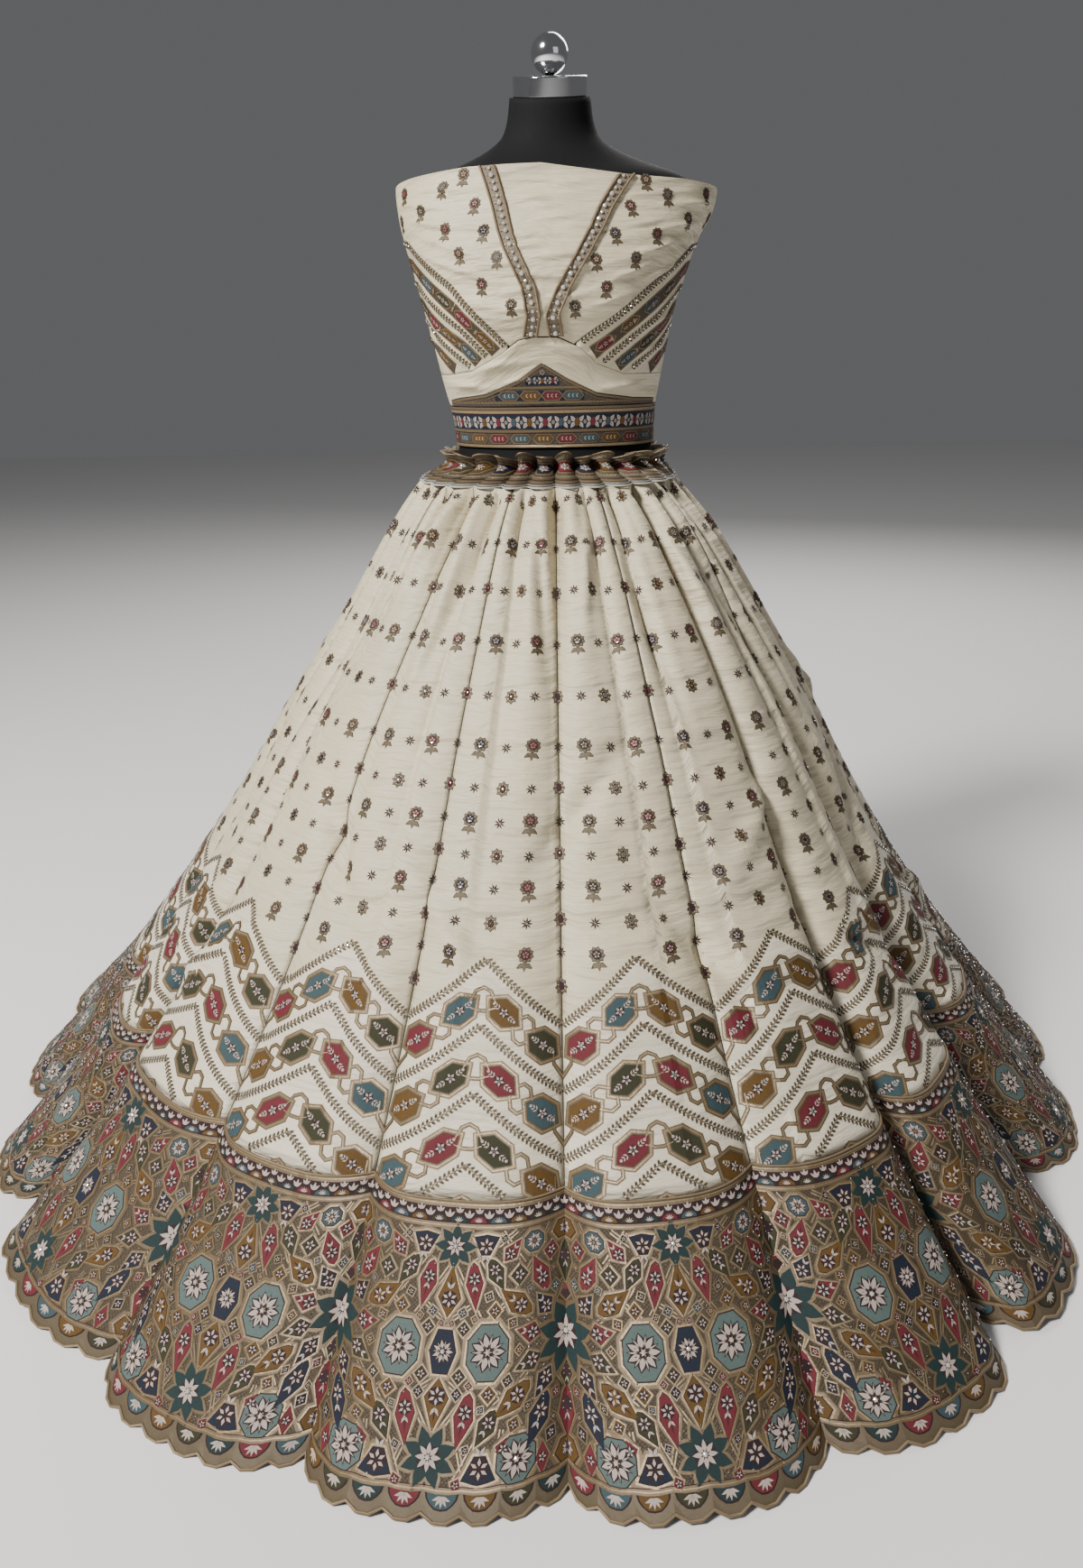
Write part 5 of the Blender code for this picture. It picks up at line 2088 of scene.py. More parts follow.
    def lattice(self, work: Stitching, kali: int) -> None:
        """Gold lines that cross the border's ground from cell to cell.

        Args:
            work: The stitching that it goes on.
            kali: Number of the kali, from 0.
        """
        for ends in BORDER_LINES:
            for side in (-1, 1):
                places = []
                for x, y in ends:
                    col = (kali + 0.5 + side * x / HALF_FIELD * 0.5) * KALI_COLS
                    places.append((col, self.surface.row_at(FIELD_V + y)))
                (c0, r0), (c1, r1) = places
                across, down = work.cloth.stride((r0 + r1) / 2, (c0 + c1) / 2)
                dx, dy = (c1 - c0) * across, (r1 - r0) * down
                turn = math.atan2(dy, dx)
                half = math.hypot(dx, dy) / 2
                bars = bar(half, 0.0062, Thread.DULL_GOLD, FLAT - 0.0001)
                for off in (-0.0017, 0.0017):
                    bars += bar(half, 0.0014, Thread.PALE_GOLD, FLAT, off)
                work.lay(bars, (r0 + r1) / 2, (c0 + c1) / 2, turn)

    def kali_work(self, kali: int) -> None:
        """Everything stitched on one kali above its border.

        Args:
            kali: Number of the kali, from 0.
        """
        work = Stitching(self.surface.cloth, 0.0, KALI_ROWS, 1.3)
        self.seam(work, kali, 0, KALI_ROWS)
        self.scatter(work, kali)
        self.chevrons(work, kali)
        work.mesh(f"kali_{kali + 1:02d}_embroidery", self.finishes)

    def build(self) -> None:
        """Build every kali and border, then their stitching."""
        for kali in range(KALIS):
            self.panel(kali, border=False)
            self.panel(kali, border=True)
            self.kali_work(kali)
            self.border_work(kali)


@dataclass(frozen=True)
class BorderCell:
    """One cell of the border: its place across half a kali and down the border, and its look."""

    share: float
    v: float
    shape: str
    half_width: float
    half_height: float
    ground: Thread
    turn: float = 0.0
    stone: float = 0.0

    def corners(self) -> Outline2D:
        """The cell's corners round its own middle.

        Returns:
            The corners in order.
        """
        w, h = self.half_width, self.half_height
        if self.shape == "kite":
            return [(0, -h), (w, -h * 0.25), (0, h), (-w, -h * 0.25)]
        if self.shape == "hexagon":
            return [(-w, 0), (-w * 0.55, -h), (w * 0.55, -h), (w, 0), (w * 0.55, h), (-w * 0.55, h)]
        if self.shape == "octagon":
            return regular(8, w, h, math.pi / 8)
        if self.shape == "triangle":
            return [(-w, -h * 0.75), (0, -h), (w, -h * 0.75), (w * 0.35, h * 0.8), (-w * 0.35, h * 0.8)]
        if self.shape == "long":
            head, waist = -h * 0.8, -h * 0.1
            return [(-w * 0.5, head), (0, -h), (w * 0.5, head), (w, waist), (0, h), (-w, waist)]
        if self.shape == "diamond":
            return [(0, -h), (w, 0), (0, h), (-w, 0)]
        return regular(16, w, h)

    def motif(self) -> Motif:
        """The cell's patches: ground, raised edge and what is worked inside it.

        Returns:
            The patches.
        """
        w, h = self.half_width, self.half_height
        if self.shape == "star":
            patches = star(0, 0, 8, w * 0.10, w * 1.18, w * 0.66, Thread.GOLD, LOW)
            patches += star(0, 0, 8, w * 0.10, w, w * 0.50, self.ground, MID)
            patches += disc(0, 0, w * 0.60, h * 0.60, self.ground, MID + 0.0001)
            patches += disc(0, 0, w * 0.42, h * 0.42, Thread.MAROON, MID + 0.0002)
            return patches + star(0, 0, 8, w * 0.08, w * 0.46, w * 0.17, Thread.WHITE, HIGH, 0.39)
        patches = MotifBook.cell(self.corners(), self.ground, min(0.0034, w * 0.26))
        reach = min(w, h)
        if self.shape in ("octagon", "hexagon"):
            return patches + MotifBook.bloom(reach * 0.74, 7, Thread.WHITE, Thread.MAROON)
        if self.shape in ("kite", "triangle", "long"):
            low = 0.0 if self.shape == "triangle" else -h * 0.30
            patches += disc(0, low, reach * 0.66, reach * 0.66, Thread.MAROON, MID + 0.0001)
            patches += star(0, low, 6, reach * 0.16, reach * 0.64, reach * 0.24, Thread.WHITE, HIGH, -1.57)
            for side in (-1, 1):
                tip = low + reach * 0.75
                patches += leaf(0, tip, reach * 0.62, reach * 0.24, 1.57 - side * 0.55, Thread.WHITE, HIGH)
            return patches + leaf(0, tip, h * 0.52, w * 0.13, 1.57, Thread.MAROON, MID + 0.0001)
        patches += disc(0, 0, reach * 0.55, reach * 0.55, Thread.MAROON, MID + 0.0001)
        return patches + star(0, 0, 5, reach * 0.12, reach * 0.54, reach * 0.24, Thread.WHITE, HIGH)


def ring_cells(x: float, y: float, radius: float, first: float, step: float, count: int,
               shape: str, width: float, height: float, tones: tuple) -> tuple[BorderCell, ...]:
    """Cells in a ring round a place, each pointing away from it.

    Args:
        x: Metres from the kali's centre to the ring's middle.
        y: Metres down the field to the ring's middle.
        radius: Radius of the ring.
        first: Bearing of the first cell in degrees, 0 straight down.
        step: Degrees from one cell to the next.
        count: How many cells.
        shape: Their shape.
        width: Half width of each.
        height: Half height of each.
        tones: Their colours in turn.

    Returns:
        The cells.
    """
    cells = []
    for i in range(count):
        angle = math.radians(first + step * i)
        spot = x - radius * math.sin(angle), y + radius * math.cos(angle)
        turn = first + step * i
        cells.append(BorderCell(spot[0], spot[1], shape, width, height, tones[i % len(tones)], turn))
    return tuple(cells)


# Ends of the gold lines that cross the border's ground: across from the centre, down the field
BORDER_LINES = (
    ((0.0, 0.030), (0.036, 0.086)), ((0.036, 0.086), (0.066, 0.060)), ((0.012, 0.0), (0.052, 0.060)),
    ((0.052, 0.060), (0.0985, 0.100)), ((0.000, 0.086), (0.022, 0.070)), ((0.000, 0.131), (0.022, 0.147)),
    ((0.0, 0.186), (0.036, 0.131)), ((0.036, 0.131), (0.066, 0.156)), ((0.052, 0.156), (0.0985, 0.117)),
    ((0.052, 0.156), (0.022, 0.218)), ((0.066, 0.156), (0.100, 0.218)), ((0.066, 0.060), (0.104, 0.002)),
    ((0.0225, 0.030), (0.066, 0.002)), ((0.104, 0.086), (0.1225, 0.056)), ((0.104, 0.131), (0.1225, 0.160)),
    ((0.050, 0.002), (0.075, 0.034)), ((0.055, 0.216), (0.060, 0.176)), ((0.0225, 0.186), (0.032, 0.217)),
)

# Half the width of one kali's border, to which the cells' places are drawn
HALF_FIELD = 0.1225
# Depth of its field, and how many small diamonds may fill the spaces
FIELD_DEPTH = 0.2235
FILLERS = 34
# Scale of the cells against those drawn sizes
CELL_SCALE = 1.2
BORDER_CELLS = (
    # Down the kali's centre
    BorderCell(0.0, 0.014, "star", 0.019, 0.017, Thread.TEAL, 0.0, 0.0022),
    BorderCell(0.0, 0.055, "kite", 0.0105, 0.0215, Thread.MUSTARD, 180.0),
    BorderCell(0.0, 0.1085, "hexagon", 0.0115, 0.0165, Thread.NAVY, 0.0, 0.0024),
    BorderCell(0.0, 0.1535, "kite", 0.0100, 0.0185, Thread.MUSTARD),
    BorderCell(0.0, 0.1965, "star", 0.0205, 0.0180, Thread.TEAL, 22.5, 0.0026),
    BorderCell(0.0175, 0.0880, "diamond", 0.0058, 0.0062, Thread.OLIVE),
    BorderCell(0.0175, 0.1290, "diamond", 0.0058, 0.0062, Thread.OLIVE),
    BorderCell(0.0245, 0.0500, "long", 0.0080, 0.0200, Thread.ROSE, -8.0),
    BorderCell(0.0255, 0.1660, "long", 0.0080, 0.0195, Thread.ROSE, 10.0),
    BorderCell(0.0425, 0.1080, "octagon", 0.0185, 0.0230, Thread.PALE_TEAL, 0.0, 0.0026),
    # Between the centre and the seam
    BorderCell(0.0330, 0.0130, "triangle", 0.0125, 0.0105, Thread.NAVY),
    BorderCell(0.0465, 0.0395, "long", 0.0078, 0.0150, Thread.OLIVE, -28.0),
    BorderCell(0.0620, 0.0180, "kite", 0.0072, 0.0120, Thread.ROSE, -140.0),
    BorderCell(0.0470, 0.0720, "diamond", 0.0060, 0.0070, Thread.MUSTARD),
    BorderCell(0.0460, 0.1440, "diamond", 0.0062, 0.0066, Thread.MUSTARD),
    BorderCell(0.0455, 0.1720, "long", 0.0074, 0.0140, Thread.OLIVE, 30.0),
    BorderCell(0.0430, 0.2040, "triangle", 0.0135, 0.0110, Thread.NAVY, 180.0),
    BorderCell(0.0620, 0.1900, "diamond", 0.0066, 0.0080, Thread.ROSE, 20.0),
    BorderCell(0.0740, 0.2000, "octagon", 0.0170, 0.0175, Thread.PALE_TEAL, 0.0, 0.0026),
    BorderCell(0.0850, 0.0130, "octagon", 0.0105, 0.0100, Thread.BLUE),
    BorderCell(0.0970, 0.2060, "diamond", 0.0060, 0.0110, Thread.ROSE),
    # The rosette on the seam
    BorderCell(HALF_FIELD, 0.1085, "star", 0.0270, 0.0270, Thread.TEAL, 22.5, 0.0030),
    BorderCell(HALF_FIELD, 0.0100, "hexagon", 0.0140, 0.0085, Thread.MUSTARD),
    BorderCell(HALF_FIELD, 0.0430, "long", 0.0080, 0.0180, Thread.OLIVE),
    BorderCell(HALF_FIELD, 0.0720, "diamond", 0.0058, 0.0072, Thread.ROSE),
    BorderCell(HALF_FIELD, 0.1470, "kite", 0.0064, 0.0100, Thread.OLIVE),
    BorderCell(HALF_FIELD, 0.1790, "long", 0.0082, 0.0180, Thread.ROSE),
    BorderCell(HALF_FIELD, 0.2090, "hexagon", 0.0130, 0.0080, Thread.MUSTARD),
    *ring_cells(HALF_FIELD, 0.1085, 0.0430, 36.0, 36.0, 4, "kite", 0.0078, 0.0115,
                (Thread.NAVY, Thread.OLIVE, Thread.ROSE, Thread.NAVY)),
    *ring_cells(HALF_FIELD, 0.1085, 0.0720, 25.0, 0.0, 1, "long", 0.0088, 0.0190, (Thread.NAVY,)),
    *ring_cells(HALF_FIELD, 0.1085, 0.0700, 52.0, 0.0, 1, "long", 0.0088, 0.0180, (Thread.MUSTARD,)),
    *ring_cells(HALF_FIELD, 0.1085, 0.0700, 128.0, 0.0, 1, "long", 0.0088, 0.0180, (Thread.MUSTARD,)),
    *ring_cells(HALF_FIELD, 0.1085, 0.0710, 155.0, 0.0, 1, "long", 0.0080, 0.0170, (Thread.ROSE,)),
)


def filler_cells(cells: tuple[BorderCell, ...]) -> tuple[BorderCell, ...]:
    """Small diamonds for the spaces that the drawn cells leave, the widest space first.

    Args:
        cells: The cells that are there.

    Returns:
        The small cells.
    """
    places, depths = np.arange(0.0, HALF_FIELD + 0.001, 0.0025), np.arange(0.004, 0.220, 0.0025)
    x, y = np.meshgrid(places, depths, indexing="ij")
    room = np.minimum(np.minimum(y, FIELD_DEPTH - y), 0.014)

    def keep_off(place: float, v: float, width: float, height: float, turn: float) -> None:
        """Take a cell and its mirror images out of the room.

        Args:
            place: Metres from the kali's centre.
            v: Metres down the field.
            width: Half width.
            height: Half height.
            turn: Turn in degrees.
        """
        for middle, way in ((place, 1), (-place, -1), (2 * HALF_FIELD - place, -1)):
            c, s = math.cos(math.radians(turn) * way), math.sin(math.radians(turn) * way)
            dx, dy = x - middle, y - v
            far = np.hypot(dx, dy) + 1e-6
            near = far / np.hypot((c * dx + s * dy) / width, (c * dy - s * dx) / height)
            np.minimum(room, far - near, out=room)

    for cell in cells:
        keep_off(cell.share, cell.v, cell.half_width * CELL_SCALE, cell.half_height * CELL_SCALE, cell.turn)
    made: list[BorderCell] = []
    tones = (Thread.OLIVE, Thread.ROSE, Thread.MUSTARD, Thread.NAVY, Thread.BLUE)
    while len(made) < FILLERS and room.max() > 0.0046:
        i, j = np.unravel_index(np.argmax(room), room.shape)
        reach, place, v = float(room[i, j]) - 0.0010, float(x[i, j]), float(y[i, j])
        place = 0.0 if place < 0.004 else HALF_FIELD if place > HALF_FIELD - 0.004 else place
        keep_off(place, v, reach + 0.0006, reach + 0.0006, 0.0)
        size = reach / CELL_SCALE
        tone, turn = tones[len(made) % 5], 12.0 * (len(made) % 4)
        made.append(BorderCell(place, v, "diamond", size * 0.92, size, tone, turn))
    return tuple(made)


BORDER_FILLERS = filler_cells(BORDER_CELLS)

# Pulls in the choli's silk: bearing, height, half width in degrees, half height, slant, rise
CHOLI_CREASES = (
    (-14, 1.085, 7, 0.0030, 2, 0.0018), (8, 1.098, 8, 0.0034, -3, 0.0020),
    (-6, 1.121, 9, 0.0030, 4, 0.0017), (2, 1.143, 10, 0.0036, -2, 0.0021),
    (-10, 1.166, 9, 0.0032, 3, 0.0018), (5, 1.187, 11, 0.0034, -4, 0.0019),
    (-8, 1.209, 12, 0.0030, 2, 0.0016), (10, 1.223, 10, 0.0028, -3, 0.0014),
    (-44, 1.155, 12, 0.0050, 16, 0.0020), (-56, 1.184, 11, 0.0046, 10, 0.0018),
    (-38, 1.128, 9, 0.0040, 20, 0.0017), (-64, 1.206, 10, 0.0042, 6, 0.0015),
    (46, 1.150, 12, 0.0050, -15, 0.0020), (58, 1.176, 11, 0.0044, -9, 0.0018),
    (33, 1.122, 9, 0.0042, -19, 0.0017), (68, 1.203, 10, 0.0040, -5, 0.0015),
    (-30, 1.020, 14, 0.0048, -8, 0.0020), (18, 1.031, 12, 0.0042, 7, 0.0018),
    (-52, 0.996, 15, 0.0050, 5, 0.0019), (40, 0.993, 14, 0.0046, -6, 0.0018),
    (62, 1.040, 11, 0.0044, -10, 0.0016), (-72, 1.052, 11, 0.0044, 9, 0.0016),
    (110, 1.070, 16, 0.0052, 6, 0.0020), (135, 1.110, 14, 0.0046, -8, 0.0018),
    (160, 1.045, 15, 0.0050, 5, 0.0019), (-115, 1.085, 15, 0.0050, -6, 0.0020),
    (-142, 1.130, 14, 0.0044, 7, 0.0018), (-165, 1.030, 16, 0.0052, -4, 0.0020),
    (120, 1.000, 17, 0.0048, 4, 0.0018), (-128, 0.992, 16, 0.0046, -5, 0.0018),
    (172, 1.150, 13, 0.0046, 6, 0.0017), (100, 1.168, 12, 0.0042, -7, 0.0016),
    (-2, 1.075, 6, 0.0026, 5, 0.0014), (-16, 1.104, 8, 0.0028, -4, 0.0014),
    (12, 1.133, 9, 0.0028, 3, 0.0014), (-12, 1.154, 8, 0.0026, -5, 0.0015),
    (14, 1.176, 9, 0.0028, 4, 0.0013), (-4, 1.198, 8, 0.0026, -3, 0.0014),
    (-30, 1.090, 8, 0.0032, 14, 0.0014), (-48, 1.136, 10, 0.0036, 20, 0.0015),
    (-36, 1.176, 9, 0.0034, 8, 0.0014), (28, 1.094, 8, 0.0032, -15, 0.0014),
    (42, 1.178, 9, 0.0034, -10, 0.0014), (52, 1.126, 10, 0.0036, -20, 0.0015),
    (-70, 1.110, 9, 0.0040, 26, 0.0015), (72, 1.108, 9, 0.0040, -26, 0.0015),
    (-60, 1.064, 9, 0.0038, 18, 0.0014), (56, 1.070, 9, 0.0038, -18, 0.0014),
    (-8, 1.228, 12, 0.0026, 3, 0.0012), (50, 1.212, 10, 0.0034, -6, 0.0013),
    (-50, 1.220, 10, 0.0034, 5, 0.0013), (6, 1.041, 10, 0.0034, 4, 0.0013),
    (-22, 1.001, 9, 0.0034, -5, 0.0013),
)


def choli_surface(bearing: np.ndarray, z: np.ndarray, out: float) -> np.ndarray:
    """Points on the choli, out from the wearer, with its pulls worked in.

    Args:
        bearing: Degrees from the front.
        z: Heights.
        out: Distance out from the fitted surface.

    Returns:
        The points, on a last axis of three.
    """
    bearing, z = np.broadcast_arrays(np.asarray(bearing, float), np.asarray(z, float))
    turn = np.radians(bearing)
    rise = np.zeros(bearing.shape)
    for place, height, width, tall, slant, pull in CHOLI_CREASES:
        x = (bearing - place + 180.0) % 360.0 - 180.0
        y = z - height + math.tan(math.radians(slant)) * np.radians(x) * 0.16
        rise += CHOLI_CREASE_GAIN * pull * np.exp(-((x / width) ** 2) - (y / tall) ** 2)
    rise *= np.clip((z - BELT_TOP) / 0.012, 0.0, 1.0)
    radius = CHOLI.radius(turn, z) + out + rise
    return on_bearing(turn, radius, z)


def walk_line(line: tuple, count: int) -> np.ndarray:
    """Bearings and heights spaced evenly along a line.

    Args:
        line: Bearings and heights at its corners.
        count: How many places.

    Returns:
        One row for each place.
    """
    rows = np.array(line, float)
    ways = np.stack([np.radians(rows[:, 0]) * 0.15, rows[:, 1]], axis=1)
    steps = np.concatenate([[0.0], np.cumsum(np.linalg.norm(np.diff(ways, axis=0), axis=1))])
    places = np.linspace(0.0, steps[-1], count)
    return np.stack([np.interp(places, steps, rows[:, i]) for i in range(2)], axis=1)


def between(line: tuple, start: float, stop: float, count: int) -> np.ndarray:
    """Bearings and heights along a line from one bearing to another."""
    bearing = np.linspace(start, stop, count)
    return np.stack([bearing, line_height(line, bearing)], axis=1)


def patch_spots(low: np.ndarray, top: np.ndarray, left: np.ndarray, right: np.ndarray) -> np.ndarray:
    """Bearings and heights filling the space inside four edges.

    Args:
        low: Its lower edge.
        top: Its upper edge.
        left: Its left edge, from below.
        right: Its right edge, from below.

    Returns:
        Grid of bearings and heights, from below.
    """
    rows, cols = len(left), len(low)
    v = np.linspace(0, 1, rows)[:, None, None]
    u = np.linspace(0, 1, cols)[None, :, None]
    spots = (1 - v) * low[None] + v * top[None] + (1 - u) * left[:, None] + u * right[:, None]
    spots = spots - (1 - u) * ((1 - v) * low[0] + v * top[0])
    return spots - u * ((1 - v) * low[-1] + v * top[-1])


@dataclass
class Choli:
    """The strapless blouse with its belt, peak insert, trims and embroidery."""

    finishes: FinishBook
    sequins: BeadBag
    stones: BeadBag
    step_deg: float = 1.5
    step_z: float = 0.004
    top_z: float = 1.250
    low_z: float = 0.915

    def __post_init__(self) -> None:
        """Set out the lattice that the stitching is laid on."""
        bearing = np.arange(-180.0, 180.0, self.step_deg)
        z = np.arange(self.top_z, self.low_z, -self.step_z)
        points = choli_surface(bearing[None, :], z[:, None], CHOLI_WALL)
        self.cloth = ClothMap(points, wraps=True)

    def place(self, bearing: float, z: float) -> tuple[float, float]:
        """Row and column of a bearing and height."""
        return (self.top_z - z) / self.step_z, (bearing + 180.0) / self.step_deg

    def piece(self, node: str, spots: np.ndarray, material: bpy.types.Material, slot: str) -> None:
        """One panel as a shell that stands for its CAD node.

        Args:
            node: CAD node it stands for.
            spots: Grid of bearings and heights from the bottom up.
            material: Its finish.
            slot: Not used.
        """
        spots = spots[::-1].copy()
        middle = choli_surface(spots[..., 0], spots[..., 1], 0.0)
        half = np.degrees(SEAM_GAP / np.linalg.norm(middle[..., :2], axis=2))
        spots[:, 0, 0] += half[:, 0]
        spots[:, -1, 0] -= half[:, -1]
        spots[0, :, 1] -= SEAM_GAP
        spots[-1, :, 1] += SEAM_GAP
        outer = choli_surface(spots[..., 0], spots[..., 1], CHOLI_WALL)
        inner = choli_surface(spots[..., 0], spots[..., 1], CHOLI_WALL - SHELL_WALL)
        across, down = lengths_along(outer, 1), lengths_along(outer, 0)
        flat = np.stack([across - across[:, -1:] / 2, down], axis=2)
        item = shell_mesh(f"{node}_cloth", outer, inner, material, flat)
        declare_sheet(item, node, outer, across, down)

    def panels(self) -> None:
        """Every panel of the blouse from its seam lines."""
        silk = self.finishes.silk("ivory_silk")
        side = SIDE_BEARING
        top_left, top_right = LEFT_TRIM[-1][0], RIGHT_TRIM[-1][0]
        low_left, low_right = LEFT_TRIM[0][0], RIGHT_TRIM[0][0]
        left_foot, right_foot = LEFT_DIAGONAL[-1][0], RIGHT_DIAGONAL[0][0]
        rows = 80
        left, right = walk_line(LEFT_TRIM, rows), walk_line(RIGHT_TRIM, rows)
        low = between(MIDRIFF_TOP, low_left, low_right, 34)
        top = between(TOP_EDGE, top_left, top_right, 34)
        self.piece("choli_infill", patch_spots(low, top, left, right), silk, "ivory_silk")
        foot = np.concatenate([
            between(LEFT_DIAGONAL, -side, left_foot, 41), between(MIDRIFF_TOP, left_foot, low_left, 10)[1:]
        ])
        rise = np.linspace(LEFT_DIAGONAL[0][1], line_height(TOP_EDGE, -side), rows)
        seam = np.stack([np.full(rows, -side), rise], axis=1)
        top = between(TOP_EDGE, -side, top_left, 50)
        self.piece("choli_bust_left", patch_spots(foot, top, seam, left), silk, "ivory_silk")
        foot = np.concatenate([
            between(MIDRIFF_TOP, low_right, right_foot, 10)[:-1],
            between(RIGHT_DIAGONAL, right_foot, side, 41),
        ])
        rise = np.linspace(RIGHT_DIAGONAL[-1][1], line_height(TOP_EDGE, side), rows)
        seam = np.stack([np.full(rows, side), rise], axis=1)
        top = between(TOP_EDGE, top_right, side, 50)
        self.piece("choli_bust_right", patch_spots(foot, top, right, seam), silk, "ivory_silk")
        for name, line, start, stop in (
            ("choli_side_left", LEFT_DIAGONAL, -side, left_foot),
            ("choli_side_right", RIGHT_DIAGONAL, right_foot, side),
        ):
            self.banded(name, MIDRIFF_TOP, line, start, stop, 44, 40, silk, "stripe_embroidery")
        for name, start, stop in (("left", -180.0, -side), ("right", side, 180.0)):
            node = f"choli_back_{name}"
            self.banded(node, MIDRIFF_TOP, TOP_EDGE, start, stop, 54, 50, silk, "ivory_silk")
        ring, end = BELT_TOP + 0.0005, INSERT_END + 0.5
        low = ((-180, ring), (-end, ring), *PEAK_EDGE[2:-2], (end, ring), (180, ring))
        self.banded("choli_midriff", low, MIDRIFF_TOP, -180, 180, 200, 18, silk, "ivory_silk")
        zari = self.finishes.zari(Zari.BELT)
        level = ((-180, ring), (180, ring))
        slot = "belt_embroidery"
        self.banded("peak_insert", level, PEAK_EDGE, -INSERT_END, INSERT_END, 110, 12, zari, slot)
        bottom, head = ((-180, BELT_BOTTOM), (180, BELT_BOTTOM)), ((-180, BELT_TOP), (180, BELT_TOP))
        self.banded("waist_belt", bottom, head, -180, 180, 200, 10, zari, slot)

    def banded(self, node: str, low: tuple, high: tuple, start: float, stop: float, cols: int,
               rows: int, material: bpy.types.Material, slot: str) -> None:
        """A panel between a lower and an upper line.

        Args:
            node: CAD node that it stands for.
            low: The lower line.
            high: The upper line.
            start: Bearing where it starts.
            stop: Bearing where it ends.
            cols: Columns of the grid.
            rows: Rows of the grid.
            material: Its finish.
            slot: The record's material slot.
        """
        base, head = between(low, start, stop, cols + 1), between(high, start, stop, cols + 1)
        share = np.linspace(0, 1, rows + 1)[:, None, None]
        self.piece(node, base[None] * (1 - share) + head[None] * share, material, slot)

    def follow(self, work: Stitching, line: np.ndarray, step: float,
               motif: Callable[[int], Motif], sequin: int = 0) -> None:
        """Lay a motif at even steps along a line of bearings and heights.

        Args:
            work: The stitching it goes on.
            line: Bearings and heights in order.
            step: Distance from one to the next in metres.
            motif: Called with the step's number for the motif to lay.
            sequin: Sew a sequin at every so many steps, or none at 0.
        """
        rows, cols = self.place(line[:, 0], line[:, 1])
        spots = work.cloth.at(rows, cols, np.zeros(len(rows)))
        walked = np.concatenate([[0.0], np.cumsum(np.linalg.norm(np.diff(spots, axis=0), axis=1))])
        count = max(1, int(walked[-1] / step))
        for i in range(count):
            t = (i + 0.5) / count * walked[-1]
            row, col = float(np.interp(t, walked, rows)), float(np.interp(t, walked, cols))
            ahead = min(t + 0.002, walked[-1])
            r1, c1 = float(np.interp(ahead, walked, rows)), float(np.interp(ahead, walked, cols))
            r0, c0 = float(np.interp(t - 0.002, walked, rows)), float(np.interp(t - 0.002, walked, cols))
            across, down = work.cloth.stride(row, col)
            turn = math.atan2((r1 - r0) * down, (c1 - c0) * across)
            work.lay(motif(i), row, col, turn)
            if sequin and i % sequin == 0:
                self.sequins.sew(work.cloth, row, col, 0.0011, 0.0011)

    def lowered(self, line: tuple, start: float, stop: float, drop: float) -> np.ndarray:
        """A line moved down the cloth, kept above the midriff seam.

        Args:
            line: Bearings and heights in order.
            start: Bearing where it starts.
            stop: Bearing where it ends.
            drop: How far down.

        Returns:
            The bearings and heights that are left.
        """
        spots = between(line, start, stop, 60)
        spots[:, 1] -= drop
        inside = spots[:, 1] > line_height(MIDRIFF_TOP, spots[:, 0]) + 0.004
        return spots[inside]

    def stripes(self) -> None:
        """Leafy lines and linked hexagons that run down the side panels."""
        work = Stitching(self.cloth, whole=1.6)
        tones = (Thread.ROSE, Thread.MUSTARD, Thread.BLUE, Thread.OLIVE)
        for line, start, stop in (
            (LEFT_DIAGONAL, -88.0, LEFT_DIAGONAL[-1][0]), (RIGHT_DIAGONAL, RIGHT_DIAGONAL[0][0], 88.0),
        ):
            for index, drop in enumerate((0.004, 0.050, 0.096)):
                leafy = self.lowered(line, start, stop, drop)
                if len(leafy) > 3:
                    self.follow(work, leafy, 0.0050, lambda i: MotifBook.leaf_step(0.0050), 2)
                middle = self.lowered(line, start, stop, drop + 0.024)
                if len(middle) > 5:
                    self.follow(work, middle, 0.0060, lambda i: self.ribbon(0.0062))
                    self.follow(work, middle, 0.0330, lambda i, k=index: MotifBook.long_hexagon(
                        0.0320, 0.0165, tones[(i + 2 * k) % 4], 0.42))
                    self.follow(work, middle[3:-3], 0.0330, lambda i: disc(
                        0, 0, 0.0017, 0.0040, Thread.PALE_GOLD, HIGH))
        work.mesh("side_stripes", self.finishes)

    @staticmethod
    def ribbon(step: float) -> Motif:
        """One step of the ribbon under the side hexagons: dark ground and two gold edges.

        Args:
            step: Length of the step.

        Returns:
            The patches.
        """
        patches = bar(step / 2, 0.0170, Thread.DULL_GOLD, FLAT)
        for off in (-0.0080, 0.0080):
            patches += bar(step / 2, 0.0016, Thread.GOLD, LOW, off)
        return patches

    def buds(self) -> None:
        """Buds scattered over both busts, a few on the back."""
        work = Stitching(self.cloth, whole=1.6)
        tones = (
            (Thread.ROSE, Thread.WHITE), (Thread.STONE, Thread.MAROON), (Thread.MUSTARD, Thread.WHITE),
            (Thread.NAVY, Thread.WHITE), (Thread.ROSE, Thread.STONE), (Thread.OLIVE, Thread.WHITE),
        )
        for i, (bearing, z) in enumerate(CHOLI_BUDS):
            centre, petal = tones[(i * 5 + 2) % 6]
            row, col = self.place(bearing, z)
            work.lay(MotifBook.bud(centre, petal), row, col, 0.1 * math.sin(i * 1.7), 0.82)
        work.mesh("bust_buds", self.finishes)

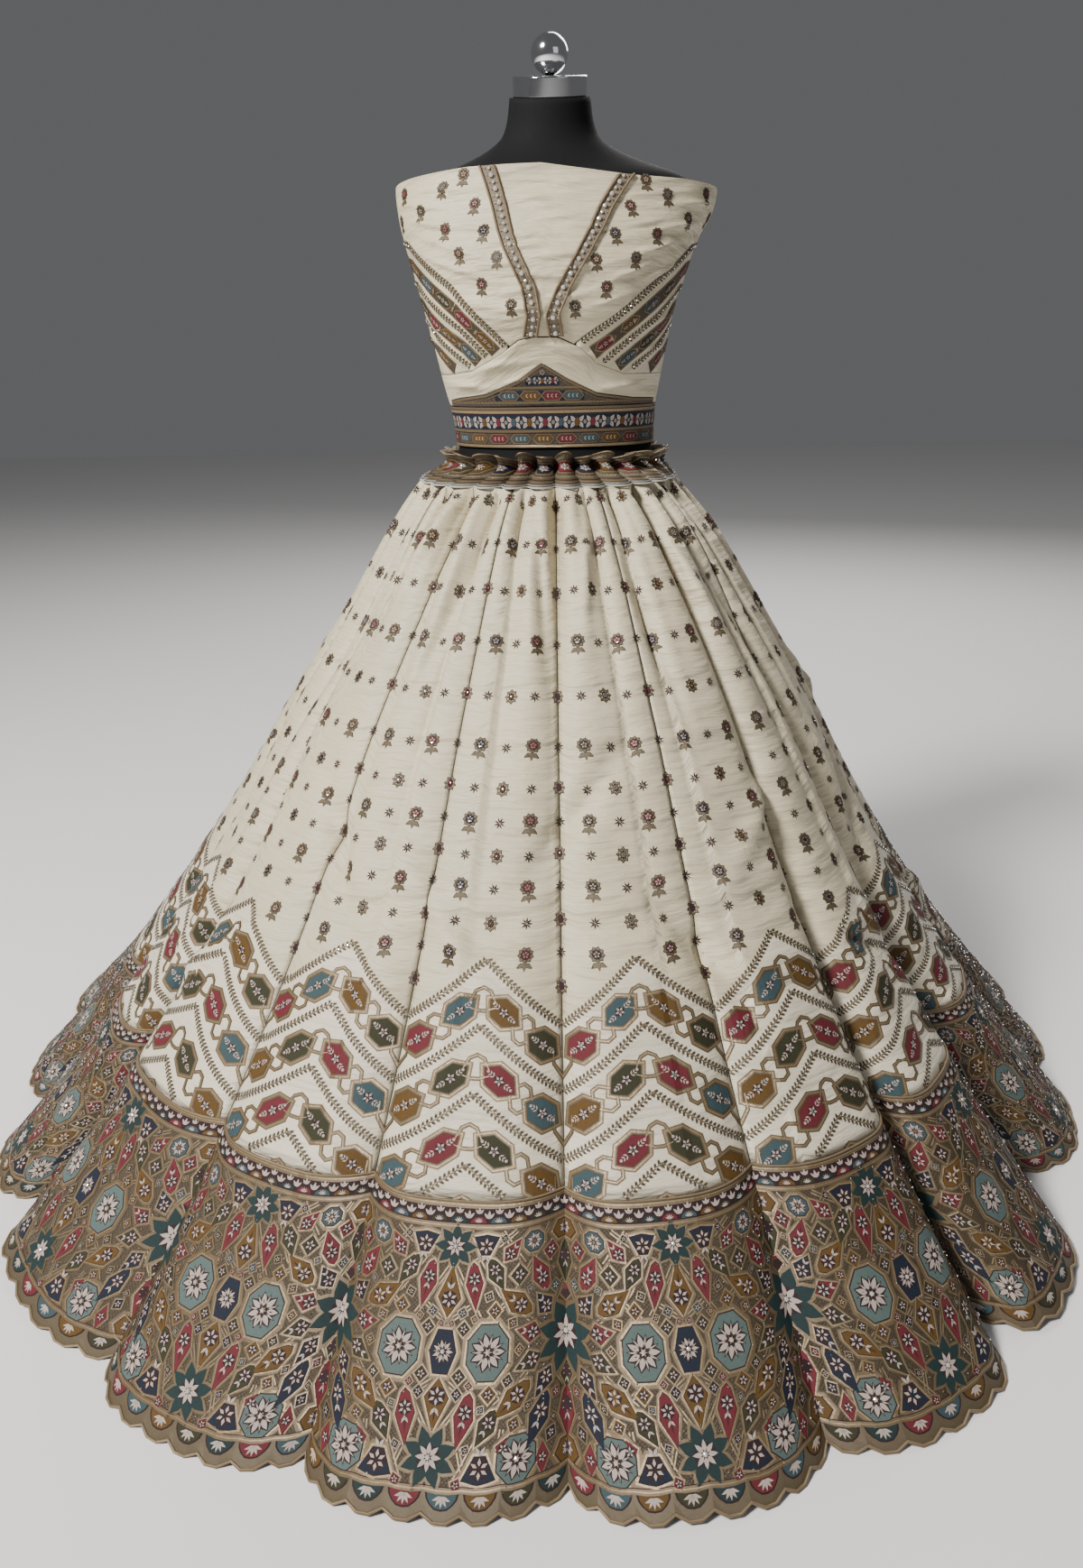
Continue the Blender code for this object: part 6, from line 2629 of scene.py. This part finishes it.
    @staticmethod
    def lens(size: float, drop: Thread) -> Motif:
        """A coloured drop with four white leaves that reach to its corners.

        Args:
            size: Scale against the drawn size.
            drop: Thread of the drop.

        Returns:
            The patches.
        """
        w, h = 0.0098 * size, 0.0090 * size
        patches: Motif = []
        for side in (-1, 1):
            for end in (-1, 1):
                turn = math.atan2(end * h * 0.95, side * w * 0.62)
                x = side * w * 0.30
                patches += leaf(x, end * h * 0.02, h * 1.02, w * 0.52, turn, Thread.WHITE, LOW)
                patches += leaf(x, end * h * 0.10, h * 0.84, w * 0.05, turn, Thread.MAROON, MID)
            patches += disc(side * w, 0, w * 0.18, h * 0.30, Thread.STONE, LOW)
        patches += disc(0, 0, w * 0.36, h * 0.72, Thread.MAROON, MID + 0.0001)
        return patches + disc(0, 0, w * 0.28, h * 0.60, drop, HIGH)

    @staticmethod
    def belt_cell(ground: Thread) -> Motif:
        """A long hexagon of the belt with gold edges, white strokes and crossed ends.

        Args:
            ground: Thread of the inside.

        Returns:
            The patches.
        """
        a, b, h = 0.0138, 0.0085, 0.0058
        edge = [(-a, 0), (-b, -h), (b, -h), (a, 0), (b, h), (-b, h)]
        patches: Motif = [Patch(tuple((x * 1.05, y * 1.08) for x, y in edge), Thread.GOLD, LOW)]
        patches += [Patch(tuple((x * 0.90, y * 0.84) for x, y in edge), Thread.MAROON, LOW + 0.0001)]
        patches += [Patch(tuple((x * 0.84, y * 0.74) for x, y in edge), ground, MID)]
        for x in (-0.0052, 0.0, 0.0052):
            for side in (-1, 1):
                patches += leaf(x - 0.0012, 0, 0.0036, 0.0013, side * 0.8, Thread.WHITE, HIGH)
        return patches

    def insert_work(self) -> None:
        """Two rows of small blooms and hexagons on the peak insert, edged with gold."""
        work = Stitching(self.cloth, whole=1.6)
        edge = between(PEAK_EDGE, -71.0, 71.0, 90)
        for drop, width in ((0.0022, 0.0026), (0.0062, 0.0010)):
            line = edge.copy()
            line[:, 1] = np.maximum(line[:, 1] - drop, BELT_TOP + 0.0012)
            self.follow(work, line, 0.004, lambda i, w=width: bar(0.0021, w, Thread.GOLD, LOW))
        tones = (Thread.BLUE, Thread.MUSTARD, Thread.ROSE, Thread.BLUE, Thread.OLIVE)
        for start, stop, height in ((-17.5, 3.5, 1.0020), (-37.0, 19.5, 0.9838)):
            level = np.array([(start, height), (stop, height)])
            self.follow(work, level, 0.0050, lambda i: bar(0.0026, 0.0125, Thread.NAVY, FLAT))
        upper = np.array([(-16.5, 1.0020), (2.5, 1.0020)])
        self.follow(work, upper, 0.0110, lambda i: self.lens(0.62, tones[i % 5]))
        lower = np.array([(-35.0, 0.9838), (19.0, 0.9838)])
        self.follow(work, lower, 0.0270, lambda i: self.belt_cell(tones[i % 5]))
        row, col = self.place(-6.9, 1.0120)
        work.lay(MotifBook.bloom(0.0042, 5, Thread.WHITE, Thread.MAROON), row, col)
        for start, stop, height in ((-29.0, 18.0, 0.9935), (-70.0, 70.0, 0.9755)):
            level = np.array([(start, height), (stop, height)])
            self.follow(work, level, 0.0040, lambda i: bar(0.0021, 0.0030, Thread.GOLD, LOW))
        work.mesh("insert_embroidery", self.finishes)

    def belt_work(self) -> None:
        """The belt's bands: leaf pairs on navy above, hexagons below, gold between."""
        work = Stitching(self.cloth, whole=1.6)

        def at_height(z: float) -> np.ndarray:
            """A level line round the belt."""
            return between(((-180, z), (180, z)), -180.0, 179.9, 181)

        for z, width, thread in (
            (0.9682, 0.0030, Thread.GOLD), (0.9640, 0.0036, Thread.PALE_GOLD),
            (0.9661, 0.0008, Thread.MAROON), (0.9612, 0.0010, Thread.MAROON),
            (0.9402, 0.0036, Thread.GOLD), (0.9216, 0.0034, Thread.PALE_GOLD),
            (0.9382, 0.0009, Thread.MAROON), (0.9236, 0.0009, Thread.MAROON),
        ):
            self.follow(work, at_height(z), 0.0042, lambda i, w=width, t=thread: bar(0.0022, w, t, LOW))
        self.follow(work, at_height(0.9512), 0.0060, lambda i: bar(0.0032, 0.0180, Thread.NAVY, FLAT))
        drops = (Thread.ROSE, Thread.BLUE, Thread.MUSTARD)
        self.follow(work, at_height(0.9512), 0.0200, lambda i: self.lens(1.0, drops[i % 3]))
        tones = (Thread.MUSTARD, Thread.ROSE, Thread.BLUE)
        self.follow(work, at_height(0.9308), 0.0290, lambda i: self.belt_cell(tones[i % 3]))
        work.mesh("belt_embroidery", self.finishes)

    def trim(self, node: str, line: tuple) -> list[np.ndarray]:
        """A neckline trim's base, with the lines that its two cords follow.

        Args:
            node: CAD node that it stands for.
            line: Bearings and heights in order.

        Returns:
            One line for each cord.
        """
        spots = walk_line(line, 60)
        spots[:, 1] = np.minimum(spots[:, 1], line_height(TOP_EDGE, spots[:, 0]) - 0.001)
        middle = choli_surface(spots[:, 0], spots[:, 1], 0.0)
        half = np.degrees(0.009 / np.linalg.norm(middle[:, :2], axis=1))
        sides = np.linspace(-1.0, 1.0, 7)
        bearing = spots[::-1, 0][:, None] + sides[None] * half[::-1][:, None]
        z = np.broadcast_to(spots[::-1, 1][:, None], bearing.shape)
        outer = choli_surface(bearing, z, CHOLI_WALL + 0.0020)
        inner = choli_surface(bearing, z, CHOLI_WALL + 0.0006)
        across, down = lengths_along(outer, 1), lengths_along(outer, 0)
        flat = np.stack([across, down], axis=2)
        look = self.finishes.zari(Zari.TRIM)
        item = shell_mesh(f"{node}_base", outer, inner, look, flat)
        declare_sheet(item, node, outer, across, down)
        for i in range(24):
            t = (i + 0.5) / 24 * 59
            a = np.interp(t, np.arange(60), spots[:, 0])
            h = np.interp(t, np.arange(60), spots[:, 1])
            row, col = self.place(a, h)
            self.stones.sew(self.cloth, row, col, 0.0032, 0.0030 if i % 2 == 0 else 0.0021)
            for side in (-1, 1):
                shift = side * float(half[0]) * 0.52
                self.sequins.sew(self.cloth, row, col + shift / self.step_deg, 0.0028, 0.0011)
        lines = []
        for side in (-0.84, 0.84):
            lines.append(choli_surface(spots[:, 0] + side * half, spots[:, 1], CHOLI_WALL + 0.0032))
        return lines

    def build(self) -> list[np.ndarray]:
        """Build the blouse and hand back the lines its cords follow.

        Returns:
            The lines.
        """
        self.panels()
        self.stripes()
        self.buds()
        self.insert_work()
        self.belt_work()
        return self.trim("trim_left", LEFT_TRIM) + self.trim("trim_right", RIGHT_TRIM)


# Bearing in degrees and height of each bud on the busts
CHOLI_BUDS = (
    (-45.2, 1.234), (-53.1, 1.221), (-38.4, 1.201), (-61.7, 1.197), (-48.7, 1.174), (-31.7, 1.170),
    (-40.8, 1.146), (-24.6, 1.140), (-31.4, 1.111), (-18.7, 1.087), (-72.0, 1.219), (-76.5, 1.190),
    (47.0, 1.224), (54.3, 1.208), (38.7, 1.195), (63.0, 1.183), (47.7, 1.164), (29.4, 1.164),
    (19.6, 1.135), (36.9, 1.137), (24.1, 1.105), (10.2, 1.084), (72.0, 1.212), (79.0, 1.188),
    (105.0, 1.190), (125.0, 1.178), (145.0, 1.160), (115.0, 1.150), (135.0, 1.135), (158.0, 1.125),
    (-105.0, 1.190), (-125.0, 1.178), (-145.0, 1.160), (-115.0, 1.150), (-135.0, 1.135), (-158.0, 1.125),
)


@dataclass
class WaistCasing:
    """The gathered casing that joins the skirt to the waist."""

    finishes: FinishBook
    stones: BeadBag
    sequins: BeadBag
    steps: int = 10
    rows: int = 16

    def columns(self) -> tuple[np.ndarray, np.ndarray]:
        """Bearing in radians and wave of every column, ruffle after ruffle.

        Returns:
            The bearings and the waves.
        """
        total = sum(RUFFLES[i % len(RUFFLES)][0] for i in range(GATHERS))
        turns, waves, place = [], [], 0.0
        for i in range(GATHERS):
            width, height = RUFFLES[i % len(RUFFLES)]
            for step in range(self.steps):
                share = step / self.steps
                waves.append(max(-1.2, 1.0 - 2.0 * (1.0 - math.sin(math.pi * share) ** 0.8) * height))
                turns.append(2.0 * math.pi * (place + width * share) / total)
            place += width
        return np.array(turns), np.array(waves)

    def face(self, z: np.ndarray, turns: np.ndarray, waves: np.ndarray) -> np.ndarray:
        """Points on the casing, its ruffles fuller and its edge uneven towards the top.

        Args:
            z: Heights.
            turns: Bearing in radians of every column.
            waves: Wave of every column.

        Returns:
            The points.
        """
        share = (z - CASING_LOW) / (CASING_HIGH - CASING_LOW)
        fuller = 0.0026 + 0.0020 * share
        shape = np.broadcast_shapes(z.shape, turns.shape)
        radius = CASING.radius(np.broadcast_to(turns, shape), np.broadcast_to(z, shape))
        ahead = np.abs(np.cos(turns)) ** 1.5
        wave = np.where(waves > 0.0, 0.25 + 0.95 * ahead, 1.0 + 0.3 * ahead) * waves
        radius = radius + wave * (CASING.curves[4](z) + fuller) - 0.0010
        body = FORM.radius(np.broadcast_to(turns, shape), np.broadcast_to(z, shape))
        radius = np.maximum(radius, body + 0.0022 + 0.0006 * waves)
        roll = 0.0042 * share**2 * (waves + 0.8 * np.sin(turns * 17.0)) * (0.4 + 0.6 * ahead)
        return on_bearing(np.broadcast_to(turns, shape), radius, z + roll)

    def build(self) -> list[np.ndarray]:
        """Build the casing and its embroidery; hand back the lines its piping follows.

        Returns:
            The lines.
        """
        turns, waves = self.columns()
        z = np.linspace(CASING_HIGH, CASING_LOW, self.rows)[:, None]
        outer = self.face(z, turns[None], waves[None])
        normals = ClothMap(outer, wraps=True).normals
        inner = outer - normals * SHELL_WALL
        closed = np.concatenate([outer, outer[:, :1]], axis=1)
        across, down = lengths_along(closed, 1), lengths_along(outer, 0)
        flat = np.stack([across[:, :-1], down], axis=2)
        look = self.finishes.zari(Zari.CASING)
        item = shell_mesh("waist_casing_cloth", outer, inner, look, flat, closed=True)
        declare_sheet(item, "waist_casing", closed, across, down)
        self.embroider(outer)
        lines = []
        for height, off in ((0.8782, 0.0019), (0.8760, 0.0021)):
            spread = self.face(np.array([[height]]), turns[None], waves[None])[0]
            spread[:, :2] *= 1.0 + off / np.linalg.norm(spread[:, :2], axis=1, keepdims=True)
            lines.append(spread)
        lines.append(outer[0] + normals[0] * 0.0004)
        return lines

    def embroider(self, outer: np.ndarray) -> None:
        """Coloured hexagons with white flowers round the casing, and its gold bands.

        Args:
            outer: The casing's face side.
        """
        work = Stitching(ClothMap(outer, wraps=True), whole=2.2)
        cols, rows = outer.shape[1], outer.shape[0] - 1
        tones = (
            Thread.ROSE, Thread.NAVY, Thread.MUSTARD, Thread.ROSE, Thread.OLIVE, Thread.MUSTARD, Thread.NAVY,
        )
        bloom = MotifBook.bloom(0.0040, 5, Thread.STONE, Thread.MAROON)
        for i in range(GATHERS):
            col = (i + 0.48) / GATHERS * cols
            row = 0.42 * rows
            cell = BorderCell(0.0, 0.0, "hexagon", 0.0150, 0.0098, tones[i % 7])
            work.lay(cell.motif(), row, col)
            self.stones.sew(work.cloth, row, col, 0.0014, 0.0015)
            for side in (-1, 1):
                self.sequins.sew(work.cloth, row + 1.2 * side, col + 1.8 * side, 0.0014, 0.0013)
            work.lay(bloom, 0.62 * rows, col + 0.5 * cols / GATHERS)
        for low, high, thread, lift in (
            (0.72, 0.90, Thread.AGED_GOLD, LOW), (0.78, 0.80, Thread.MAROON, MID),
            (0.84, 0.86, Thread.PALE_GOLD, MID), (0.0, 0.07, Thread.GOLD, LOW),
        ):
            work.stripe(range(cols), low * rows, high * rows, thread, lift)
        work.mesh("casing_embroidery", self.finishes)


def node_tree(name: str, inputs: tuple[tuple[str, str, object], ...]
              ) -> tuple[Graph, bpy.types.Node, bpy.types.Node, dict[str, str]]:
    """A new geometry node tree with named inputs, its graph, input and output nodes.

    Args:
        name: Name of the tree.
        inputs: Name, socket type and default of each input.

    Returns:
        The graph, both nodes and each input's identifier.
    """
    tree = bpy.data.node_groups.new(name, "GeometryNodeTree")
    tree.interface.new_socket("Geometry", in_out="INPUT", socket_type="NodeSocketGeometry")
    sockets = {}
    for key, kind, value in inputs:
        socket = tree.interface.new_socket(key, in_out="INPUT", socket_type=kind)
        if value is not None:
            socket.default_value = value
        sockets[key] = socket.identifier
    tree.interface.new_socket("Geometry", in_out="OUTPUT", socket_type="NodeSocketGeometry")
    graph = Graph(tree)
    return graph, graph.add("NodeGroupInput"), graph.add("NodeGroupOutput"), sockets


def settled(item: bpy.types.Object, tree: bpy.types.NodeTree, values: dict, name: str) -> bpy.types.Object:
    """Run a node tree on an object and keep the result as a plain mesh.

    Args:
        item: Object that carries the tree's input geometry.
        tree: The geometry node tree.
        values: Value for each of the tree's input sockets.
        name: Name of the finished object.

    Returns:
        The finished object, riding with the dress.
    """
    modifier = item.modifiers.new(name, "NODES")
    modifier.node_group = tree
    for key, value in values.items():
        modifier[key] = value
    graph = bpy.context.evaluated_depsgraph_get()
    data = bpy.data.meshes.new_from_object(item.evaluated_get(graph))
    item.modifiers.clear()
    bpy.data.objects.remove(item)
    data.name = name
    result = link(bpy.data.objects.new(name, data))
    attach(result, "root")
    return result


@dataclass
class BeadWork:
    """Sews a bag of beads, sequins or stones on by instancing one small shape."""

    name: str
    shape: bpy.types.Object
    material: bpy.types.Material

    def tree(self) -> tuple[bpy.types.NodeTree, dict[str, str]]:
        """Points to instances that face out of the cloth, made real.

        Returns:
            The tree and its inputs' identifiers.
        """
        g, given, out, sockets = node_tree(
            self.name, (("Piece", "NodeSocketObject", None), ("Finish", "NodeSocketMaterial", None))
        )
        facing = g.add("GeometryNodeInputNamedAttribute", data_type="FLOAT_VECTOR")
        facing.inputs[0].default_value = "facing"
        size = g.add("GeometryNodeInputNamedAttribute", data_type="FLOAT")
        size.inputs[0].default_value = "size"
        turn = g.add("FunctionNodeAlignRotationToVector", axis="Z")
        g.wire(facing.outputs[0], turn.inputs["Vector"])
        piece = g.add("GeometryNodeObjectInfo")
        g.wire(given.outputs["Piece"], piece.inputs[0])
        points = g.add("GeometryNodeMeshToPoints")
        g.wire(given.outputs["Geometry"], points.inputs["Mesh"])
        place = g.add("GeometryNodeInstanceOnPoints")
        g.wire(points.outputs[0], place.inputs["Points"])
        g.wire(piece.outputs["Geometry"], place.inputs["Instance"])
        g.wire(turn.outputs[0], place.inputs["Rotation"])
        g.wire(size.outputs[0], place.inputs["Scale"])
        g.finished(place.outputs[0], given, out)
        return g.tree, sockets

    def build(self, bag: BeadBag) -> bpy.types.Object:
        """Sew the bag on and hand back the finished piece.

        Args:
            bag: What is sewn on.

        Returns:
            The finished piece.
        """
        data = bpy.data.meshes.new(f"{self.name}_points")
        data.from_pydata([tuple(p) for p in bag.places], [], [])
        data.attributes.new("facing", "FLOAT_VECTOR", "POINT").data.foreach_set(
            "vector", np.array(bag.facings, float).ravel())
        data.attributes.new("size", "FLOAT", "POINT").data.foreach_set("value", bag.sizes)
        carrier = link(bpy.data.objects.new(f"{self.name}_points", data))
        tree, sockets = self.tree()
        values = {sockets["Piece"]: self.shape, sockets["Finish"]: self.material}
        item = settled(carrier, tree, values, self.name)
        bpy.data.objects.remove(self.shape)
        LOG.info("%s: %d pieces", self.name, len(bag.places))
        return item


def small_shape(name: str, rings: tuple[tuple[float, float], ...], sides: int) -> bpy.types.Object:
    """A small turned shape of radius one, its axis up, closed at both ends.

    Args:
        name: Name of the new object.
        rings: Radius and height of each ring, from below.
        sides: How many sides.

    Returns:
        The object, not yet in the scene.
    """
    verts, faces = [], []
    for radius, z in rings:
        for j in range(sides):
            a = 2 * math.pi * j / sides
            verts.append((radius * math.cos(a), radius * math.sin(a), z))
    for i in range(len(rings) - 1):
        for j in range(sides):
            k = (j + 1) % sides
            faces.append((i * sides + j, i * sides + k, (i + 1) * sides + k, (i + 1) * sides + j))
    faces.append(tuple(range(sides))[::-1])
    last = (len(rings) - 1) * sides
    faces.append(tuple(range(last, last + sides)))
    data = bpy.data.meshes.new(name)
    data.from_pydata(verts, [], faces)
    return bpy.data.objects.new(name, data)


@dataclass
class CordWork:
    """Lays round cords along lines of points."""

    name: str
    radius: float
    material: bpy.types.Material
    sides: int = 6

    def tree(self) -> tuple[bpy.types.NodeTree, dict[str, str]]:
        """Edges to a swept round cord with its finish.

        Returns:
            The tree and its inputs' identifiers.
        """
        g, given, out, sockets = node_tree(
            self.name, (("Radius", "NodeSocketFloat", 0.001), ("Finish", "NodeSocketMaterial", None))
        )
        curve = g.add("GeometryNodeMeshToCurve")
        g.wire(given.outputs["Geometry"], curve.inputs[0])
        circle = g.add("GeometryNodeCurvePrimitiveCircle", Resolution=self.sides)
        g.wire(given.outputs["Radius"], circle.inputs["Radius"])
        sweep = g.add("GeometryNodeCurveToMesh")
        g.wire(curve.outputs[0], sweep.inputs["Curve"])
        g.wire(circle.outputs[0], sweep.inputs["Profile Curve"])
        sweep.inputs["Fill Caps"].default_value = True
        g.finished(sweep.outputs[0], given, out)
        return g.tree, sockets

    def build(self, lines: list[np.ndarray], closed: bool) -> bpy.types.Object:
        """Sweep the cord along every line and hand back the finished piece.

        Args:
            lines: Points of each line in order.
            closed: Whether each line ends where it starts.

        Returns:
            The finished piece.
        """
        verts, edges = [], []
        for line in lines:
            first = len(verts)
            verts += [tuple(p) for p in line]
            edges += [(first + i, first + i + 1) for i in range(len(line) - 1)]
            if closed:
                edges.append((first + len(line) - 1, first))
        data = bpy.data.meshes.new(f"{self.name}_path")
        data.from_pydata(verts, edges, [])
        carrier = link(bpy.data.objects.new(f"{self.name}_path", data))
        tree, sockets = self.tree()
        values = {sockets["Radius"]: self.radius, sockets["Finish"]: self.material}
        item = settled(carrier, tree, values, self.name)
        for polygon in item.data.polygons:
            polygon.use_smooth = True
        loops = [np.concatenate([line, line[:1]]) if closed else line for line in lines]
        length = sum(np.linalg.norm(np.diff(loop, axis=0), axis=1).sum() for loop in loops)
        LOG.info("%s: %.3f m of cord", self.name, length)
        return item


@dataclass
class DressForm:
    """The limbless form, its cap and ball, and the stand under it."""

    finishes: FinishBook
    segments: int = 72
    rows: int = 90

    def build(self) -> None:
        """Build the smooth form and fittings; dress the pole and base as they are."""
        heights = np.linspace(FORM_PROFILE[0][0], FORM_PROFILE[-1][0], self.rows)[:, None]
        turns = np.linspace(-math.pi, math.pi, self.segments, endpoint=False)[None]
        turns, z = np.broadcast_arrays(turns, heights)
        blend = np.clip((z - SHOULDER_Z) / SHOULDER_RISE, 0.0, 1.0)
        radius = FORM.radius(turns, z, CHOLI_SQUARENESS - 0.4 * blend) - FORM_EASE
        points = on_bearing(turns, radius, z)
        points[..., 2] += points[..., 1] * FORM.curves[4](z)
        self.turned_form(points[::-1])
        tilt = math.atan(NECK_TILT)
        chrome = self.finishes.metal("chrome", (0.80, 0.80, 0.82), 0.10)
        neck = FORM_PROFILE[-1][0] + 0.0003
        self.fitting("neck_cap", CAP_PROFILE, chrome, neck, tilt)
        rise = CAP_PROFILE[-1][1] + 0.0003 + BALL_RADIUS * math.cos(math.pi / 12)
        ball = tuple(
            (BALL_RADIUS * math.sin(math.pi * i / 24), rise - BALL_RADIUS * math.cos(math.pi * i / 24))
            for i in range(2, 23)
        )
        self.fitting("finial_ball", ball, chrome, neck, tilt)
        for node, look in (("stand_pole", chrome), ("stand_base", self.finishes.paint())):
            part = bpy.data.objects[node]
            part.data.materials.clear()
            part.data.materials.append(look)

    def turned_form(self, points: np.ndarray) -> None:
        """The form's body as one closed mesh.

        Args:
            points: Grid of points, from the top down.
        """
        rows, cols = points.shape[:2]
        faces = []
        for i in range(rows - 1):
            for j in range(cols):
                k = (j + 1) % cols
                faces.append((i * cols + j, (i + 1) * cols + j, (i + 1) * cols + k, i * cols + k))
        faces.append(tuple(range(cols)))
        last = (rows - 1) * cols
        faces.append(tuple(range(last, last + cols))[::-1])
        data = bpy.data.meshes.new("form_body")
        data.from_pydata(points.reshape(-1, 3).tolist(), [], faces)
        data.polygons.foreach_set("use_smooth", [True] * (len(faces) - 2) + [False] * 2)
        data.materials.append(self.finishes.jersey())
        item = link(bpy.data.objects.new("form_body", data))
        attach(item, "root")
        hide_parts("dress_form")

    def fitting(self, node: str, profile: tuple, look: bpy.types.Material, z: float, tilt: float) -> None:
        """A turned chrome fitting on the neck's axis.

        Args:
            node: CAD node that it stands for.
            profile: Radius and height of each ring.
            look: Its finish.
            z: Height of its foot.
            tilt: Lean of the neck's axis in radians.
        """
        item = small_shape(f"{node}_polished", profile, 64)
        item.data.transform(Matrix.Translation((0, 0, z)) @ Matrix.Rotation(tilt, 4, "X"))
        item.data.polygons.foreach_set("use_smooth", [len(p.vertices) == 4 for p in item.data.polygons])
        item.data.materials.append(look)
        link(item)
        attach(item, "root")
        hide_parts(node)


# Lamps: name, place, size, power and tone
LAMPS = (
    ("key_light", (-2.5, -2.3, 3.7), 0.9, 390.0, (1.0, 0.97, 0.92)),
    ("fill_light", (2.6, -3.2, 2.0), 2.2, 10.0, (0.95, 0.97, 1.0)),
    ("rim_light", (1.2, 3.4, 3.4), 2.4, 120.0, (1.0, 0.98, 0.95)),
)
LAMP_AIM = (0.0, 0.0, 0.75)
FLOOR_TONE = (0.80, 0.795, 0.80, 1)
SKY_TONE = (0.86, 0.87, 0.89, 1)
SKY_POWER = 0.14
# Camera: place, then yaw, pitch and roll in degrees
EYE = (0.0, -1.632, 1.0334)
EYE_TURN = (-0.952, -20.8, 1.1)
# Focal length against the picture's height, both in its pixels, and the sensor's height in mm
FOCAL_SHARE = 1255.0 / 1738.0
SENSOR = 36.0

# Rings of a sequin and of a stone: radius and height against their size
SEQUIN_RINGS = ((1.0, -0.2), (0.62, 0.42))
STONE_RINGS = ((1.0, -0.3), (0.85, 0.34), (0.38, 0.60))


def build_stage() -> None:
    """A pale floor, soft studio lights and the camera."""
    bpy.ops.mesh.primitive_plane_add(size=24.0, location=(0, 0, 0))
    floor = bpy.context.object
    floor.name = "floor"
    material = bpy.data.materials.new("pale_floor")
    material.use_nodes = True
    surface = material.node_tree.nodes["Principled BSDF"]
    surface.inputs["Base Color"].default_value = FLOOR_TONE
    surface.inputs["Roughness"].default_value = 0.75
    floor.data.materials.append(material)
    for name, place, size, power, tone in LAMPS:
        data = bpy.data.lights.new(name, "AREA")
        data.size = size
        data.energy = power
        data.color = tone
        lamp = link(bpy.data.objects.new(name, data))
        lamp.location = place
        aim = Vector(LAMP_AIM) - Vector(place)
        lamp.rotation_euler = aim.to_track_quat("-Z", "Y").to_euler()
    world = bpy.data.worlds.new("studio")
    world.use_nodes = True
    sky = world.node_tree.nodes["Background"]
    sky.inputs[0].default_value = SKY_TONE
    sky.inputs[1].default_value = SKY_POWER
    bpy.context.scene.world = world


def build_camera() -> None:
    """The photo's viewpoint: close in front, looking down, turned a degree."""
    yaw, pitch, roll = (math.radians(angle) for angle in EYE_TURN)
    level_reach = math.cos(pitch)
    forward = Vector((math.sin(yaw) * level_reach, math.cos(yaw) * level_reach, math.sin(pitch)))
    level = Vector((math.cos(yaw), -math.sin(yaw), 0.0))
    above = level.cross(forward)
    right = level * math.cos(roll) - above * math.sin(roll)
    up = level * math.sin(roll) + above * math.cos(roll)
    data = bpy.data.cameras.new("photo_camera")
    data.sensor_width = SENSOR
    data.sensor_fit = "AUTO"
    data.lens = FOCAL_SHARE * SENSOR
    camera = link(bpy.data.objects.new("photo_camera", data))
    axes = Matrix((right, up, -forward)).transposed()
    camera.matrix_world = Matrix.Translation(EYE) @ axes.to_4x4()
    bpy.context.scene.camera = camera


def main() -> None:
    """Build, dress and report every piece in order."""
    logging.basicConfig(level=logging.INFO, format="%(message)s")
    finishes = FinishBook()
    sequins, stones = BeadBag(), BeadBag()
    LOG.info("form and stand")
    DressForm(finishes).build()
    LOG.info("choli")
    choli_lines = Choli(finishes, sequins, stones).build()
    LOG.info("waist casing")
    waist_lines = WaistCasing(finishes, stones, sequins).build()
    LOG.info("skirt")
    surface = SkirtCloth()
    LOG.info("cloth falls %.3f m from waist to hem", float(surface.v_rows[-1]))
    Skirt(surface, finishes, sequins, stones).build()
    gold = finishes.cord("gold_cord", (0.30, 0.22, 0.13), 0.4)
    pale = finishes.cord("ivory_piping", (0.62, 0.58, 0.50), 0.0)
    grey = finishes.cord("grey_piping", (0.30, 0.295, 0.29), 0.0)
    CordWork("trim_cords", 0.0015, gold).build(choli_lines, False)
    CordWork("waist_piping_grey", 0.0013, grey).build(waist_lines[:1], True)
    CordWork("waist_piping_ivory", 0.0013, pale).build(waist_lines[1:2], True)
    CordWork("waist_band_cords", 0.0010, gold).build(waist_lines[2:], True)
    rows = surface.cloth.points
    lift = surface.cloth.normals[KALI_ROWS] * 0.0008
    CordWork("border_piping", 0.0014, gold).build([rows[KALI_ROWS] + lift], True)
    edge = surface.cloth.points[-1] + surface.cloth.normals[-1] * 0.0006
    edge[:, 2] = np.maximum(edge[:, 2], 0.0016)
    CordWork("hem_cord", 0.0018, gold).build([edge], True)
    disc_shape = small_shape("sequin", SEQUIN_RINGS, 5)
    silver = finishes.metal("sequin_foil", (0.86, 0.83, 0.80), 0.22, 0.3)
    BeadWork("sequins", disc_shape, silver).build(sequins)
    stone_shape = small_shape("stone", STONE_RINGS, 8)
    foiled = finishes.gem("foiled_stone", (0.70, 0.66, 0.60))
    BeadWork("stones", stone_shape, foiled).build(stones)
    build_stage()
    build_camera()
    totals = {item.name: sum(len(face.vertices) - 2 for face in item.data.polygons)
              for item in bpy.data.objects if item.type == "MESH"}
    LOG.info("%d triangles in all, most in %s", sum(totals.values()), sorted(totals, key=totals.get)[-3:])


if __name__ == "__main__":
    main()
